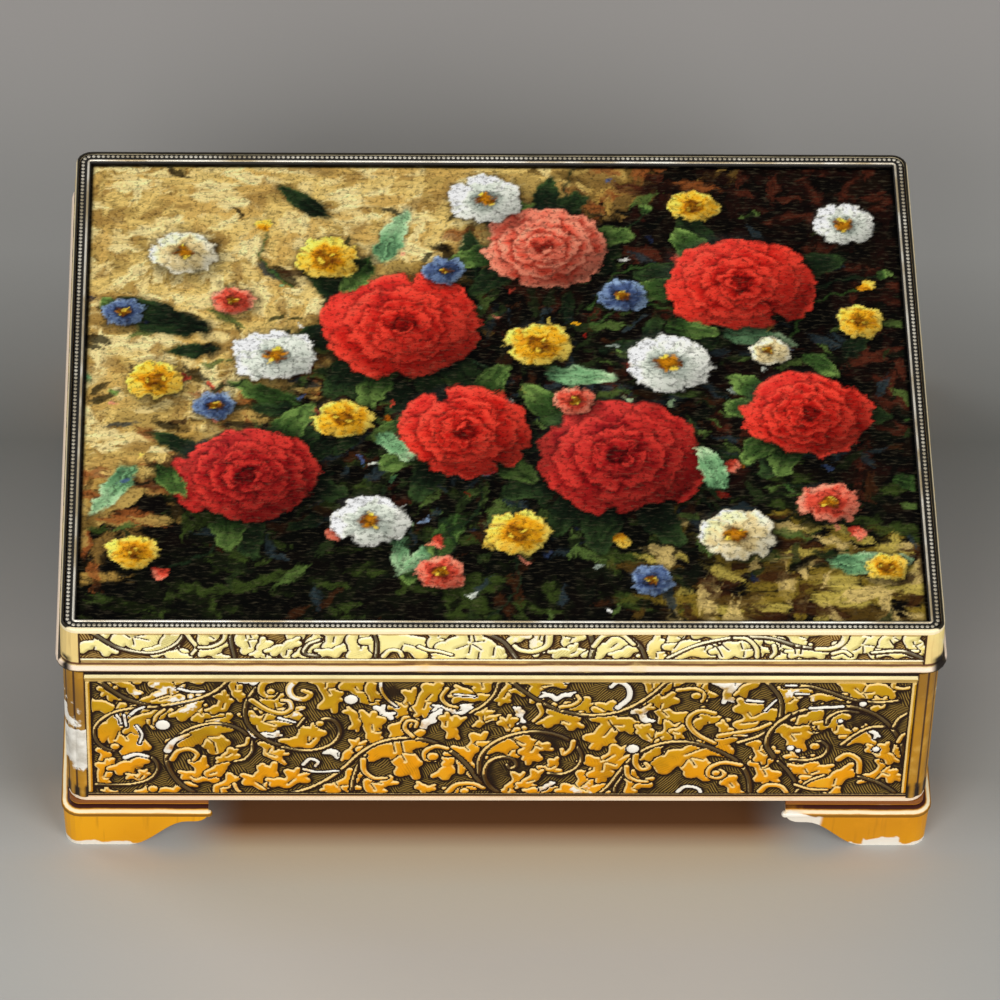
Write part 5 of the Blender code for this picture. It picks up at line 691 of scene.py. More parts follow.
# Points of narrow cuts through the leaves
FRONT_SLITS = [
    [(-69.2, 20.8), (-68.4, 17.6)], [(-67.4, 21.4), (-66.8, 18)], [(-27.8, 40.8), (-25.8, 37.4)],
    [(-24.7, 36.2), (-24.1, 32.4)], [(-22.8, 36.4), (-22.2, 32.4)], [(-21.4, 50), (-19.6, 46)],
    [(24.8, 43.8), (26.4, 40.2)], [(3, 37.2), (5.6, 35.4)], [(43, 31.6), (46.6, 33.8)],
    [(66.8, 46), (66.2, 42)], [(68.4, 46.8), (67.8, 42.8)], [(-82.6, 55), (-80.4, 52.6)],
    [(-65.8, 35.6), (-65.2, 32)], [(71, 40.4), (73.2, 38.4)], [(55.4, 42.8), (59, 43.4)],
    [(-91, 50.6), (-88, 49.4)], [(-55.6, 21.4), (-52.8, 18)], [(38, 31.4), (39.4, 34.8)],
    [(-79.8, 50.6), (-76, 52.6)], [(5, 19.4), (6.2, 16.2)], [(79.6, 20.4), (81, 17)],
]


STALK = -1  # In place of worn, where a form is a bare stem


def press_scrolls(sheet, stems, leaves, curls, berries, slits, spread=1.1):
    """Presses the drawn forms into a sheet: leaves first, and over them stems, curls and berries."""
    for base, width, worn, tips in leaves:
        sheet.leaf(base, (0.8 if worn else spread) * width, tips, 0.42, worn)
    for start, end, worn, points in stems:
        sheet.stem(points, 0.85 * start, 0.8 * end, 0.46, worn or STALK)
    for start, end, worn, points in curls:
        slim = 0.75 if worn else 1.0
        sheet.stem(points, slim * start, slim * end, 0.42, worn)
    for place, radius, worn in berries:
        sheet.berry(place, radius, 0.45, worn)
    for points in slits:
        sheet.slit(points)


def smooth_faces(mesh):
    for face in mesh.faces:
        face.smooth = True


def closed_grid(shape, values, lay):
    """A sheet of points in rows and columns, its edge folded back and closed behind. values are what each
    point carries, by name, and lay(row, column, behind) says where it goes."""
    rows, columns = shape
    mesh = bmesh.new()
    layers = {}
    for name, field in values.items():
        kinds = mesh.verts.layers.float_color if field.ndim == 3 else mesh.verts.layers.float
        layers[name] = kinds.new(name)
    bmesh.ops.create_grid(mesh, x_segments=columns - 1, y_segments=rows - 1, size=1.0)
    rim = [edge for edge in mesh.edges if edge.is_boundary]
    folded = bmesh.ops.extrude_edge_only(mesh, edges=rim)["geom"]
    bmesh.ops.translate(mesh, verts=[v for v in folded if isinstance(v, bmesh.types.BMVert)], vec=(0, 0, -1))
    bmesh.ops.contextual_create(mesh, geom=[e for e in folded if isinstance(e, bmesh.types.BMEdge)])
    for vertex in mesh.verts:
        place = round((vertex.co.y + 1) / 2 * (rows - 1)), round((vertex.co.x + 1) / 2 * (columns - 1))
        for name, field in values.items():
            vertex[layers[name]] = (*field[place], 1.0) if field.ndim == 3 else field[place]
        vertex.co = lay(*place, vertex.co.z < -0.5)
    bmesh.ops.triangulate(mesh, faces=[face for face in mesh.faces if len(face.verts) > 4])
    bmesh.ops.recalc_face_normals(mesh, faces=mesh.faces)
    smooth_faces(mesh)
    for edge in mesh.edges:
        faces = edge.link_faces
        if len(faces) == 2 and edge.calc_face_angle() > 1.2 and faces[0].normal.length > 0:
            edge.smooth = False
    return mesh


def wall_frame(node, side):
    """Where the middle of one face of a node is, which way is along it and which way is out."""
    low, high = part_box(node)
    middle = (low + high) / 2
    return {
        "front": (Vector((0, low.y, 0)), Vector((1, 0, 0)), Vector((0, -1, 0))),
        "rear": (Vector((0, high.y, 0)), Vector((-1, 0, 0)), Vector((0, 1, 0))),
        "left": (Vector((low.x, middle.y, 0)), Vector((0, -1, 0)), Vector((-1, 0, 0))),
        "right": (Vector((high.x, middle.y, 0)), Vector((0, 1, 0)), Vector((1, 0, 0))),
    }[side]


def lay_stamping(sheet, name, wall, ground, material, body):
    """Makes the stamped sheet a closed piece on a wall, with its ground so many millimetres from the face."""
    origin, along, out = wall

    def lay(row, column, behind):
        depth = ground - 0.2 if behind else ground + sheet.height[row, column]
        flat = along * sheet.across[row, column] + Vector((0, 0, sheet.up[row, column]))
        return origin + (flat + out * depth) * MM

    values = {"edge": sheet.edge, "worn": sheet.worn, "light": sheet.light()}
    return new_piece(closed_grid(sheet.edge.shape, values, lay), name, material, body)


def shade(colour, share):
    """A colour made darker or paler by a share."""
    return tuple(share * channel for channel in colour)


def paler(colour):
    """Half as bright again, and no more than white."""
    return tuple(min(1.0, 1.5 * channel + 0.02) for channel in colour)


def relief_material(name, ground, hatch, line, rim, lower, upper, silver, low, high, bands):
    """Lacquered relief: hatched ground, dark line round each form and a fill, with a painted highlight as a pale
    rim on the lit side and painted shade on the other side.
    """
    tin, place, shader = new_material(name)
    fine = place.noise(2600.0, 2.0)
    soft = place.noise(110.0, 4.0)
    broad = place.noise(24.0, 2.0)
    edge = place.attribute("edge") + (fine - 0.5) * 0.22
    light = place.attribute("light") + (soft - 0.5) * 1.2
    worn = place.attribute("worn").rise(0.4, 0.6)
    stalk = place.attribute("worn").rise(-0.4, -0.6)
    height = place.axis(2)
    along = place.axis(0) + place.axis(1)
    gratings = []
    for angle, pitch in ((0.35, 0.00062), (1.2, 0.00057), (2.5, 0.0006)):
        turns = (along * math.cos(angle) + height * math.sin(angle)) * (2 * math.pi / pitch) + soft * 26.0
        gratings.append(turns.maths("SINE", turns))
    patch = place.noise(95.0, 1.0)
    ruled = patch.rise(0.43, 0.46).blend(gratings[0], gratings[1])
    ruled = patch.rise(0.55, 0.58).blend(ruled, gratings[2])
    scratched = ruled.rise(-0.1, 0.7) * soft.rise(0.28, 0.45)
    under = soft.rise(0.35, 0.7).mix(ground, shade(ground, 1.45))
    under = (scratched * 0.7).mix(under, hatch)
    # Painted shade on the ground beside each form, on its shaded side
    under = (edge.rise(-1.7, -0.5) * light.rise(0.9, -0.6) * 0.85).mix(under, shade(ground, 0.3))
    rising = (height + (broad - 0.5) * 0.05).rise(low, high)
    fill = rising.mix(lower, upper)
    fill = (soft.rise(0.5, 0.8) * 0.55).mix(fill, paler(upper))
    fill = (soft.rise(0.5, 0.25) * 0.45).mix(fill, shade(upper, 0.5))
    # Painted shade on the shaded side of each form
    fill = (light.rise(0.2, -0.9) * edge.rise(1.2, 0.3) * 0.55).mix(fill, shade(lower, 0.45))
    fill = (ruled.rise(0.4, 0.9) * soft.rise(0.52, 0.36) * 0.5).mix(fill, shade(lower, 0.4))
    # Painted highlight: a pale rim on the lit side of each form
    form = (edge.rise(0.5, 0.22) * light.rise(-0.5, 0.25)).mix(fill, rim)
    # Painted shade: bare stems go dark except on their lit side
    form = (stalk * light.rise(0.85, 0.4) * 0.9).mix(form, line)
    scuffed = (broad * soft).rise(0.375, 0.4) * edge.rise(0.2, 0.5)
    patchy = worn * soft.rise(0.34, 0.46)
    rubbed = patchy.maths("MAXIMUM", patchy, scuffed)
    form = rubbed.mix(form, silver)
    # Dark line round each form, widened on its shaded side by painted shade
    colour = (edge - light * 0.16).rise(-0.62, -0.42).mix(under, line)
    colour = edge.rise(-0.1, 0.06).mix(colour, form)
    for start, end, band_colour in bands:
        clouded = soft.rise(0.3, 0.7).mix(shade(band_colour, 0.8), band_colour)
        colour = height.within(start, end).mix(colour, clouded)
    raised = edge.rise(-0.05, 0.1)
    feed(
        place,
        shader,
        ruled * (1.0 - raised) * 0.35 + fine * 0.3 + soft * raised,
        0.00005,
        Base_Color=colour,
        Metallic=raised * 0.12,
        Roughness=raised.blend(0.62, 0.45) + (fine - 0.5) * 0.2,
        Specular_IOR_Level=0.2,
    )
    return tin


case_relief = relief_material(
    "gilt_scrolls",
    ground=srgb(40, 23, 2),
    hatch=srgb(158, 128, 56),
    line=srgb(30, 10, 0),
    rim=srgb(242, 208, 134),
    lower=srgb(234, 154, 0),
    upper=srgb(192, 146, 6),
    silver=srgb(244, 238, 224),
    low=0.022,
    high=0.050,
    # The top band is painted shade under the lid and the pale one below it a painted highlight on the top edge
    bands=[
        (0.0592, 0.0604, srgb(30, 12, 4)),
        (0.0583, 0.0591, srgb(254, 236, 176)),
        (0.0568, 0.0582, srgb(200, 164, 90)),
        (0.0160, 0.0165, srgb(244, 222, 186)),
        (0.0166, 0.0171, srgb(50, 24, 6)),
    ],
)

CASE_SHEET_STEP_MM = 0.3
GROUND_DEPTH_MM = 0.3
LONG_PANEL_HALF_MM, SHORT_PANEL_HALF_MM = 95.1, 71.6


def press_case_sheet(half, low, high):
    """The scrolls of one wall, with a plain raised line along each border."""
    sheet = Stamping(-half, half, low, high, CASE_SHEET_STEP_MM)
    press_scrolls(sheet, FRONT_STEMS, FRONT_LEAVES, FRONT_CURLS, FRONT_BERRIES, FRONT_SLITS)
    for side in (-1, 1):
        sheet.stem([(side * (half - 0.7), low), (side * (half - 0.7), high)], 0.45, 0.45, 0.35)
    sheet.stem([(-half, high - 2.1), (half, high - 2.1)], 0.8, 0.8, 0.4)
    sheet.stem([(-half, low + 0.5), (half, low + 0.5)], 0.6, 0.6, 0.35)
    return sheet


PANEL_SHEET = {"low": 16.0, "high": 60.3}
long_sheet = press_case_sheet(LONG_PANEL_HALF_MM, **PANEL_SHEET)
short_sheet = press_case_sheet(SHORT_PANEL_HALF_MM, **PANEL_SHEET)
for side, sheet in (
    ("front", long_sheet),
    ("rear", long_sheet),
    ("left", short_sheet),
    ("right", short_sheet),
):
    wall = wall_frame("case_cladding", side)
    lay_stamping(sheet, side + "_scrolls", wall, -GROUND_DEPTH_MM, case_relief, "case")


def gilt_material(
    name, warm, cool, line, silver, painted_highlight_bands, groove_and_shade_bands, wear=0.5, painted_shade_and_seam=False, worn_below=0.0
):
    """Plain lacquered tin: clouded gold with brown streaks and pale rubbed patches, with bands of painted
    highlight along its mouldings and dark bands for grooves and painted shade.
    """
    tin, place, shader = new_material(name)
    soft = place.noise(70.0, 4.0, 0.6)
    broad = place.noise(16.0, 2.0)
    fine = place.noise(1500.0, 2.0)
    streak = place.stretched(900, 900, 40).noise(1.0, 2.0)
    height = place.axis(2) + (soft - 0.5) * 0.0004
    colour = broad.rise(0.35, 0.65).mix(warm, cool)
    colour = (soft.rise(0.5, 0.8) * 0.5).mix(colour, paler(cool))
    colour = (streak.rise(0.55, 0.8) * 0.35).mix(colour, line)
    rubbed = (soft * 0.6 + broad * 0.4).rise(0.64 - 0.06 * wear, 0.7 - 0.06 * wear)
    colour = rubbed.mix(colour, silver)
    # Bands of painted highlight along the edges of mouldings, then dark bands for grooves and painted shade
    for low, high, band_colour in (*painted_highlight_bands, *groove_and_shade_bands):
        colour = (height.within(low, high) * soft.rise(0.15, 0.4)).mix(colour, band_colour)
    if painted_shade_and_seam:
        aside = place.axis(0).maths("ABSOLUTE", place.axis(0))
        back = place.axis(1)
        # Painted shade on the top of the skirt, except along the front
        top = height.rise(0.0750, 0.0752) * back.rise(-0.0777, -0.0773) * aside.rise(0.1001, 0.0998)
        colour = top.mix(colour, srgb(34, 28, 16))
        # Painted shadow on the rounded front corners of the skirt
        corner = aside.rise(0.0972, 0.0990) * back.rise(-0.0752, -0.0766) * height.rise(0.0670, 0.0655)
        colour = (corner * soft.rise(0.4, 0.5)).mix(colour, srgb(24, 14, 6))
        seam = aside.within(0.0956, 0.0961) * height.within(0.0643, 0.0742)
        colour = seam.mix(colour, srgb(60, 30, 8))
        # Painted shade on a narrow strip of the left and right sides
        painted_side_shade = aside.within(0.1002, 0.1009) * back.rise(-0.0772, -0.0766) * height.rise(0.0622, 0.0624)
        colour = painted_side_shade.mix(colour, srgb(44, 34, 18))
    if worn_below:
        across = place.axis(0) + (soft - 0.5) * 0.004
        ragged = place.axis(2) + (soft - 0.5) * 0.008
        toe = across.within(0.0859, 0.0942, 0.0003) * ragged.rise(0.0026, 0.0022)
        tip = across.rise(0.0762, 0.0750) * across.rise(0.0600, 0.0610) * ragged.rise(0.0110, 0.0106)
        for patch in (toe, tip, ragged.rise(worn_below + 0.0004, worn_below)):
            colour = (patch * 0.95).mix(colour, silver)
    feed(
        place,
        shader,
        soft + fine * 0.3,
        0.00006,
        Base_Color=colour,
        Metallic=0.15,
        Roughness=soft.blend(0.36, 0.55) + (fine - 0.5) * 0.12,
        Specular_IOR_Level=0.35,
    )
    return tin


case_gilt = gilt_material(
    "case_gilt",
    warm=srgb(200, 138, 22),
    cool=srgb(170, 124, 32),
    line=srgb(100, 58, 16),
    silver=srgb(236, 230, 216),
    # Painted highlight along the bottom edge, and painted shade under the lid along the top
    painted_highlight_bands=[(0.0149, 0.0162, srgb(250, 226, 196))],
    groove_and_shade_bands=[(0.0592, 0.0615, srgb(36, 16, 4))],
)
dress(case_gilt, "case_cladding")


# Corner strips: the plain ends of the stamped band, where it bends round the corners of the box. Shallow
# upright reeds stiffen them, and their gilding is the first to rub through.


def outline_at(half_x, half_y, radius, travel):
    """A point on a rectangle with round corners, so far along it, and which way is out there."""
    lengths = [2 * (half_x - radius), radius * math.pi / 2, 2 * (half_y - radius), radius * math.pi / 2] * 2
    travel %= sum(lengths)
    for number, length in enumerate(lengths):
        if travel <= length:
            break
        travel -= length
    quarter = number // 2
    turn = Matrix.Rotation(quarter * math.pi / 2, 2)
    reach, width = (half_y, half_x) if quarter % 2 == 0 else (half_x, half_y)
    if number % 2 == 0:
        place, out = Vector((travel - (width - radius), -reach)), Vector((0, -1))
    else:
        angle = travel / radius
        out = Vector((math.sin(angle), -math.cos(angle)))
        place = Vector((width - radius, radius - reach)) + out * radius
    return turn @ place, turn @ out


def outline_length(half_x, half_y, radius):
    return 4 * (half_x + half_y) - 8 * radius + 2 * math.pi * radius


STRIP_REEDS = 3
STRIP_ENDS = 0.0046
STRIP_RADIUS = 0.0042
STRIP_FOOT, STRIP_HEIGHT = 0.0162, 0.0441
STRIP_STEPS = 61
STRIP_ROWS = 12


def join(whole, part):
    """Adds one bmesh to another and frees it."""
    data = bpy.data.meshes.new("part")
    part.to_mesh(data)
    part.free()
    whole.from_mesh(data)
    bpy.data.meshes.remove(data)


def make_corner_strips():
    """Four sheets with reeds, each laid round a corner of the cladding."""
    low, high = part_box("case_cladding")
    half_x, half_y, middle = high.x, (high.y - low.y) / 2, (high.y + low.y) / 2
    straights = [2 * (half_x - STRIP_RADIUS), 2 * (half_y - STRIP_RADIUS)] * 2
    bend = STRIP_RADIUS * math.pi / 2
    flat = STRIP_ENDS - STRIP_RADIUS + 0.0001
    shares = np.linspace(0, 1, STRIP_STEPS)
    reeds = np.abs(np.sin(shares * math.pi * STRIP_REEDS))
    lifts = 0.06 + 0.2 * reeds * np.minimum(1, 40 * shares * (1 - shares))
    whole = bmesh.new()
    for quarter in range(4):
        corner = sum(straights[: quarter + 1]) + quarter * bend

        def lay(row, column, behind):
            travel = corner - flat + shares[column] * (bend + 2 * flat)
            point, out = outline_at(half_x, half_y, STRIP_RADIUS, travel)
            point = point + out * (-0.3 if behind else lifts[column]) * MM
            return Vector((point.x, point.y + middle, STRIP_FOOT + STRIP_HEIGHT * row / (STRIP_ROWS - 1)))

        values = {"reed": np.tile(reeds, (STRIP_ROWS, 1))}
        join(whole, closed_grid((STRIP_ROWS, STRIP_STEPS), values, lay))
    tin, place, shader = new_material("strip_gilt")
    soft = place.noise(130.0, 4.0, 0.6)
    broad = place.noise(30.0, 3.0)
    fine = place.noise(1800.0, 2.0)
    reed = place.attribute("reed") + (soft - 0.5) * 0.2
    colour = broad.rise(0.35, 0.65).mix(srgb(188, 132, 20), srgb(150, 106, 30))
    colour = (soft.rise(0.5, 0.75) * 0.6).mix(colour, srgb(226, 180, 88))
    colour = reed.rise(0.5, 0.12).mix(colour, srgb(70, 40, 12))
    left = place.axis(0).rise(-0.0935, -0.0945) * place.axis(1).rise(-0.066, -0.070)
    level = place.axis(2) + (soft - 0.5) * 0.016 + (broad - 0.5) * 0.012
    patch = left * level.within(0.026, 0.042, 0.0005)
    rubbed = (broad * 0.5 + soft * 0.5).rise(0.6, 0.63)
    chalky = soft.rise(0.3, 0.6).mix(srgb(190, 182, 166), srgb(250, 246, 236))
    colour = rubbed.maths("MAXIMUM", rubbed, patch).mix(colour, chalky)
    # Darker towards the bottom, mostly in the grooves between the reeds
    darker_low = (place.axis(2) + (soft - 0.5) * 0.012).rise(0.0215, 0.0195)
    colour = (darker_low * reed.rise(1.2, 0.4)).mix(colour, srgb(26, 10, 4))
    feed(
        place,
        shader,
        soft + fine * 0.3,
        0.00006,
        Base_Color=colour,
        Metallic=0.1,
        Roughness=soft.blend(0.36, 0.55),
        Specular_IOR_Level=0.35,
    )
    new_piece(whole, "corner_strips", tin, "case")


make_corner_strips()


# Feet: four stamped brackets with ogee ends. A bead runs round them under the case, with a painted highlight
# on its top and painted shade under it; above it a recessed neck is coloured dark brown, and two small screws
# through a tab hold each one to the floor board.

FEET = ("front_left_foot", "front_right_foot", "rear_left_foot", "rear_right_foot")
foot_gilt = gilt_material(
    "foot_gilt",
    warm=srgb(250, 178, 0),
    cool=srgb(214, 142, 0),
    line=srgb(160, 96, 10),
    silver=srgb(244, 238, 224),
    # A painted highlight on the top of the bead; of the dark bands the last is painted shade on its underside
    painted_highlight_bands=[(0.01195, 0.0123, srgb(255, 240, 200))],
    groove_and_shade_bands=[
        (0.0135, 0.0148, srgb(138, 80, 34)),
        (0.0124, 0.0134, srgb(58, 12, 2)),
        (0.0110, 0.01185, srgb(140, 94, 6)),
    ],
    wear=0.2,
    worn_below=0.0005,
)
dress(foot_gilt, *FEET)


def metal_material(name, colour, dull, rough, brushed=(60, 900, 900)):
    """Plain metal with fine tool marks and a light tarnish."""
    metal, place, shader = new_material(name)
    mark = place.stretched(*brushed).noise(1.0, 3.0)
    cloud = place.noise(180.0, 4.0, 0.6)
    speck = place.noise(1400.0, 2.0)
    toned = (cloud.rise(0.4, 0.7) * 0.7).mix(colour, dull)
    toned = (speck.rise(0.66, 0.74) * 0.5).mix(toned, shade(dull, 0.4))
    feed(
        place,
        shader,
        mark + cloud * 0.3,
        0.00002,
        Base_Color=toned,
        Metallic=1.0,
        Roughness=(mark * 0.5 + cloud * 0.5).blend(rough - 0.08, rough + 0.14),
    )
    return metal


brass = metal_material("brass", srgb(206, 168, 92), srgb(168, 128, 62), 0.3)
steel = metal_material("steel", srgb(190, 192, 196), srgb(150, 150, 152), 0.28)


def slotted_head(radius, height):
    """A domed screw head with a straight slot, closed underneath, facing up."""
    mesh = bmesh.new()
    bmesh.ops.create_circle(mesh, cap_ends=True, segments=20, radius=radius)
    crown = bmesh.ops.extrude_face_region(mesh, geom=mesh.faces[:])["geom"]
    cap = [face for face in crown if isinstance(face, bmesh.types.BMFace)]
    bmesh.ops.translate(mesh, verts=cap[0].verts[:], vec=(0, 0, 0.45 * height))
    bmesh.ops.recalc_face_normals(mesh, faces=mesh.faces)
    for share, lift in ((0.24, 0.36), (0.3, 0.19)):
        bmesh.ops.inset_region(mesh, faces=cap, thickness=share * radius, depth=lift * height)
    half = 0.16 * radius
    for offset in (-half, half):
        whole = [*mesh.verts, *mesh.edges, *mesh.faces]
        bmesh.ops.bisect_plane(mesh, geom=whole, plane_co=(0, offset, 0), plane_no=(0, 1, 0))
    mesh.normal_update()
    groove = [f for f in mesh.faces if f.normal.z > 0.2 and abs(f.calc_center_median().y) < half]
    cut = bmesh.ops.extrude_face_region(mesh, geom=groove)["geom"]
    bmesh.ops.delete(mesh, geom=groove, context="FACES_ONLY")
    for vertex in cut:
        if isinstance(vertex, bmesh.types.BMVert):
            vertex.co.z = 0.35 * height
    return mesh


def make_screws(name, material, body, places, facing, radius, height):
    """Screw heads at their places, each turned its own way."""
    mesh = bmesh.new()
    for number, place in enumerate(places):
        head = slotted_head(radius, height)
        turn = Vector(facing).to_track_quat("Z", "Y").to_matrix().to_4x4()
        turn = Matrix.Translation(place) @ turn @ Matrix.Rotation(0.9 * number + 0.3, 4, "Z")
        bmesh.ops.transform(head, matrix=turn, verts=head.verts)
        join(mesh, head)
    bmesh.ops.recalc_face_normals(mesh, faces=mesh.faces)
    return new_piece(mesh, name, material, body)


FOOT_BEAD_RADIUS = 0.00086
FOOT_BEAD_INSET = 0.0009
FOOT_BEAD_LEVEL = 0.01126


def make_bead_ends():
    """The bead of each foot closes with a small round end on either leg."""
    mesh = bmesh.new()
    for node in FEET:
        low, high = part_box(node)
        left, front = low.x < 0, low.y < 0
        inner_x, outer_x = (high.x, low.x + FOOT_BEAD_INSET) if left else (low.x, high.x - FOOT_BEAD_INSET)
        inner_y, outer_y = (high.y, low.y + FOOT_BEAD_INSET) if front else (low.y, high.y - FOOT_BEAD_INSET)
        for place, size in (((inner_x, outer_y), (1.1, 1, 1)), ((outer_x, inner_y), (1, 1.1, 1))):
            made = bmesh.ops.create_uvsphere(mesh, u_segments=20, v_segments=12, radius=FOOT_BEAD_RADIUS)
            bmesh.ops.scale(mesh, verts=made["verts"], vec=size)
            bmesh.ops.translate(mesh, verts=made["verts"], vec=(*place, FOOT_BEAD_LEVEL))
    smooth_faces(mesh)
    new_piece(mesh, "foot_bead_ends", foot_gilt, "case")


make_bead_ends()

BOX_MIDDLE_Y = -0.0017
FEET_HALF_X, FEET_HALF_Y = 0.1007, 0.0772
FOOT_TAB = 0.011  # From the corner of a foot to the middle of its tab
FOOT_SCREW_STEP = 0.0025
FOOT_SCREW_LEVEL = 0.01372
tab_x, tab_y = FEET_HALF_X - FOOT_TAB, FEET_HALF_Y - FOOT_TAB
screw_places = [
    (sx * (shift - tab_x), BOX_MIDDLE_Y - sy * (tab_y + shift), FOOT_SCREW_LEVEL)
    for sx in (-1, 1)
    for sy in (-1, 1)
    for shift in (-FOOT_SCREW_STEP, FOOT_SCREW_STEP)
]
make_screws("foot_screws", steel, "case", screw_places, (0, 0, -1), 0.0017, 0.0009)


# Velvet: card covered with red velvet lines the floor and the walls, covers the dividers and is glued into
# the bays. The ring bay holds four padded rolls with slits between them.


def velvet_material(name):
    """Short pile with a sheen, brushed and crushed in broad patches."""
    velvet, place, shader = new_material(name)
    pile = place.noise(5200.0, 2.0)
    crush = place.noise(55.0, 4.0, 0.6, 0.8)
    brush = place.noise(18.0, 2.0, 0.5, 1.5)
    colour = crush.rise(0.3, 0.72).mix(srgb(112, 10, 20), srgb(140, 16, 28))
    colour = (brush.rise(0.48, 0.75) * 0.4).mix(colour, srgb(160, 28, 40))
    colour = (pile.rise(0.55, 0.8) * 0.4).mix(colour, srgb(70, 4, 10))
    feed(
        place,
        shader,
        pile + crush * 1.5,
        0.00018,
        Base_Color=colour,
        Roughness=0.95,
        Specular_IOR_Level=0.15,
        Sheen_Weight=0.7,
        Sheen_Roughness=0.35,
        Sheen_Tint=srgb(232, 120, 124),
    )
    return velvet


velvet = velvet_material("red_velvet")


def merged_copy(node):
    """The mesh of a CAD node with its loose triangles joined."""
    mesh = bmesh.new()
    mesh.from_mesh(nodes[node].data)
    bmesh.ops.remove_doubles(mesh, verts=mesh.verts, dist=0.00001)
    bmesh.ops.dissolve_limit(mesh, angle_limit=0.02, verts=mesh.verts, edges=mesh.edges)
    return mesh


def covered_board(node, round_over, longest=0.006):
    """A card covered with velvet: the form of its node with soft edges and a slightly uneven face."""
    mesh = merged_copy(node)
    sharp = [e for e in mesh.edges if len(e.link_faces) == 2 and e.calc_face_angle() > 0.6]
    bmesh.ops.bevel(
        mesh,
        geom=sharp,
        offset=round_over,
        affect="EDGES",
        segments=3,
        profile=0.5,
        material=-1,
        clamp_overlap=True,
    )
    for _ in range(7):
        long_edges = [edge for edge in mesh.edges if edge.calc_length() > longest]
        if not long_edges:
            break
        bmesh.ops.subdivide_edges(mesh, edges=long_edges, cuts=1)
    bmesh.ops.triangulate(mesh, faces=mesh.faces)
    mesh.normal_update()
    for vertex in mesh.verts:
        swell = noise.noise(vertex.co * 60) * 0.5 + noise.noise(vertex.co * 190) * 0.25
        vertex.co += vertex.normal * (0.00012 * swell)
    smooth_faces(mesh)
    piece = new_piece(mesh, node.replace("lining", "velvet") + "_cover", velvet, "case")
    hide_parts(node)


for node in ("floor_lining", "wall_lining"):
    covered_board(node, 0.0003)
for node in ("long_divider", "cross_divider", "ring_bay_divider"):
    covered_board(node, 0.0009, longest=0.004)


PAD_FRAMES = 12
PAD_PRESSURE = 4.0
PAD_SMOOTHINGS = 2


def soft_copy(node, voxel, most):
    """A padded form: the node's mesh remeshed into even faces, smoothed, drawn in a little and blown up as
    cloth. No point goes further than most."""
    mesh = merged_copy(node)
    data = bpy.data.meshes.new(node + "_soft")
    mesh.to_mesh(data)
    mesh.free()
    held = bpy.data.objects.new(node + "_soft", data)
    bpy.context.scene.collection.objects.link(held)
    remesh = held.modifiers.new("even", "REMESH")
    remesh.mode = "VOXEL"
    remesh.voxel_size = voxel
    even = bpy.data.meshes.new_from_object(held.evaluated_get(bpy.context.evaluated_depsgraph_get()))
    bpy.data.objects.remove(held)
    mesh = bmesh.new()
    mesh.from_mesh(even)
    for _ in range(PAD_SMOOTHINGS):
        bmesh.ops.smooth_vert(
            mesh, verts=mesh.verts, factor=0.5, use_axis_x=True, use_axis_y=True, use_axis_z=True
        )
    mesh.normal_update()
    for vertex in mesh.verts:
        vertex.co -= vertex.normal * 0.5 * most
    mesh.to_mesh(even)
    pad = bpy.data.objects.new(node + "_pad", even)
    bpy.context.scene.collection.objects.link(pad)
    cloth = pad.modifiers.new("cloth", "CLOTH")
    cloth.settings.use_pressure = True
    cloth.settings.uniform_pressure_force = PAD_PRESSURE
    cloth.settings.effector_weights.gravity = 0
    for moment in range(1, PAD_FRAMES + 1):
        bpy.context.scene.frame_set(moment)
    blown = bpy.data.meshes.new_from_object(pad.evaluated_get(bpy.context.evaluated_depsgraph_get()))
    bpy.context.scene.frame_set(1)
    for vertex, target in zip(mesh.verts, blown.vertices):
        step = target.co - vertex.co
        vertex.co += step * min(1.0, most / max(step.length, 1e-9))
    bpy.data.objects.remove(pad)
    return mesh


mesh = soft_copy("ring_insert", 0.0011, 0.0005)
mesh.normal_update()
for vertex in mesh.verts:
    wave = noise.noise(Vector((vertex.co.x * 40, vertex.co.y * 160, vertex.co.z * 160)))
    vertex.co += vertex.normal * (0.0002 * wave + 0.0001)
smooth_faces(mesh)
ring_rolls = new_piece(mesh, "ring_rolls", velvet, "case")
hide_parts("ring_insert")


# Musical movement: a brass cylinder with steel pins, a steel comb, brass wheels, a worm with a nylon fan
# and a wound spring in a steel barrel, all on a cast bedplate held by screws from under the box.

zinc = metal_material("cast_zinc", srgb(168, 168, 168), srgb(128, 128, 130), 0.46, brushed=(700, 700, 700))
bright_steel = metal_material("bright_steel", srgb(206, 207, 210), srgb(168, 168, 170), 0.2)


def nylon_material():
    """Moulded nylon, a little cloudy."""
    nylon, place, shader = new_material("white_nylon")
    cloud = place.noise(400.0, 3.0)
    feed(
        place,
        shader,
        cloud,
        0.00002,
        Base_Color=cloud.rise(0.3, 0.7).mix(srgb(220, 216, 204), srgb(238, 236, 226)),
        Roughness=cloud.blend(0.42, 0.55),
    )
    return nylon


nylon = nylon_material()
slot_finishes = {"brass": brass, "steel": steel, "cast_zinc": zinc, "white_nylon": nylon}
MOVEMENT = (
    "bedplate front_left_movement_screw front_right_movement_screw rear_left_movement_screw "
    "spring_barrel drive_wheel winding_arbor winding_key key_escutcheon pin_cylinder "
    "cylinder_arbor cylinder_gear comb left_comb_screw right_comb_screw brake_frame "
    "brake_frame_screw brake_wheel brake_worm brake_fan stop_plunger"
).split()
slot_of = {row.get("node"): row.get("material_slot") for row in frame["record"]["subparts"]}
for name in MOVEMENT:
    dress(slot_finishes.get(slot_of.get(name), brass), name)

SPRING_RADIUS = 0.00165
SPRING_WIRE = 0.00022
SPRING_TURNS = 6
SPRING_STEPS = 20


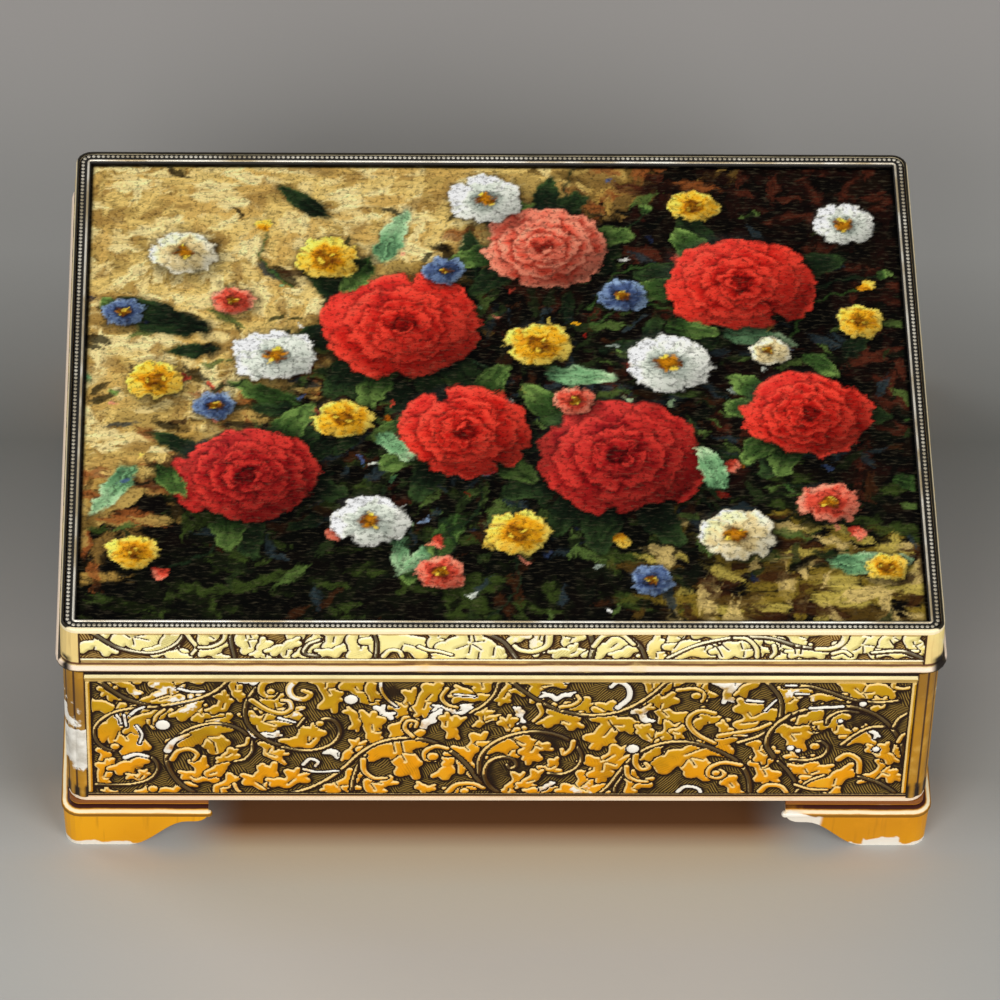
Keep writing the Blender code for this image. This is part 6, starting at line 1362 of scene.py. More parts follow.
def make_plunger_spring():
    """A coil of steel wire round the plunger."""
    low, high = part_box("plunger_spring")
    centre = (low + high) / 2
    mesh = bmesh.new()
    ring = bmesh.ops.create_circle(mesh, cap_ends=True, segments=8, radius=SPRING_WIRE)["verts"]
    bmesh.ops.rotate(mesh, verts=ring, cent=(0, 0, 0), matrix=Matrix.Rotation(math.pi / 2, 3, "X"))
    start = Vector((centre.x + SPRING_RADIUS, centre.y, low.z + SPRING_WIRE))
    bmesh.ops.translate(mesh, verts=ring, vec=start)
    climb = (high.z - low.z - 2 * SPRING_WIRE) / (SPRING_TURNS * SPRING_STEPS)
    bmesh.ops.spin(
        mesh,
        geom=mesh.verts[:] + mesh.edges[:] + mesh.faces[:],
        cent=(centre.x, centre.y, 0),
        axis=(0, 0, 1),
        dvec=(0, 0, climb),
        angle=2 * math.pi * SPRING_TURNS,
        steps=SPRING_TURNS * SPRING_STEPS,
        use_merge=False,
    )
    bmesh.ops.remove_doubles(mesh, verts=mesh.verts, dist=0.000001)
    bmesh.ops.recalc_face_normals(mesh, faces=mesh.faces)
    smooth_faces(mesh)
    spring = new_piece(mesh, "plunger_coil", bright_steel)
    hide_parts("plunger_spring")
    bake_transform(spring, "case", "plunger", start=(centre.x, centre.y, low.z), end=(centre.x, centre.y, high.z))


make_plunger_spring()


def window_material():
    """Clear plastic with a little dust on it."""
    pane, place, shader = new_material("clear_window")
    dust = place.noise(260.0, 4.0)
    feed(
        place,
        shader,
        Base_Color=srgb(236, 242, 244),
        Roughness=dust.rise(0.55, 0.85) * 0.05 + 0.01,
        Transmission_Weight=1.0,
        IOR=1.46,
    )
    return pane


dress(window_material(), "movement_window")
dress(wood_along_x, "window_ledge")


# Hinges: two butt hinges of brass strip let into the back edge, each leaf rolled round a steel pin and
# held by three countersunk screws.

dress(
    brass,
    "left_hinge_case_leaf",
    "left_hinge_lid_leaf",
    "right_hinge_case_leaf",
    "right_hinge_lid_leaf",
)
dress(steel, "left_hinge_pin", "right_hinge_pin")

CASE_LEAF_FACE, LID_LEAF_FACE = 0.0614, 0.0617
HEAD_SUNK = 0.00024
HINGE_MIDDLE_X = 0.055
HINGE_SCREW_Y = 0.0713
HINGE_SCREW_STEP = 0.008
for body, facing, level in (
    ("case", (0, 0, 1), CASE_LEAF_FACE - HEAD_SUNK),
    ("lid", (0, 0, -1), LID_LEAF_FACE + HEAD_SUNK),
):
    places = [
        (side * HINGE_MIDDLE_X + step * HINGE_SCREW_STEP, HINGE_SCREW_Y, level)
        for side in (-1, 1)
        for step in (-1, 0, 1)
    ]
    heads = make_screws("hinge_" + body + "_screws", steel, body, places, facing, 0.00105, 0.00032)


# Lid skirt: a second stamped band with a bolder scroll, a rolled bead at its foot and a rounded top edge,
# coloured a paler cream gilt than the case.

# Rows as on the case
BAND_STEMS = [
    (0.45, 0.45, 0, [(-94, 75.5), (-91, 72.5), (-87, 69.2), (-82, 67.6), (-78, 67.8), (-74, 70.5),
        (-72, 74)]),
    (0.5, 0.5, 0, [(-5, 75), (0, 71.5), (3, 66)]),
    (0.5, 0.5, 0, [(37.5, 66), (44, 70.5), (52, 73), (60, 73), (66, 70.5), (70, 69.5)]),
    (0.5, 0.5, 0, [(27, 74.6), (31, 70), (32.4, 66)]),
    (0.35, 0.35, 0, [(-29.6, 75.5), (-28.6, 71), (-28.8, 66)]),
    (0.4, 0.4, 0, [(-61.8, 75), (-61.4, 70), (-60.8, 66)]),
    (0.6, 0.6, 0, [(20, 66), (20.4, 70), (19.4, 75)]),
    (0.5, 0.5, 0, [(84, 68), (90, 68.6), (93, 67.5), (95.5, 66)]),
    (0.5, 0.5, 0, [(-42, 66.4), (-45, 67.5), (-44, 70.5), (-41.5, 72)]),
]
BAND_LEAVES = [
    ((-84, 73), 2.4, 0, [(-88.4, 75), (-80, 75.2), (-75, 73.6), (-79, 69.8), (-86.4, 69.8)]),
    ((-92.5, 70), 1.1, 0, [(-94.8, 68), (-90.4, 67), (-92, 73.4)]),
    ((-75.4, 68.2), 1.3, 0, [(-78.4, 66.6), (-73.2, 72.4), (-71.4, 66.6)]),
    ((-66.6, 73.6), 1.9, 0, [(-70, 75), (-63.4, 74.6), (-67, 71)]),
    ((-65, 67.2), 0.9, 0, [(-68, 66.4), (-61.8, 70), (-62.4, 66.2)]),
    ((-58, 72), 2.3, 0, [(-60.6, 75), (-56, 75.2), (-55.4, 69.6), (-58.8, 68.4)]),
    ((-53.8, 67.6), 1.3, 0, [(-55.4, 66.2), (-52.6, 70.4), (-51.8, 66)]),
    ((-47, 73.6), 1.7, 0, [(-50, 75), (-44.4, 75), (-47, 71.4)]),
    ((-49, 69), 1.0, 0, [(-51.4, 67), (-46.4, 70.2), (-47, 66.6)]),
    ((-43.2, 69), 1.3, 0, [(-44.6, 66.4), (-41, 71.4), (-42, 66.6)]),
    ((-38.4, 71), 1.4, 0, [(-41, 74.8), (-36, 73.6), (-38.6, 68.2)]),
    ((-38, 67), 0.9, 0, [(-41, 66.4), (-35.4, 68.4)]),
    ((-32.6, 72), 2.4, 0, [(-35, 75.2), (-30.6, 74.8), (-30, 68.4), (-34.4, 67)]),
    ((-26.8, 73.8), 1.0, 0, [(-29.2, 75), (-24.4, 75), (-28, 71)]),
    ((-22.8, 71), 2.4, 0, [(-27.8, 68.6), (-25.6, 73), (-19, 72.2), (-19.4, 66.8)]),
    ((-14.6, 73), 1.4, 0, [(-18.4, 75), (-11, 75), (-13.6, 69.6)]),
    ((-7.6, 71.2), 2.8, 0, [(-11, 75.2), (-4, 75), (-1.6, 69), (-5, 66.4), (-10.6, 66.8), (-13.4, 70.4)]),
    ((8.2, 72), 1.8, 0, [(6, 74.8), (10.4, 73.8), (9.4, 69)]),
    ((3.2, 72.6), 1.0, 0, [(1, 74.4), (5.6, 73), (2, 71)]),
    ((15, 71.4), 1.5, 0, [(13.2, 74.8), (17.8, 72.6), (15.6, 69.6)]),
    ((15.4, 67.4), 1.0, 0, [(12.4, 66.2), (18, 66.6), (15, 69.6)]),
    ((24.4, 69.4), 1.6, 0, [(22, 66.2), (27.6, 70.8), (24.8, 72.8)]),
    ((28, 67.4), 1.0, 0, [(26, 66.2), (30.4, 68.6)]),
    ((34.6, 68.2), 1.7, 0, [(33, 66.2), (36.4, 71), (37.4, 66.4)]),
    ((39.2, 73.8), 1.5, 0, [(36.6, 75), (42, 75), (39, 71.6)]),
    ((45.8, 68.6), 2.0, 0, [(40.6, 66.6), (43.4, 70.6), (49, 70), (49.8, 66.4)]),
    ((48, 74.4), 1.3, 0, [(44, 73.2), (51, 75.2), (53.6, 74)]),
    ((54.6, 69), 2.3, 0, [(51, 66.4), (51.4, 71), (55.8, 72.4), (57.6, 67)]),
    ((63, 69.6), 1.8, 0, [(60.2, 71.6), (64.4, 66.4), (66, 71.6), (61, 66.6)]),
    ((66.8, 73.8), 1.8, 0, [(62.4, 74.8), (70.4, 74.4), (68.6, 71.2)]),
    ((69.2, 67.4), 1.0, 0, [(66, 66.4), (72, 66.2), (68.4, 69.4)]),
    ((81.4, 70.8), 2.4, 0, [(78, 69), (80.8, 74.2), (84.6, 73.8), (84.2, 67), (79.6, 66.6)]),
    ((88.4, 73.4), 1.4, 0, [(86.2, 75), (90.6, 74.4), (88, 70)]),
    ((93.4, 70.6), 1.6, 0, [(91.6, 72), (94, 74), (95.6, 70), (93, 67.8)]),
    ((89.6, 67), 0.8, 0, [(85.8, 66.6), (93, 66.4)]),
]
BAND_CURLS = [
    (0.8, 0.5, 0, [(10.4, 73.6), (10, 70.2), (7, 68.2), (4, 68.6), (2.6, 70)]),
    (0.8, 0.5, 0, [(77.6, 75), (77, 71.6), (74.6, 69.4), (71.2, 69.2)]),
    (0.6, 0.45, 0, [(-27, 66.4), (-25.6, 68.4), (-23.6, 68.2), (-22.8, 66.4)]),
    (0.5, 0.4, 0, [(61.4, 70.4), (61.8, 68), (61, 66.4)]),
    (0.6, 0.45, 0, [(20.6, 70), (22.8, 73.6), (26.6, 74), (29.6, 70.6)]),
    (0.5, 0.4, 0, [(57.8, 66.4), (57.4, 69.6), (55.2, 72.6), (52.4, 73)]),
    (0.5, 0.35, 0, [(-72, 75), (-70.6, 72), (-69.4, 69.4), (-70.4, 67)]),
    (0.5, 0.35, 0, [(-62.6, 75), (-63.4, 71.6), (-66, 69.6), (-68.8, 69.4)]),
    (0.5, 0.35, 0, [(-19, 69.8), (-17, 68.6), (-14.6, 68.2), (-11.6, 67)]),
    (0.5, 0.4, 0, [(75, 67.6), (77.4, 68.4), (79, 67)]),
]
BAND_SLITS = [
    [(-86.6, 75), (-84.4, 73)], [(-8.2, 75), (-7.6, 72)], [(-7, 75), (-6.4, 71.6)],
    [(47, 71), (48.6, 69.6), (49.8, 66.8)], [(49.4, 71), (51.2, 69)], [(66, 70.4), (66.4, 67.8)],
    [(67.8, 70.2), (67.6, 67.8)], [(87.6, 72.6), (89, 69.8)], [(14, 73.6), (16, 73.2)],
    [(-5.6, 66), (-5.4, 68)], [(-2.2, 67), (-2, 69.6)], [(-57.6, 75), (-57, 73)],
    [(40.8, 73.6), (38.8, 69.6)],
]

skirt_relief = relief_material(
    "pale_gilt_scrolls",
    ground=srgb(84, 54, 14),
    hatch=srgb(206, 172, 96),
    line=srgb(46, 20, 0),
    rim=srgb(255, 244, 206),
    lower=srgb(252, 222, 122),
    upper=srgb(252, 238, 158),
    silver=srgb(255, 244, 216),
    low=0.064,
    high=0.072,
    bands=[(0.0647, 0.0650, srgb(204, 168, 112)), (0.0739, 0.0742, srgb(196, 166, 108))],
)


BAND_LOW_MM, BAND_HIGH_MM = 64.75, 74.15
BAND_STEP_MM = 0.2


def press_band(half):
    """The scrolls of one side of the skirt, with a plain line along their foot."""
    sheet = Stamping(-half, half, BAND_LOW_MM, BAND_HIGH_MM, BAND_STEP_MM)
    press_scrolls(sheet, BAND_STEMS, BAND_LEAVES, BAND_CURLS, [], BAND_SLITS, spread=1.6)
    sheet.stem([(-half, 65.0), (half, 65.0)], 0.3, 0.3, 0.3)
    return sheet


SKIRT_TOP_INSET_MM = 1.3
SKIRT_PANEL_DEPTH_MM = 0.26
LID_HALF_X, LID_HALF_Y = 0.1015, 0.078
long_band, short_band = press_band(95.7), press_band(72.2)
for side, sheet, reach in (
    ("front", long_band, LID_HALF_Y),
    ("rear", long_band, LID_HALF_Y),
    ("left", short_band, LID_HALF_X),
    ("right", short_band, LID_HALF_X),
):
    _, along, out = wall_frame("case_cladding", side)
    wall = Vector((0, BOX_MIDDLE_Y, 0)) + out * reach, along, out
    ground = -SKIRT_TOP_INSET_MM - SKIRT_PANEL_DEPTH_MM
    lay_stamping(sheet, side + "_lid_scrolls", wall, ground, skirt_relief, "lid")

skirt_gilt = gilt_material(
    "skirt_gilt",
    warm=srgb(248, 202, 108),
    cool=srgb(240, 210, 136),
    line=srgb(150, 100, 40),
    silver=srgb(255, 240, 212),
    # Painted highlights on the bead at the foot and on the rounded top edge; dark bands for the groove above the
    # bead and painted shade on its underside
    painted_highlight_bands=[(0.0628, 0.0639, srgb(250, 226, 202)), (0.0743, 0.0756, srgb(252, 234, 190))],
    groove_and_shade_bands=[(0.0640, 0.0647, srgb(112, 72, 44)), (0.0614, 0.0627, srgb(62, 34, 16))],
    wear=0.2,
    painted_shade_and_seam=True,
)
dress(skirt_gilt, "lid_skirt")


# Bezel: a band of tin with a row of pressed beads between two grooves, laid round the picture. Its inner
# lip holds the picture down.

BEAD_PITCH_MM = 1.17
BEAD_SAMPLES = 6
LID_RADIUS = 0.005
BEZEL_TOP = 0.0755
BEAD_MIDDLE_MM, BEAD_RADIUS_MM, GROOVE_MM = -3.0, 0.45, 0.4
BEAD_TURNS = np.linspace(0.12, math.pi - 0.12, 7)

# Points of its section: place inwards from the lid's edge and height over its top. None is the bead row.
BEZEL_SECTION_MM = [
    (-2.4, -1.1),
    (-2.4, -0.45),
    (-2.42, -0.28),
    (-2.5, -0.3),
    (-2.56, -0.4),
    *[(BEAD_MIDDLE_MM + BEAD_RADIUS_MM * math.cos(turn), None) for turn in BEAD_TURNS],
    (-3.56, -0.42),
    (-3.98, -0.42),
    (-4.1, -0.2),
    (-4.2, -0.12),
    (-4.38, -0.12),
    (-4.46, -0.2),
    (-4.6, -0.4),
    (-4.85, -0.5),
    (-4.85, -1.1),
]


def make_bezel():
    """Sweeps the section round the lid and lifts the beads out of it."""
    corner = LID_RADIUS + BEAD_MIDDLE_MM * MM
    half_x, half_y = LID_HALF_X + BEAD_MIDDLE_MM * MM, LID_HALF_Y + BEAD_MIDDLE_MM * MM
    length = outline_length(half_x, half_y, corner)
    beads = round(length / (BEAD_PITCH_MM * MM))
    count = beads * BEAD_SAMPLES
    mesh = bmesh.new()
    bmesh.ops.create_grid(mesh, x_segments=count, y_segments=len(BEZEL_SECTION_MM), size=1.0)
    bead_layer = mesh.verts.layers.float.new("bead")
    for vertex in mesh.verts:
        number = round((vertex.co.x + 1) / 2 * count) % count
        row = round((vertex.co.y + 1) / 2 * len(BEZEL_SECTION_MM)) % len(BEZEL_SECTION_MM)
        offset, level = BEZEL_SECTION_MM[row]
        if level is None:
            travel = (number % BEAD_SAMPLES - BEAD_SAMPLES / 2) / BEAD_SAMPLES * BEAD_PITCH_MM
            away = math.hypot(travel, offset - BEAD_MIDDLE_MM)
            dome = math.sqrt(max(0.0, BEAD_RADIUS_MM**2 - away**2))
            level = dome - GROOVE_MM - 0.03
            vertex[bead_layer] = dome / BEAD_RADIUS_MM
        else:
            vertex[bead_layer] = 0.0 if level < -0.35 else (1.6 if offset < -4.0 else 0.0)
        point, out = outline_at(half_x, half_y, corner, number * length / count)
        point = point + out * ((offset - BEAD_MIDDLE_MM) * MM)
        vertex.co = Vector((point.x, point.y + BOX_MIDDLE_Y, BEZEL_TOP + level * MM))
    bmesh.ops.remove_doubles(mesh, verts=mesh.verts, dist=0.0000005)
    bmesh.ops.recalc_face_normals(mesh, faces=mesh.faces)
    smooth_faces(mesh)
    tin, place, shader = new_material("bezel_gilt")
    soft = place.noise(60.0, 3.0)
    fine = place.noise(1800.0, 2.0)
    bead = place.attribute("bead") + (fine - 0.5) * 0.2
    # Painted highlights on the crests of the beads and on the inner lip; every other face is painted near black
    # as shade
    painted_highlights = soft.rise(0.35, 0.65).mix(srgb(150, 138, 112), srgb(206, 200, 184))
    lip = soft.rise(0.4, 0.6).mix(srgb(196, 176, 138), srgb(250, 244, 230))
    painted_highlights = bead.rise(1.1, 1.35).mix(painted_highlights, lip)
    colour = bead.rise(0.15, 0.5).mix(srgb(16, 11, 6), painted_highlights)
    feed(
        place,
        shader,
        fine,
        0.00004,
        Base_Color=colour,
        Metallic=bead.rise(0.3, 0.7) * 0.5,
        Roughness=bead.rise(0.3, 0.7).blend(0.7, 0.36),
    )
    bezel = new_piece(mesh, "bead_bezel", tin, "lid")
    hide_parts("beaded_bezel")


make_bezel()


# Picture: a printed board under the bezel. Its design here is a common one of garden flowers, painted with
# soft brush marks on a ground that goes from ochre to dark brown, and varnished.


class Painting(Stamping):
    """A board on which painted forms lie over each other. Each point keeps the paint of the topmost one."""

    def __init__(self, left, right, low, high, step):
        super().__init__(left, right, low, high, step)
        self.paint = np.zeros((*self.edge.shape, 3))

    def lay(self, window, depth, colours):
        """Lays soft edged paint, and a little shade just outside it."""
        paint = self.paint[window]
        beside = np.where(depth < 0, np.clip(1 + depth, 0, 1), 0)[..., None]
        paint = paint * (1 - 0.45 * beside)
        solid = np.clip(depth / 0.5 + 0.5, 0, 1)[..., None]
        self.paint[window] = paint * (1 - solid) + colours * solid

    def daub(self, place, angle, reach, width, tone, bristle, strength):
        """One stroke of a flat brush, streaky along its length and ragged at its ends."""
        window = self.near(np.array([place], float), reach)
        if self.edge[window].size == 0:
            return
        x, y = self.across[window] - place[0], self.up[window] - place[1]
        u = (x * math.cos(angle) + y * math.sin(angle)) / (0.5 * reach)
        v = (y * math.cos(angle) - x * math.sin(angle)) / (0.5 * width)
        streak = np.sin(v * 5 + bristle) * np.sin(v * 11 + 2 * bristle)
        solid = strength * np.clip((1 - np.hypot(u, v) + 0.3 * streak * np.abs(u)) * 3, 0, 1)[..., None]
        toned = np.array(tone) * (1 + 0.25 * streak[..., None])
        self.paint[window] = self.paint[window] * (1 - solid) + toned * solid

    def smear(self, chance):
        """Lets every outline wander by half a millimetre or so, as a brush does."""
        shifts = []
        for _ in range(2):
            field = np.zeros(self.edge.shape)
            for _ in range(7):
                angle, length = chance.uniform(0, math.pi), chance.uniform(1.6, 6.0)
                way = self.across * math.cos(angle) + self.up * math.sin(angle)
                field += 0.75 * np.sin(way * 2 * math.pi / length + chance.uniform(0, 6.28))
            shifts.append(field * 0.55)
        rows, columns = self.edge.shape
        row, column = np.meshgrid(np.arange(rows), np.arange(columns), indexing="ij")
        row = np.clip(np.round(row + shifts[0]).astype(int), 0, rows - 1)
        column = np.clip(np.round(column + shifts[1]).astype(int), 0, columns - 1)
        self.paint = self.paint[row, column]

    def petal(self, root, tip, width, tones, swell=0.3, ruffle=0.05, phase=0.0, bend=0.0):
        """One petal: deep in tone at its root and in its folds, and pale at its lip."""
        root, tip = np.array(root, float), np.array(tip, float)
        along = tip - root
        reach = math.hypot(*along)
        window = self.near(np.array([root, tip]), width * 0.8)
        if self.edge[window].size == 0:
            return
        middle = (root + tip) / 2
        x, y = self.across[window] - middle[0], self.up[window] - middle[1]
        u = (x * along[0] + y * along[1]) / reach / (0.5 * reach)
        v = (-x * along[1] + y * along[0]) / reach / (0.5 * width)
        v = v - bend * (1 - u**2)
        angle = np.arctan2(v, u)
        rim = 1 + ruffle * np.sin(6 * angle + phase) + 0.5 * ruffle * np.sin(13 * angle + 2 * phase)
        radius = np.hypot(u, v / np.clip(1 + swell * u, 0.3, 2)) / rim
        depth = (1 - radius) * 0.5 * min(reach, width)
        fold = 0.5 + 0.5 * np.sin(v * 9 + phase * 3 + np.sin(u * 3 + phase) * 1.3)
        light = np.clip(0.5 + 0.42 * u + 0.16 * (fold - 0.5) + 0.14 * np.sin(phase * 7 + u * 5), 0, 1)
        light = np.where(radius > 0.86, np.clip(light + 0.16, 0, 1), light)[..., None]
        deep, mild, pale = (np.array(tone) for tone in tones)
        shaded, lit = deep + (mild - deep) * light * 2, mild + (pale - mild) * (light * 2 - 1)
        self.lay(window, depth, np.where(light < 0.5, shaded, lit))

    def dab(self, place, radius, tone):
        """A round spot of one tone."""
        window = self.near(np.array([place], float), radius + 1)
        if self.edge[window].size:
            depth = radius - np.hypot(self.across[window] - place[0], self.up[window] - place[1])
            self.lay(window, depth, np.array(tone))

    def stroke(self, points, start, end, tone):
        """A line of one tone through the points that goes from one radius to another."""
        line = smooth_line(points)
        window = self.near(line, max(start, end) + 1)
        if self.edge[window].size:
            depth = self.inside(window, line, np.linspace(start, end, len(line)))
            self.lay(window, depth, np.array(tone))

    def shadow(self, centre, radius, strength):
        """A soft shadow on what lies behind a bloom, below it and to its right."""
        window = self.near(np.array([centre], float), 1.7 * radius)
        if self.edge[window].size:
            x = (self.across[window] - centre[0]) / radius - 0.14
            y = (self.up[window] - centre[1]) / radius + 0.2
            self.paint[window] *= 1 - strength * np.clip((1.35 - np.hypot(x, y)) / 0.4, 0, 1)[..., None]

    def model(self, centre, radius, strength):
        """Light from the upper left on a bloom, and its own shade at the lower right."""
        window = self.near(np.array([centre], float), 1.3 * radius)
        if self.edge[window].size:
            x, y = (self.across[window] - centre[0]) / radius, (self.up[window] - centre[1]) / radius
            inside = np.clip((1.12 - np.hypot(x, y / 0.88)) / 0.15, 0, 1)
            slope = 0.6 * x - 0.8 * y
            dark = (strength * inside * np.clip(slope + 0.15, 0, 1))[..., None]
            light = (0.3 * inside * np.clip(-slope - 0.25, 0, 1))[..., None]
            paint = self.paint[window] * (1 - dark)
            self.paint[window] = paint * (1 + light) + 0.08 * light


def turned_to(centre, angle, reach, squash=1.0):
    """The point so far from a centre at an angle, drawn nearer up and down by squash."""
    return centre[0] + reach * math.cos(angle), centre[1] + reach * math.sin(angle) * squash


# Each a deep, a middle and a pale tone
RED = (srgb(92, 8, 8), srgb(190, 34, 26), srgb(232, 74, 56))
CRIMSON = (srgb(58, 6, 10), srgb(150, 22, 26), srgb(206, 62, 52))
CORAL = (srgb(140, 34, 24), srgb(214, 84, 62), srgb(240, 150, 122))
WHITE = (srgb(150, 160, 148), srgb(222, 226, 212), srgb(252, 250, 240))
CREAM = (srgb(170, 140, 80), srgb(232, 212, 160), srgb(250, 242, 214))
GOLD = (srgb(176, 98, 12), srgb(232, 172, 34), srgb(250, 222, 108))
BLUE = (srgb(30, 38, 62), srgb(74, 92, 130), srgb(140, 162, 190))
GREEN = (srgb(22, 34, 18), srgb(64, 92, 44), srgb(130, 158, 84))
DARK_GREEN = (srgb(12, 18, 12), srgb(30, 46, 28), srgb(62, 84, 46))
MINT = (srgb(60, 96, 66), srgb(128, 172, 124), srgb(196, 222, 176))
HEART = (srgb(120, 66, 10), srgb(196, 130, 20), srgb(246, 214, 80))
ROSE_SQUASH, BLOSSOM_SQUASH = 0.86, 0.85


def paint_leaf(board, base, tip, width, tones, phase):
    """A leaf from its base to its tip, with its rib."""
    board.petal(base, tip, width, tones, swell=-0.25, ruffle=0.02, phase=phase, bend=0.25 * math.sin(phase))
    middle = ((base[0] + tip[0]) / 2, (base[1] + tip[1]) / 2)
    bow = 0.12 * width * math.sin(phase)
    middle = (middle[0] - bow * (tip[1] - base[1]) / 10, middle[1] + bow * (tip[0] - base[0]) / 10)
    board.stroke([base, middle, tip], 0.3, 0.1, tones[1])


def paint_rose(board, centre, radius, tones, chance):
    """A full garden rose: rings of cupped petals that close towards the heart."""
    start = chance.uniform(0, 6.28)
    for ring, (count, inner, outer, wide) in enumerate(
        ((6, 0.25, 1.0, 0.86), (5, 0.12, 0.74, 0.7), (5, 0.04, 0.52, 0.5), (4, 0.0, 0.33, 0.34))
    ):
        for number in range(count):
            angle = start + ring * 0.55 + number * 2 * math.pi / count + chance.uniform(-0.16, 0.16)
            reach = radius * outer * chance.uniform(0.92, 1.06)
            board.petal(
                turned_to(centre, angle, radius * inner, ROSE_SQUASH),
                turned_to(centre, angle, reach, ROSE_SQUASH),
                radius * wide * chance.uniform(0.92, 1.1),
                tones,
                swell=0.42,
                ruffle=0.045,
                phase=chance.uniform(0, 6.28),
                bend=chance.uniform(-0.18, 0.18),
            )
    for number in range(3):
        angle = start + number * 2.1
        points = [
            turned_to(centre, angle + share, radius * (0.16 - 0.03 * share), ROSE_SQUASH)
            for share in (0, 0.8, 1.6)
        ]
        board.stroke(points, 0.5, 0.3, tones[number % 2 * 2])
    for number in range(round(1.4 * radius)):
        angle = chance.uniform(0, 6.28)
        place = turned_to(centre, angle, radius * chance.uniform(0.2, 0.95), ROSE_SQUASH)
        long = chance.uniform(0.16, 0.3) * radius
        lean = angle + 1.57 + chance.uniform(-0.3, 0.3)
        board.daub(place, lean, long, 0.22 * long, tones[number % 3], angle, 0.4)


def paint_blossom(board, centre, radius, tones, petals, chance):
    """A flat flower with one ring of petals round a dotted heart."""
    start = chance.uniform(0, 6.28)
    for number in range(petals):
        angle = start + number * 2 * math.pi / petals + chance.uniform(-0.12, 0.12)
        board.petal(
            turned_to(centre, angle, radius * 0.1, BLOSSOM_SQUASH),
            turned_to(centre, angle, radius * chance.uniform(0.9, 1.08), BLOSSOM_SQUASH),
            radius * 5.2 / (petals + 0.6),
            tones,
            swell=0.35,
            ruffle=0.06,
            phase=chance.uniform(0, 6.28),
        )
    board.dab(centre, radius * 0.2, HEART[1])
    for number in range(7):
        place = turned_to(centre, number * 0.9 + start, radius * 0.24, BLOSSOM_SQUASH)
        board.dab(place, radius * 0.055 + 0.1, HEART[number % 3])


# Rows: centre, radius, tones
ROSES = [
    ((-22, 20), 19, RED),
    ((28, -22), 20, CRIMSON),
    ((58, 34), 18, RED),
    ((-58, -28), 17, CRIMSON),
    ((72, -8), 15, RED),
    ((12, 46), 15, CORAL),
    ((-8, -14), 16, RED),
]

# Rows: centre, radius, tones, petals
BLOSSOMS = [
    ((-52, 10), 10, WHITE, 6), ((40, 8), 11, WHITE, 6), ((-30, -42), 9, WHITE, 5), ((84, 54), 8, WHITE, 6),
    ((-2, 62), 9, WHITE, 6), ((54, -46), 9, CREAM, 5), ((-74, 44), 8, CREAM, 5), ((10, 14), 8, GOLD, 6),
    ((-40, 42), 8, GOLD, 6), ((-80, 2), 7, GOLD, 5), ((4, -46), 8, GOLD, 6), ((86, 22), 6, GOLD, 5),
    ((-36, -10), 7, GOLD, 5), ((48, 60), 6, GOLD, 5), ((-84, -52), 6, GOLD, 5), ((30, 30), 6, BLUE, 5),
    ((-66, -6), 5, BLUE, 5), ((-12, 38), 5, BLUE, 5), ((76, -36), 7, CORAL, 5), ((-14, -58), 6, CORAL, 5),
    ((88, -56), 5, GOLD, 5), ((-88, 24), 5, BLUE, 5), ((34, -60), 5, BLUE, 5), ((18, -4), 5, CORAL, 5),
    ((-62, 28), 5, CORAL, 5), ((64, 12), 5, CREAM, 5),
]


OCHRES = ((224, 202, 140), (212, 184, 112), (196, 162, 92), (230, 212, 154), (158, 126, 68))
UMBERS = ((168, 140, 78), (128, 100, 52), (176, 142, 74), (104, 80, 38), (142, 84, 42))
STRAWS = ((176, 158, 78), (128, 108, 40), (196, 172, 110), (86, 66, 26), (60, 34, 16))
MOSSES = ((6, 7, 5), (9, 10, 6), (18, 22, 10), (58, 72, 30), (4, 4, 3))
BROWNS = ((16, 6, 4), (34, 14, 9), (8, 4, 3), (80, 38, 24), (26, 16, 8))


def ground_tone(place, chance):
    """Ochre at the upper left, umber beside it, and dark beyond, with straw at the lower right."""
    x, y = place
    depth = x - 1.1 * y + chance.gauss(0, 9)
    if depth < -60:
        tones = OCHRES
    elif depth < -38:
        tones = UMBERS
    elif x > 34 + chance.gauss(0, 7) and y < -48 + chance.gauss(0, 5):
        tones = STRAWS
    elif y < -30 + chance.gauss(0, 8):
        tones = MOSSES
    else:
        tones = BROWNS
    return srgb(*chance.choice(tones))


FOLIAGE = (
    srgb(6, 8, 5),
    srgb(16, 22, 12),
    srgb(3, 3, 2),
    srgb(40, 52, 26),
    srgb(46, 58, 62),
    srgb(60, 34, 16),
    srgb(84, 104, 52),
    srgb(7, 4, 3),
)


PICTURE_HALF_X_MM, PICTURE_HALF_Y_MM = 97.0, 73.5


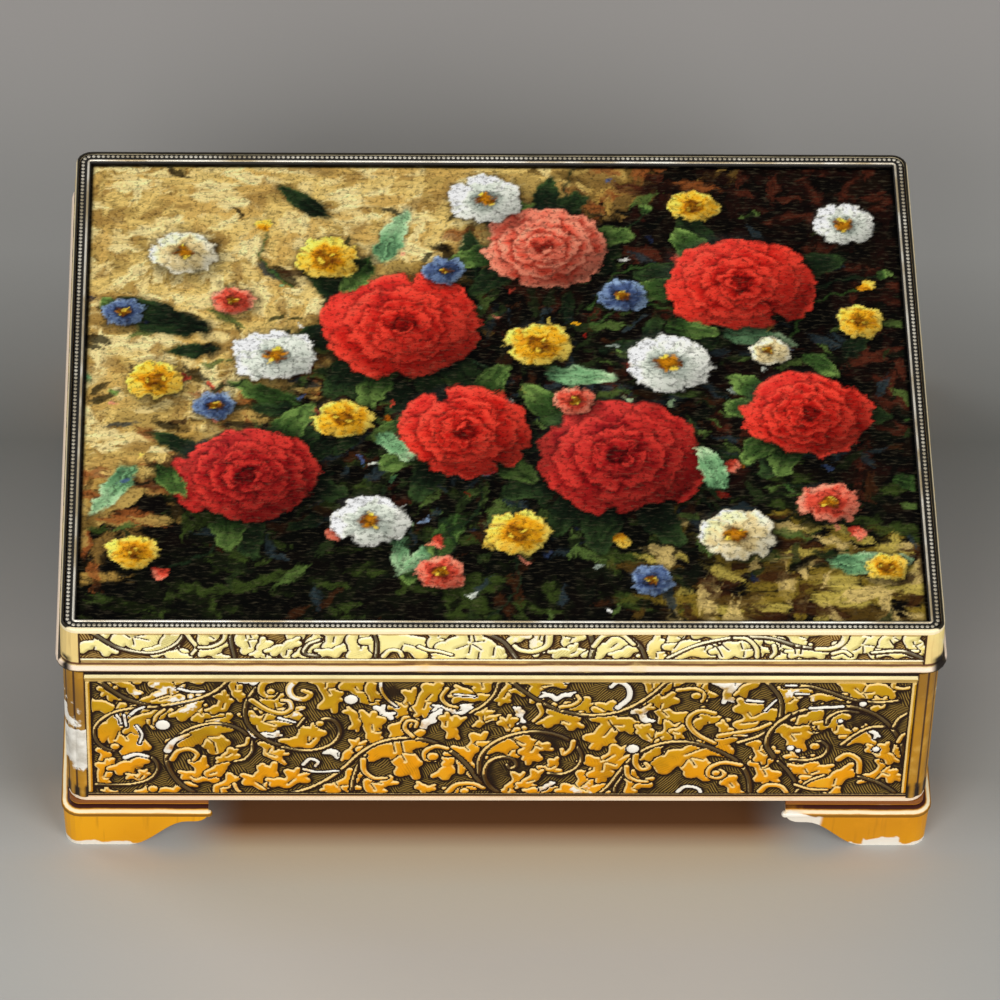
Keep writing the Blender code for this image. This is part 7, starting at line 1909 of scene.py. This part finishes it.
def paint_board():
    """Paints the ground, the foliage and then the flowers, the nearest ones last."""
    chance = random.Random(11)
    board = Painting(-PICTURE_HALF_X_MM, PICTURE_HALF_X_MM, -PICTURE_HALF_Y_MM, PICTURE_HALF_Y_MM, 0.4)
    pale = (board.across - 1.1 * board.up < -44)[..., None]
    board.paint[:] = np.where(pale, srgb(176, 148, 84), srgb(12, 8, 5))
    for number in range(3200):
        place = (chance.uniform(-99, 99), chance.uniform(-76, 76))
        reach = chance.uniform(5, 14)
        lean = chance.choice((0.0, 0.0, 1.4)) + chance.gauss(0, 0.3)
        board.daub(place, lean, reach, reach * 0.36, ground_tone(place, chance), number, 0.8)
    for number in range(1500):
        place = (chance.gauss(4, 44), chance.gauss(-8, 27))
        angle = math.atan2(place[1], place[0]) + chance.gauss(0, 0.7)
        reach = chance.uniform(4, 11)
        tone = chance.choice(FOLIAGE)
        if place[0] - 1.1 * place[1] > -52 or number % 3 == 0:
            board.daub(place, angle, reach, reach * 0.3, tone, number, 0.85)
    for _ in range(60):
        base = (chance.gauss(0, 44), chance.gauss(-4, 28))
        angle = math.atan2(base[1], base[0]) + chance.gauss(0, 0.6)
        reach = chance.uniform(8, 19)
        tones = chance.choice((DARK_GREEN, DARK_GREEN, DARK_GREEN, GREEN, MINT))
        paint_leaf(board, base, turned_to(base, angle, reach), reach * 0.34, tones, chance.uniform(0, 6.28))
    for _ in range(26):
        base = (chance.gauss(0, 50), chance.gauss(0, 34))
        angle = math.atan2(base[1], base[0] * 0.6) + chance.uniform(-0.6, 0.6)
        reach = chance.uniform(12, 26)
        middle, tip = turned_to(base, angle + 0.25, reach * 0.55), turned_to(base, angle - 0.1, reach)
        board.stroke([base, middle, tip], 0.4, 0.2, chance.choice((GREEN, DARK_GREEN))[1])
        end = turned_to(base, angle - 0.1, reach + 4)
        board.petal(tip, end, 3.4, chance.choice((CORAL, GREEN, GOLD)))
    for number in range(140):
        place = (chance.gauss(0, 46), chance.gauss(-10, 30))
        tone = chance.choice((GOLD, CORAL, WHITE, BLUE, MINT, GREEN))[chance.randrange(0, 3)]
        board.daub(place, chance.uniform(0, 3), chance.uniform(1.5, 4), 1.4, tone, number, 0.8)
    for centre, radius, _ in ROSES:
        for _ in range(6):
            angle = chance.uniform(0, 6.28)
            tip = turned_to(centre, angle, radius * chance.uniform(1.3, 1.6))
            tones = chance.choice((GREEN, DARK_GREEN, DARK_GREEN))
            paint_leaf(board, turned_to(centre, angle, radius * 0.6), tip, radius * 0.45, tones, angle)
    for centre, radius, tones in ROSES:
        board.shadow(centre, radius, 0.6)
        paint_rose(board, centre, radius, tones, chance)
        board.model(centre, radius, 0.75)
    for centre, radius, _ in ROSES:
        angle = chance.uniform(0, 6.28)
        base = turned_to(centre, angle, 1.25 * radius)
        tip = turned_to(base, angle + chance.choice((2.3, -2.3)), 0.7 * radius)
        paint_leaf(board, base, tip, radius * 0.3, chance.choice((GREEN, MINT)), angle)
    for centre, radius, tones, petals in BLOSSOMS:
        board.shadow(centre, radius, 0.5)
        paint_blossom(board, centre, radius, tones, petals, chance)
        board.model(centre, radius, 0.55)
    board.smear(chance)
    board.paint = np.clip(1.35 * board.paint**1.13, 0, 1)
    # Painted shadow of the bezel's lip: the picture's outer millimetre goes near black
    rim = np.minimum(PICTURE_HALF_X_MM - np.abs(board.across), PICTURE_HALF_Y_MM - np.abs(board.up))
    board.paint *= np.clip((rim - 1.0) / 0.3, 0.02, 1)[..., None]
    return board


def print_material():
    """The painted colours, flecked dark along the brush marks, with a faint weave."""
    picture, place, shader = new_material("picture_print")
    fine = place.noise(1500.0, 3.0)
    brush = place.stretched(260, 620, 1).noise(1.0, 4.0, 0.6, 0.8)
    weft = place.stretched(420, 1500, 1).noise(1.0, 2.0)
    mottle = place.noise(850.0, 3.0, 0.65)
    paint = place.attribute("paint", 0)
    paint = (mottle.rise(0.5, 0.36) * 0.5).mix(paint, srgb(10, 7, 5))
    paint = (brush.rise(0.5, 0.72) * 0.4).mix(paint, srgb(12, 8, 6))
    paint = (weft.rise(0.5, 0.8) * 0.04).mix(paint, srgb(240, 220, 170))
    feed(
        place,
        shader,
        brush + weft * 0.5 + fine * 0.4,
        0.00007,
        Base_Color=paint,
        Roughness=brush.blend(0.5, 0.65),
        Specular_IOR_Level=0.04,
    )
    return picture


def make_picture():
    """Lays the painted board on its panel in two halves, each under 200,000 triangles."""
    board = paint_board()
    columns = board.edge.shape[1]
    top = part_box("picture_panel")[1].z * 1000
    finish = print_material()
    for name, first, last in (("left", 0, columns // 2 + 1), ("right", columns // 2, columns)):
        across, up, paint = (field[:, first:last] for field in (board.across, board.up, board.paint))

        def lay(row, column, behind):
            level = top - 0.2 if behind else top + 0.03
            return Vector((across[row, column], up[row, column], level)) * MM + Vector((0, BOX_MIDDLE_Y, 0))

        mesh = closed_grid(across.shape, {"paint": paint}, lay)
        new_piece(mesh, "picture_" + name, finish, "lid")


make_picture()
dress(wood_along_x, "picture_panel")


# Lid lining and mirror: a padded velvet surround with a bevelled mirror in a thin gilt frame at its middle.

mesh = soft_copy("lid_lining", 0.0014, 0.0004)
mesh.normal_update()
for vertex in mesh.verts:
    vertex.co += vertex.normal * (0.00015 * noise.noise(vertex.co * 70))
smooth_faces(mesh)
lid_pad = new_piece(mesh, "lid_pad", velvet, "lid")
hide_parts("lid_lining")


def mirror_material():
    """Silvered glass with a faint haze."""
    mirror, place, shader = new_material("mirror_glass")
    haze = place.noise(120.0, 3.0)
    feed(
        place,
        shader,
        Base_Color=srgb(226, 230, 232),
        Metallic=1.0,
        Roughness=haze.rise(0.5, 0.85) * 0.05 + 0.015,
    )
    return mirror


dress(mirror_material(), "lid_mirror")
dress(brass, "mirror_frame")
